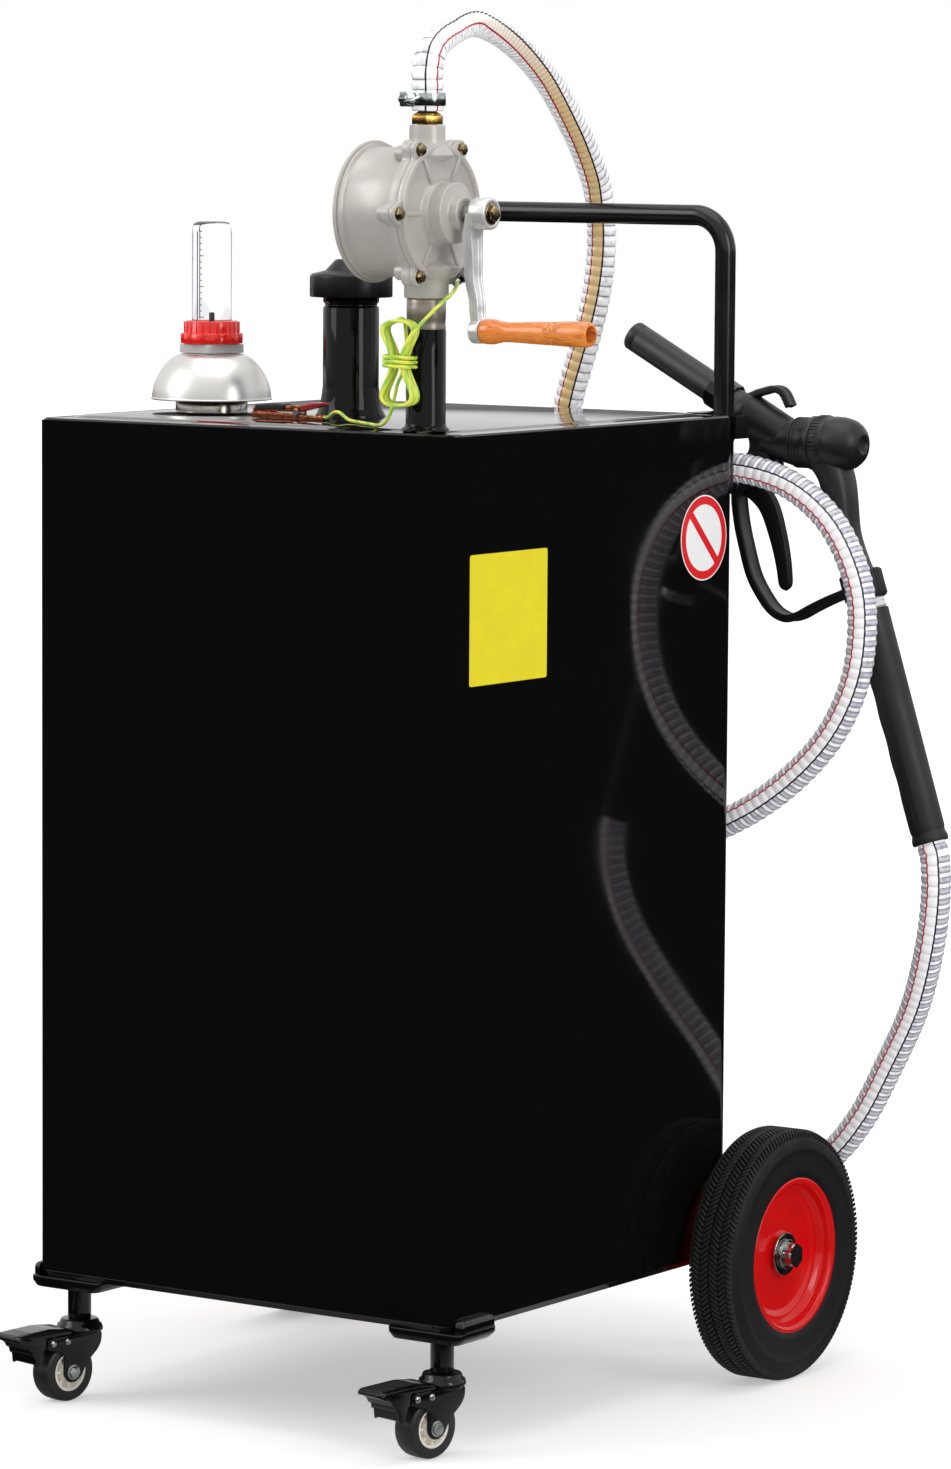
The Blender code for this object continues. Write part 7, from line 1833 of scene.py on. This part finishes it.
@dataclass(frozen=True)
class Casters:
    """The two front casters, each with its shoe, stem, fork, wheel and foot brake."""

    x: float = 180.0
    y: float = -178.5
    heading: float = -102.0
    offset: float = 18.0
    tank_x: float = 205.0
    lip_x: float = 213.0
    shoe_long: float = 71.0
    radius: float = 25.0
    width: float = 20.0

    def stand(self, side: int) -> Matrix:
        """The caster's own place: X points the way the pedal does."""
        return at(side * self.x, self.y, 0) @ turned(self.heading, "Z")

    def cheek(self, side: int) -> Shape:
        """One side of the fork."""
        outline = (
            (-13, 56), (-12.5, 47), (-9, 41), (3, 31), (9, 21), (14, 16.5), (22, 16.5), (27, 22), (27, 34),
            (26, 41), (34, 44), (44, 46), (45.5, 51), (42, 55.5), (30, 56))
        round_outline = rounded(outline, 5.0, 4)
        return skin([standing(round_outline, side * deep) for deep in (11.3, 13.3)])

    def fork(self) -> Shape:
        """Both cheeks, the crown and the swivel's cap."""
        crown = lathe(((0, 53.5), (16.2, 53.5), (17.0, 54.2), (17.0, 55.6), (15.4, 56.4), (0, 56.4)), 48)
        top = prism(
            rounded([(-13, -13.3), (30, -13.3), (42, -10), (42, 10), (30, 13.3), (-13, 13.3)], 6, 4), 53.6,
            56.0)
        return merge(self.cheek(1), self.cheek(-1), crown, top)

    def wheel(self) -> Shape:
        """The soft tread ring."""
        r, w = self.radius, self.width / 2
        return lathe((
            (16.2, -w), (r - 2.4, -w), (r - 1.0, -w + 0.9), (r - 0.3, -w + 2.6), (r, 0), (r - 0.3, w - 2.6),
            (r - 1.0, w - 0.9), (r - 2.4, w), (21.6, w), (21.2, w - 0.5), (17.0, w - 0.5), (16.2, w)), 72,
            True)

    def core(self) -> Shape:
        """The pale core with its raised ring, webs and hub."""
        w = self.width / 2
        ring = lathe((
            (4.2, -w + 0.6), (7.6, -w + 0.6), (8.2, -w + 1.4), (8.6, -4.0), (13.4, -4.0), (13.8, -w + 1.0),
            (14.3, -w + 0.4), (16.3, -w + 0.4), (16.3, w - 0.4), (14.3, w - 0.4), (13.8, w - 1.0),
            (13.4, 4.0), (8.6, 4.0), (8.2, w - 1.4), (7.6, w - 0.6), (4.2, w - 0.6)), 64, True)
        web = prism(rounded([(-3.6, -0.9), (3.6, -0.9), (3.6, 0.9), (-3.6, 0.9)], 0.3, 2), -w + 1.6, w - 1.6)
        return merge(ring, ring_copies(web, Finishes.CASTER_CORE, 8, 11.0))

    def pedal(self) -> Shape:
        """The foot brake: a rolled plate whose wings hang down both sides, with its arm."""
        side = (
            (21, 58.8), (48, 58.8), (48, 51), (52, 45), (54.5, 36), (58.5, 36), (59.5, 44.5), (62, 45),
            (63, 49.5), (66, 50), (68, 53.5), (72, 56), (79, 57.5), (79.5, 60), (76, 62), (40, 63.5),
            (21, 61.5))
        outline = rounded(side, 2.2, 3)
        rows = []
        for place in range(13):
            across = -15 + 30 * place / 12
            edge = 1 - max(0.0, abs(across) - 11.5) / 3.5
            drop = 1.6 * (1 - math.sqrt(max(0.0, edge))) if edge < 1 else 0.0
            rows.append(
                [Vector((x if x < 60 else 60 + (x - 60) * (1 - 0.16 * (1 - edge)), across, z - drop)) for x,
                z in outline])
        arm_side = rounded([
            (23, 53.5), (31, 51.5), (35.5, 46.5), (48.5, 46.5), (48.5, 59.5), (23, 59.5)], 2.0, 3)
        arm = skin([standing(arm_side, across) for across in (-10.9, 10.9)])
        ribs = []
        for step in range(4):
            ribs.append(
                skin([[Vector((x + step * 4.2, across, z)) for x, z in ((60.0, 60.6 - step * 0.18),
                (61.4, 62.9 - step * 0.2), (62.6, 62.9 - step * 0.2), (64.0, 60.6 - step * 0.18))]
                for across in (-11.5, 11.5)]))
        return merge(skin(rows), arm, *ribs)

    def shoe(self, side: int) -> Shape:
        """The corner plate under the tank, with the tube that takes the stem; the lip is made apart."""
        near, far = side * (self.lip_x - self.shoe_long), side * self.lip_x
        low_x, high_x = min(near, far), max(near, far)
        rows = []
        for height, inset in ((92.8, 4.6), (93.3, 3.6), (97.0, 0.4), (98.2, 0.0), (101.7, 0.0)):
            low_y, high_y = -202.5 + inset * 0.2, -148.5 - inset
            rows.append(
                level(rounded([(low_x + inset, low_y), (high_x - inset, low_y), (high_x - inset, high_y),
                (low_x + inset, high_y)], 8, 6), height))
        plate = skin(rows)
        tube = moved(
            lathe(((5.3, 66.3), (9.1, 66.3), (9.5, 66.8), (9.5, 91.4), (11.0, 93.0), (5.3, 93.0)), 48, True),
            at(side * self.x, self.y, 0))
        return merge(plate, tube)

    def lip(self, side: int) -> Shape:
        """The shoe's rounded lip that stands up outside the tank's side."""
        outer, inner = side * self.lip_x, side * (self.tank_x + 0.4)
        rows = []
        for height, inset in ((100.5, 0.0), (107.5, 0.0), (109.8, 0.6), (111.2, 1.8), (111.7, 3.0)):
            rows.append(
                level(rounded([(inner, -199.5 + inset), (inner, -150.5 - inset),
                (outer - side * inset, -153 - inset), (outer - side * inset, -196.5 + inset)], 2.4, 4),
                height))
        return skin(rows)

    def stem(self) -> Shape:
        """The stem with its cap over the swivel."""
        return lathe((
            (0, 50), (9, 50), (9, 56.2), (19, 56.4), (19.2, 57.0), (19.0, 58.6), (18.2, 61.0), (16.4, 62.2),
            (15.6, 64.8), (14.8, 65.7), (13.2, 66.1), (5.0, 66.2), (5.0, 83), (0, 83)), 64)

    def build(self, shop: Workshop) -> None:
        """Makes both casters."""
        for side, name in ((1, "right"), (-1, "left")):
            stand = self.stand(side)
            hub = stand @ at(self.offset, 0, self.radius) @ turned(90, "X")
            swivel, roller, brake = f"swivel_{name}", f"roller_{name}", f"brake_{name}"
            shop.piece(
                f"caster_{name}_shoe", merge(self.shoe(side), self.lip(side)), Finishes.POWDER_COAT,
                f"caster_shoe_{name}", bevel=0.9, sharp=40)
            shop.piece(
                f"caster_{name}_stem_turned", moved(self.stem(), stand), Finishes.PEDAL_COAT,
                f"caster_stem_{name}", sharp=50)
            shop.piece(
                f"caster_{name}_fork_pressing", moved(self.fork(), stand), Finishes.PEDAL_COAT,
                f"caster_fork_{name}", swivel, bevel=0.5, sharp=35)
            shop.piece(
                f"caster_{name}_tread", moved(self.wheel(), hub), Finishes.CASTER_TREAD,
                f"caster_wheel_{name}", roller, sharp=45)
            shop.piece(
                f"caster_{name}_core", moved(self.core(), hub), Finishes.CASTER_CORE, body=roller, bevel=0.25,
                sharp=40)
            shop.piece(
                f"caster_{name}_pedal_plate", moved(self.pedal(), stand), Finishes.PEDAL_COAT,
                f"caster_pedal_{name}", brake, bevel=0.35, sharp=40)
            self.hardware(shop, stand, hub, swivel, name)

    def hardware(self, shop: Workshop, stand: Matrix, hub: Matrix, swivel: str, name: str) -> None:
        """The axle bolt and the pale rivets that hold the cheeks and the pedal."""
        heads = []
        for side in (-1, 1):
            turn = hub @ at(0, 0, side * 13.3) @ (Matrix() if side > 0 else turned(180, "X"))
            washer = lathe(((0, 0), (6.4, 0), (6.4, 0.9), (0, 0.9)), 32)
            dish = lathe(((0, 3.4), (3.0, 3.4), (2.8, 3.65), (0, 3.5)), 20)
            heads.append(moved(merge(washer, hex_head(5.2, 0.8, 3.5, 0.6), dish), turn))
        heads.append(moved(lathe(((0, -12.9), (3.9, -12.9), (3.9, 12.9), (0, 12.9)), 24), hub))
        shop.piece(
            f"caster_{name}_bolt", merge(*heads), Finishes.ZINC, f"caster_axle_{name}", swivel,
            bevel=0.2, sharp=35)
        rivet = ((0, 0), (2.7, 0), (2.9, 0.5), (2.4, 1.3), (1.4, 1.6), (1.2, 1.2), (0, 1.1))
        rivets = []
        for along, height in ((23.4, 51.0), (38.5, 51.0)):
            for side in (-1, 1):
                place = stand @ at(along, side * 13.2, height) @ turned(-90 * side, "X")
                rivets.append(moved(lathe(rivet, 24), place))
        shop.piece(f"caster_{name}_rivets", merge(*rivets), Finishes.ZINC, body=swivel, sharp=50)


# Earth lead.


@dataclass(frozen=True)
class EarthLead:
    """The striped earth wire, its ring terminal, its hank and the sprung clamp."""

    radius: float = 1.4
    hank: Triple = (157.0, -211.0, 858.0)
    tilt: float = 12.0
    jaw: Pair = (0.0, -125.0)
    terminal_turn: float = 26.0
    bolt_turn: float = 150.0

    upper = (
        (182, -171, 915.5), (188, -187, 909.5), (186, -203, 900), (178.5, -210, 889.5), (173, -215, 881.5))
    lower = (
        (146.5, -198, 841), (143, -198.5, 828), (138, -197, 815.5), (127, -190, 808), (112, -178, 805.9),
        (92, -162, 805.8), (70, -146, 805.8), (56, -138, 807), (46, -134, 811.5), (38, -131, 811.5),
        (31, -128.5, 807.6), (24, -126, 806.9), (10, -125, 806.7))

    def hank_line(self) -> list[Vector]:
        """The coiled part: five loops like a bow, then three turns that bind them."""
        centre = Vector(self.hank)
        tilt = math.radians(self.tilt)
        over = Vector((math.cos(tilt), math.sin(tilt), 0))
        back = Vector((-math.sin(tilt), math.cos(tilt), 0))
        points = []
        per_loop, loops, pitch, first = 24, 5, 3.5, 4
        steps = per_loop * loops
        for step in range(first, steps + 1):
            angle = math.tau * step / per_loop
            rise = math.cos(angle)
            wide = 4.5 + 26 * rise ** 2
            deep = pitch * (step - (steps + first) / 2) / per_loop
            points.append(
                centre + over * (math.sin(angle) * wide) + back * deep
                + Vector((0, 0, rise * (31 if rise > 0 else 34))))
        depth, width = pitch * loops / 2 + 2 * self.radius + 0.7, 4.5 + 2 * self.radius + 0.7 + 2
        wraps, per_wrap = 3, 12
        for step in range(wraps * per_wrap + 1):
            angle = math.pi / 2 + math.tau * step / per_wrap
            fall = pitch * (wraps / 2 - step / per_wrap)
            aside = math.copysign(abs(math.cos(angle)) ** 0.4, math.cos(angle))
            behind = math.copysign(abs(math.sin(angle)) ** 0.4, math.sin(angle))
            points.append(centre + over * (aside * width) + back * (behind * depth) + Vector((0, 0, fall)))
        return points

    def line(self, pump: Pump) -> list[Vector]:
        """The whole wire, from the terminal's tongue to the clamp."""
        turn, angle = math.radians(self.terminal_turn), math.radians(self.bolt_turn)
        reach = pump.lobe_circle
        bolt = Vector((175.6, pump.y + reach * math.sin(angle), pump.axis + reach * math.cos(angle)))
        away = Vector((0, -math.cos(turn), -math.sin(turn)))
        points = [
            bolt + away * 8.4, bolt + away * 9.8, *map(Vector, self.upper), *self.hank_line(),
            *map(Vector, self.lower)]
        return smooth_line(points, 1.6)

    def terminal_piece(self, pump: Pump) -> Shape:
        """The ring terminal with its crimped barrel."""
        eye = lathe(((2.9, 175.15), (5.6, 175.15), (5.6, 176.1), (2.9, 176.1)), 36, True)
        tongue = prism([(-11.6, -2.0), (-4.4, -3.2), (-4.4, 3.2), (-11.6, 2.0)], 175.15, 176.1)
        barrel = moved(
            lathe(((0, 0), (2.2, 0), (2.4, 0.5), (2.4, 5.2), (2.2, 5.7), (0, 5.7)), 24), at(-8.6, 0, 175.7)
            @ turned(-90, "Y"))
        heading = pump.stand() @ turned(-60, "Z") @ at(pump.lobe_circle, 0, 0)
        return moved(merge(eye, moved(merge(tongue, barrel), turned(60 + self.terminal_turn, "Z"))), heading)

    def build(self, shop: Workshop, pump: Pump) -> None:
        line = self.line(pump)
        wire = tube_line(line, self.radius, 14, Vector((1, 0, 0)))
        pieces = self.clamp(shop)
        terminal = shop.piece("earth_terminal", self.terminal_piece(pump), Finishes.ZINC, sharp=40)
        lead = shop.piece(
            "earth_wire_lead", wire, Finishes.EARTH_WIRE, "earth_cable_upper earth_hank earth_cable_lower",
            sharp=70)
        tuple(shop.world(line[0]))
        [tuple(shop.world(point)) for point in line]

    def clamp(self, shop: Workshop) -> list[bpy.types.Object]:
        """The sprung clamp: toothed copper jaws, its pin and spring, a black boot and a red tail sleeve."""
        x, y = self.jaw
        base = 804.3
        half = 5.0

        def bar(points: Outline, low: float, high: float, radius: float = 1.0) -> Shape:
            return skin([
                [Vector((x + a, y + across, z)) for a, z in rounded(points, radius, 3)]
                for across in (low, high)])

        teeth = []
        for step in range(7):
            teeth.append(
                bar([(-43.5 + step * 2.6, base + 5.2), (-42.2 + step * 2.6, base + 6.9),
                (-40.9 + step * 2.6, base + 5.2)], -half + 0.6, half - 0.6, 0.2))
        low = bar([
            (-44, base + 5.4), (-43.4, base + 0.4), (-30, base), (0, base), (26, base), (26, base + 2.4),
            (3, base + 4.0), (0, base + 4.4), (-26, base + 5.4)], -half, half, 1.2)
        cheeks = [
            bar([(-3.4, base + 1), (3.4, base + 1), (3.2, base + 8.4), (0, base + 9.6), (-3.2, base + 8.4)],
            *side, 1.4) for side in ((-half - 0.1, -half + 1.2), (half - 1.2, half + 0.1))]
        pin = moved(
            lathe(((0, -6.2), (2.2, -6.2), (2.4, -5.6), (1.5, -5.2), (1.5, 5.2), (2.4, 5.6), (2.2, 6.2),
            (0, 6.2)), 24), at(x, y, base + 5.5) @ turned(90, "X"))
        spring = []
        for step in range(73):
            turn = math.tau * 5 * step / 72
            spring.append(
                Vector((x + 3.0 * math.cos(turn), y - 3.2 + 6.4 * step / 72, base + 5.5
                + 3.0 * math.sin(turn))))
        coil = tube_line(spring, 0.5, 8, Vector((0, 1, 0)))
        crimp = moved(
            lathe(((1.3, 0), (2.3, 0), (2.5, 0.4), (2.5, 6.2), (2.3, 6.6), (1.3, 6.6)), 24, True),
            at(x + 17.6, y - 0.3, base + 2.5) @ turned(90, "Y"))
        lower = shop.piece(
            "earth_clamp_lower", merge(low, crimp, *cheeks, *teeth), Finishes.COPPER, "clamp_jaw_fixed",
            bevel=0.25, sharp=40)
        sprung = shop.piece("earth_clamp_spring", merge(pin, coil), Finishes.ZINC, sharp=50)
        shop.piece(
            "earth_clamp_upper", bar([(-44, base + 6.2), (-28, base + 6.0), (-5, base + 5.9),
            (-3.4, base + 8.3), (3.4, base + 8.3), (6, base + 9.2), (6, base + 11.0), (-6, base + 11.4),
            (-28, base + 10.0), (-43.4, base + 9.0)], -half + 1.7, half - 1.7, 0.9), Finishes.COPPER,
            "clamp_jaw_moving", Body.CLAMP, bevel=0.25, sharp=40)
        boot = bar([
            (-41, base + 7.2), (-12, base + 7.6), (-11.4, base + 12.2), (-22, base + 12.9),
            (-41, base + 11.4)], -half + 0.2, half - 0.2, 1.6)
        shop.piece(
            "earth_clamp_boot", boot, Finishes.BLACK_BOOT, body=Body.CLAMP, bevel=0.9, bevel_steps=3,
            sharp=40)
        tail = bar([
            (4, base + 6.6), (25.4, base + 12.0), (26.2, base + 13.6), (25.0, base + 14.6), (14, base + 14.2),
            (3.6, base + 11.6)], -half + 0.1, half - 0.1, 1.6)
        shop.piece(
            "earth_clamp_tail", tail, Finishes.RED_SLEEVE, body=Body.CLAMP, bevel=0.9, bevel_steps=3,
            sharp=40)
        return [lower, sprung]


# Carried-over nodes.


class CarriedOver:
    """Gives real finishes to the CAD nodes whose shape is right as it is."""

    FINISHES = {
        "nozzle_holder": Finishes.TUBE_COAT, "hose_hanger": Finishes.TUBE_COAT, "axle": Finishes.ZINC,
        "axle_bracket_left": Finishes.TUBE_COAT, "axle_bracket_right": Finishes.TUBE_COAT,
        "dip_tube": Finishes.TURNED_STEEL, "pump_rotor": Finishes.ZINC, "vane_upper": Finishes.INDICATOR,
        "vane_lower": Finishes.INDICATOR, "gauge_float_arm": Finishes.INDICATOR}

    def build(self, shop: Workshop) -> None:
        """Sets each node's material slots."""
        for name, finish in self.FINISHES.items():
            node = shop.frame["nodes"][name]
            node = node if isinstance(node, bpy.types.Object) else bpy.data.objects[name]
            for slot in node.material_slots:
                slot.material = finish.material()
            if not node.material_slots:
                node.data.materials.append(finish.material())
            LOG.info("node %s: %s", name, finish.name)


# Studio.


@dataclass(frozen=True)
class Studio:
    """The camera at the photograph's angle, a white floor and soft lamps."""

    spot: Triple = (2.8068, -4.0046, 1.053)
    azimuth: float = 34.19
    pitch: float = 5.96
    roll: float = 0.387
    focal_px: float = 6014.8
    image: tuple[int, int] = (951, 1469)
    floor_reach: float = 14.0
    # What gloss sees of the floor and of the room under its horizon.
    dark: float = 0.012
    # Name, place, aim, size and watts of each lamp.
    lamps: tuple = (
        ("key_left", (-1.9, -2.1, 2.3), (0, 0, 0.7), (1.4, 1.8), 26), ("fill_right", (2.9, -0.7, 1.7),
        (0.1, 0, 0.7), (0.9, 1.9), 24), ("top_soft", (0.1, -0.2, 3.1), (0, 0, 0.8), (2.2, 2.2), 22))

    def camera(self, shop: Workshop) -> None:
        """Sets the camera, taking the image to be 951 x 1469."""
        data = bpy.data.cameras.new("camera")
        data.sensor_fit = "AUTO"
        data.sensor_width = 36.0
        data.lens = data.sensor_width * self.focal_px / max(self.image)
        data.clip_start, data.clip_end = 0.05, 60
        made = linked("camera", data)
        a, e, r = (math.radians(value) for value in (self.azimuth, self.pitch, self.roll))
        ahead = Vector((-math.sin(a) * math.cos(e), math.cos(a) * math.cos(e), -math.sin(e)))
        right = Vector((math.cos(a), math.sin(a), 0))
        up = right.cross(ahead)
        across = right * math.cos(r) + up * math.sin(r)
        over = up * math.cos(r) - right * math.sin(r)
        turn = Matrix((across, over, -ahead)).transposed().to_4x4()
        made.matrix_world = Matrix.Translation(Vector(self.spot) + shop.shift) @ turn
        bpy.context.scene.camera = made

    def floor(self) -> None:
        """A white floor that keeps the shadow and shows white to camera and glass, and dark to gloss."""
        mesh = bpy.data.meshes.new("floor")
        far = self.floor_reach
        mesh.from_pydata([(-far, -far, 0), (far, -far, 0), (far, far, 0), (-far, far, 0)], [], [(0, 1, 2, 3)])
        material = bpy.data.materials.new("white_studio_floor")
        tree = emptied(material)
        base = add_node(tree, "ShaderNodeBsdfDiffuse", {"Color": linear("#e9e9e9")}).outputs[0]
        eye, glossy, through = rays(tree)
        where = add_node(tree, "ShaderNodeTexCoord").outputs["Object"]
        away = add_node(tree, "ShaderNodeVectorMath", {0: where}, operation="LENGTH").outputs["Value"]
        glow = light(tree, spread(tree, away, 0.42, 0.68, (0.9, 3.0)))
        lit = add_node(tree, "ShaderNodeAddShader", {0: base, 1: glow}).outputs[0]
        seen = calc(tree, "MAXIMUM", calc(tree, "MAXIMUM", eye, glossy), through)
        shown = add_node(tree, "ShaderNodeMixShader", {0: seen, 1: base, 2: lit}).outputs[0]
        mirrored = calc(
            tree, "MULTIPLY", spread(tree, away, 0.0, 1.0, (0.1, 0.42)), calc(tree, "SUBTRACT", glossy,
            through, use_clamp=True))
        mixed = add_node(tree, "ShaderNodeMixShader", {0: mirrored, 1: shown, 2: light(tree, self.dark)})
        add_node(tree, "ShaderNodeOutputMaterial", {"Surface": mixed.outputs[0]})
        mesh.materials.append(material)
        linked("floor", mesh)

    def world(self) -> None:
        """A white room to the eye, which gloss sees darken at the horizon."""
        made = bpy.data.worlds.new("studio")
        bpy.context.scene.world = made
        tree = emptied(made)
        where = add_node(tree, "ShaderNodeTexCoord").outputs["Generated"]
        height = add_node(tree, "ShaderNodeSeparateXYZ", {"Vector": where}).outputs["Z"]
        eye, glossy, through = rays(tree)
        gloss = add_node(
            tree, "ShaderNodeMix", {0: glossy, 2: 0.62, 3: spread(tree, height, self.dark, 0.95,
            (0.0, 0.07))}, data_type="FLOAT").outputs[0]
        level_seen = add_node(
            tree, "ShaderNodeMix", {0: calc(tree, "MAXIMUM", eye, through), 2: gloss, 3: 1.0},
            data_type="FLOAT").outputs[0]
        back = add_node(tree, "ShaderNodeBackground", {"Color": linear("#ffffff"), "Strength": level_seen})
        add_node(tree, "ShaderNodeOutputWorld", {"Surface": back.outputs[0]})

    def build(self) -> None:
        """Makes floor, world and lamps."""
        self.floor()
        self.world()
        for name, spot, aim, size, watts in self.lamps:
            data = bpy.data.lights.new(name, "AREA")
            data.shape = "RECTANGLE"
            data.size, data.size_y = size
            data.energy = watts
            way = Vector(aim) - Vector(spot)
            facing = way.to_track_quat("-Z", "Y").to_matrix().to_4x4()
            linked(name, data).matrix_world = Matrix.Translation(spot) @ facing


def rays(tree: Tree) -> list[Socket]:
    """Whether a ray is the camera's, a mirrored one or one through glass."""
    path = add_node(tree, "ShaderNodeLightPath")
    return [path.outputs[f"Is {kind} Ray"] for kind in ("Camera", "Glossy", "Transmission")]


def light(tree: Tree, strength: object) -> Socket:
    """White light of a strength."""
    return add_node(tree, "ShaderNodeEmission", {"Color": linear("#ffffff"), "Strength": strength}).outputs[0]


def main() -> None:
    """Builds every sub-assembly in order and reports it."""
    logging.basicConfig(level=logging.INFO, format="%(name)s: %(message)s")
    shop = Workshop()
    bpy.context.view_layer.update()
    bpy.context.scene.view_settings.view_transform = "Standard"
    studio = Studio()
    studio.camera(shop)
    pump = Pump()
    Delivery().build(shop)
    EarthLead().build(shop, pump)
    for part in (
            Tank(), Filler(), Gauge(), pump, Crank(), Frame(), Nozzle(), Wheels(), Casters(), CarriedOver()):
        part.build(shop)
        LOG.info("built %s", type(part).__name__)
    studio.build()
    LOG.info("%d pieces in all", shop.count)


if __name__ == "__main__":
    main()
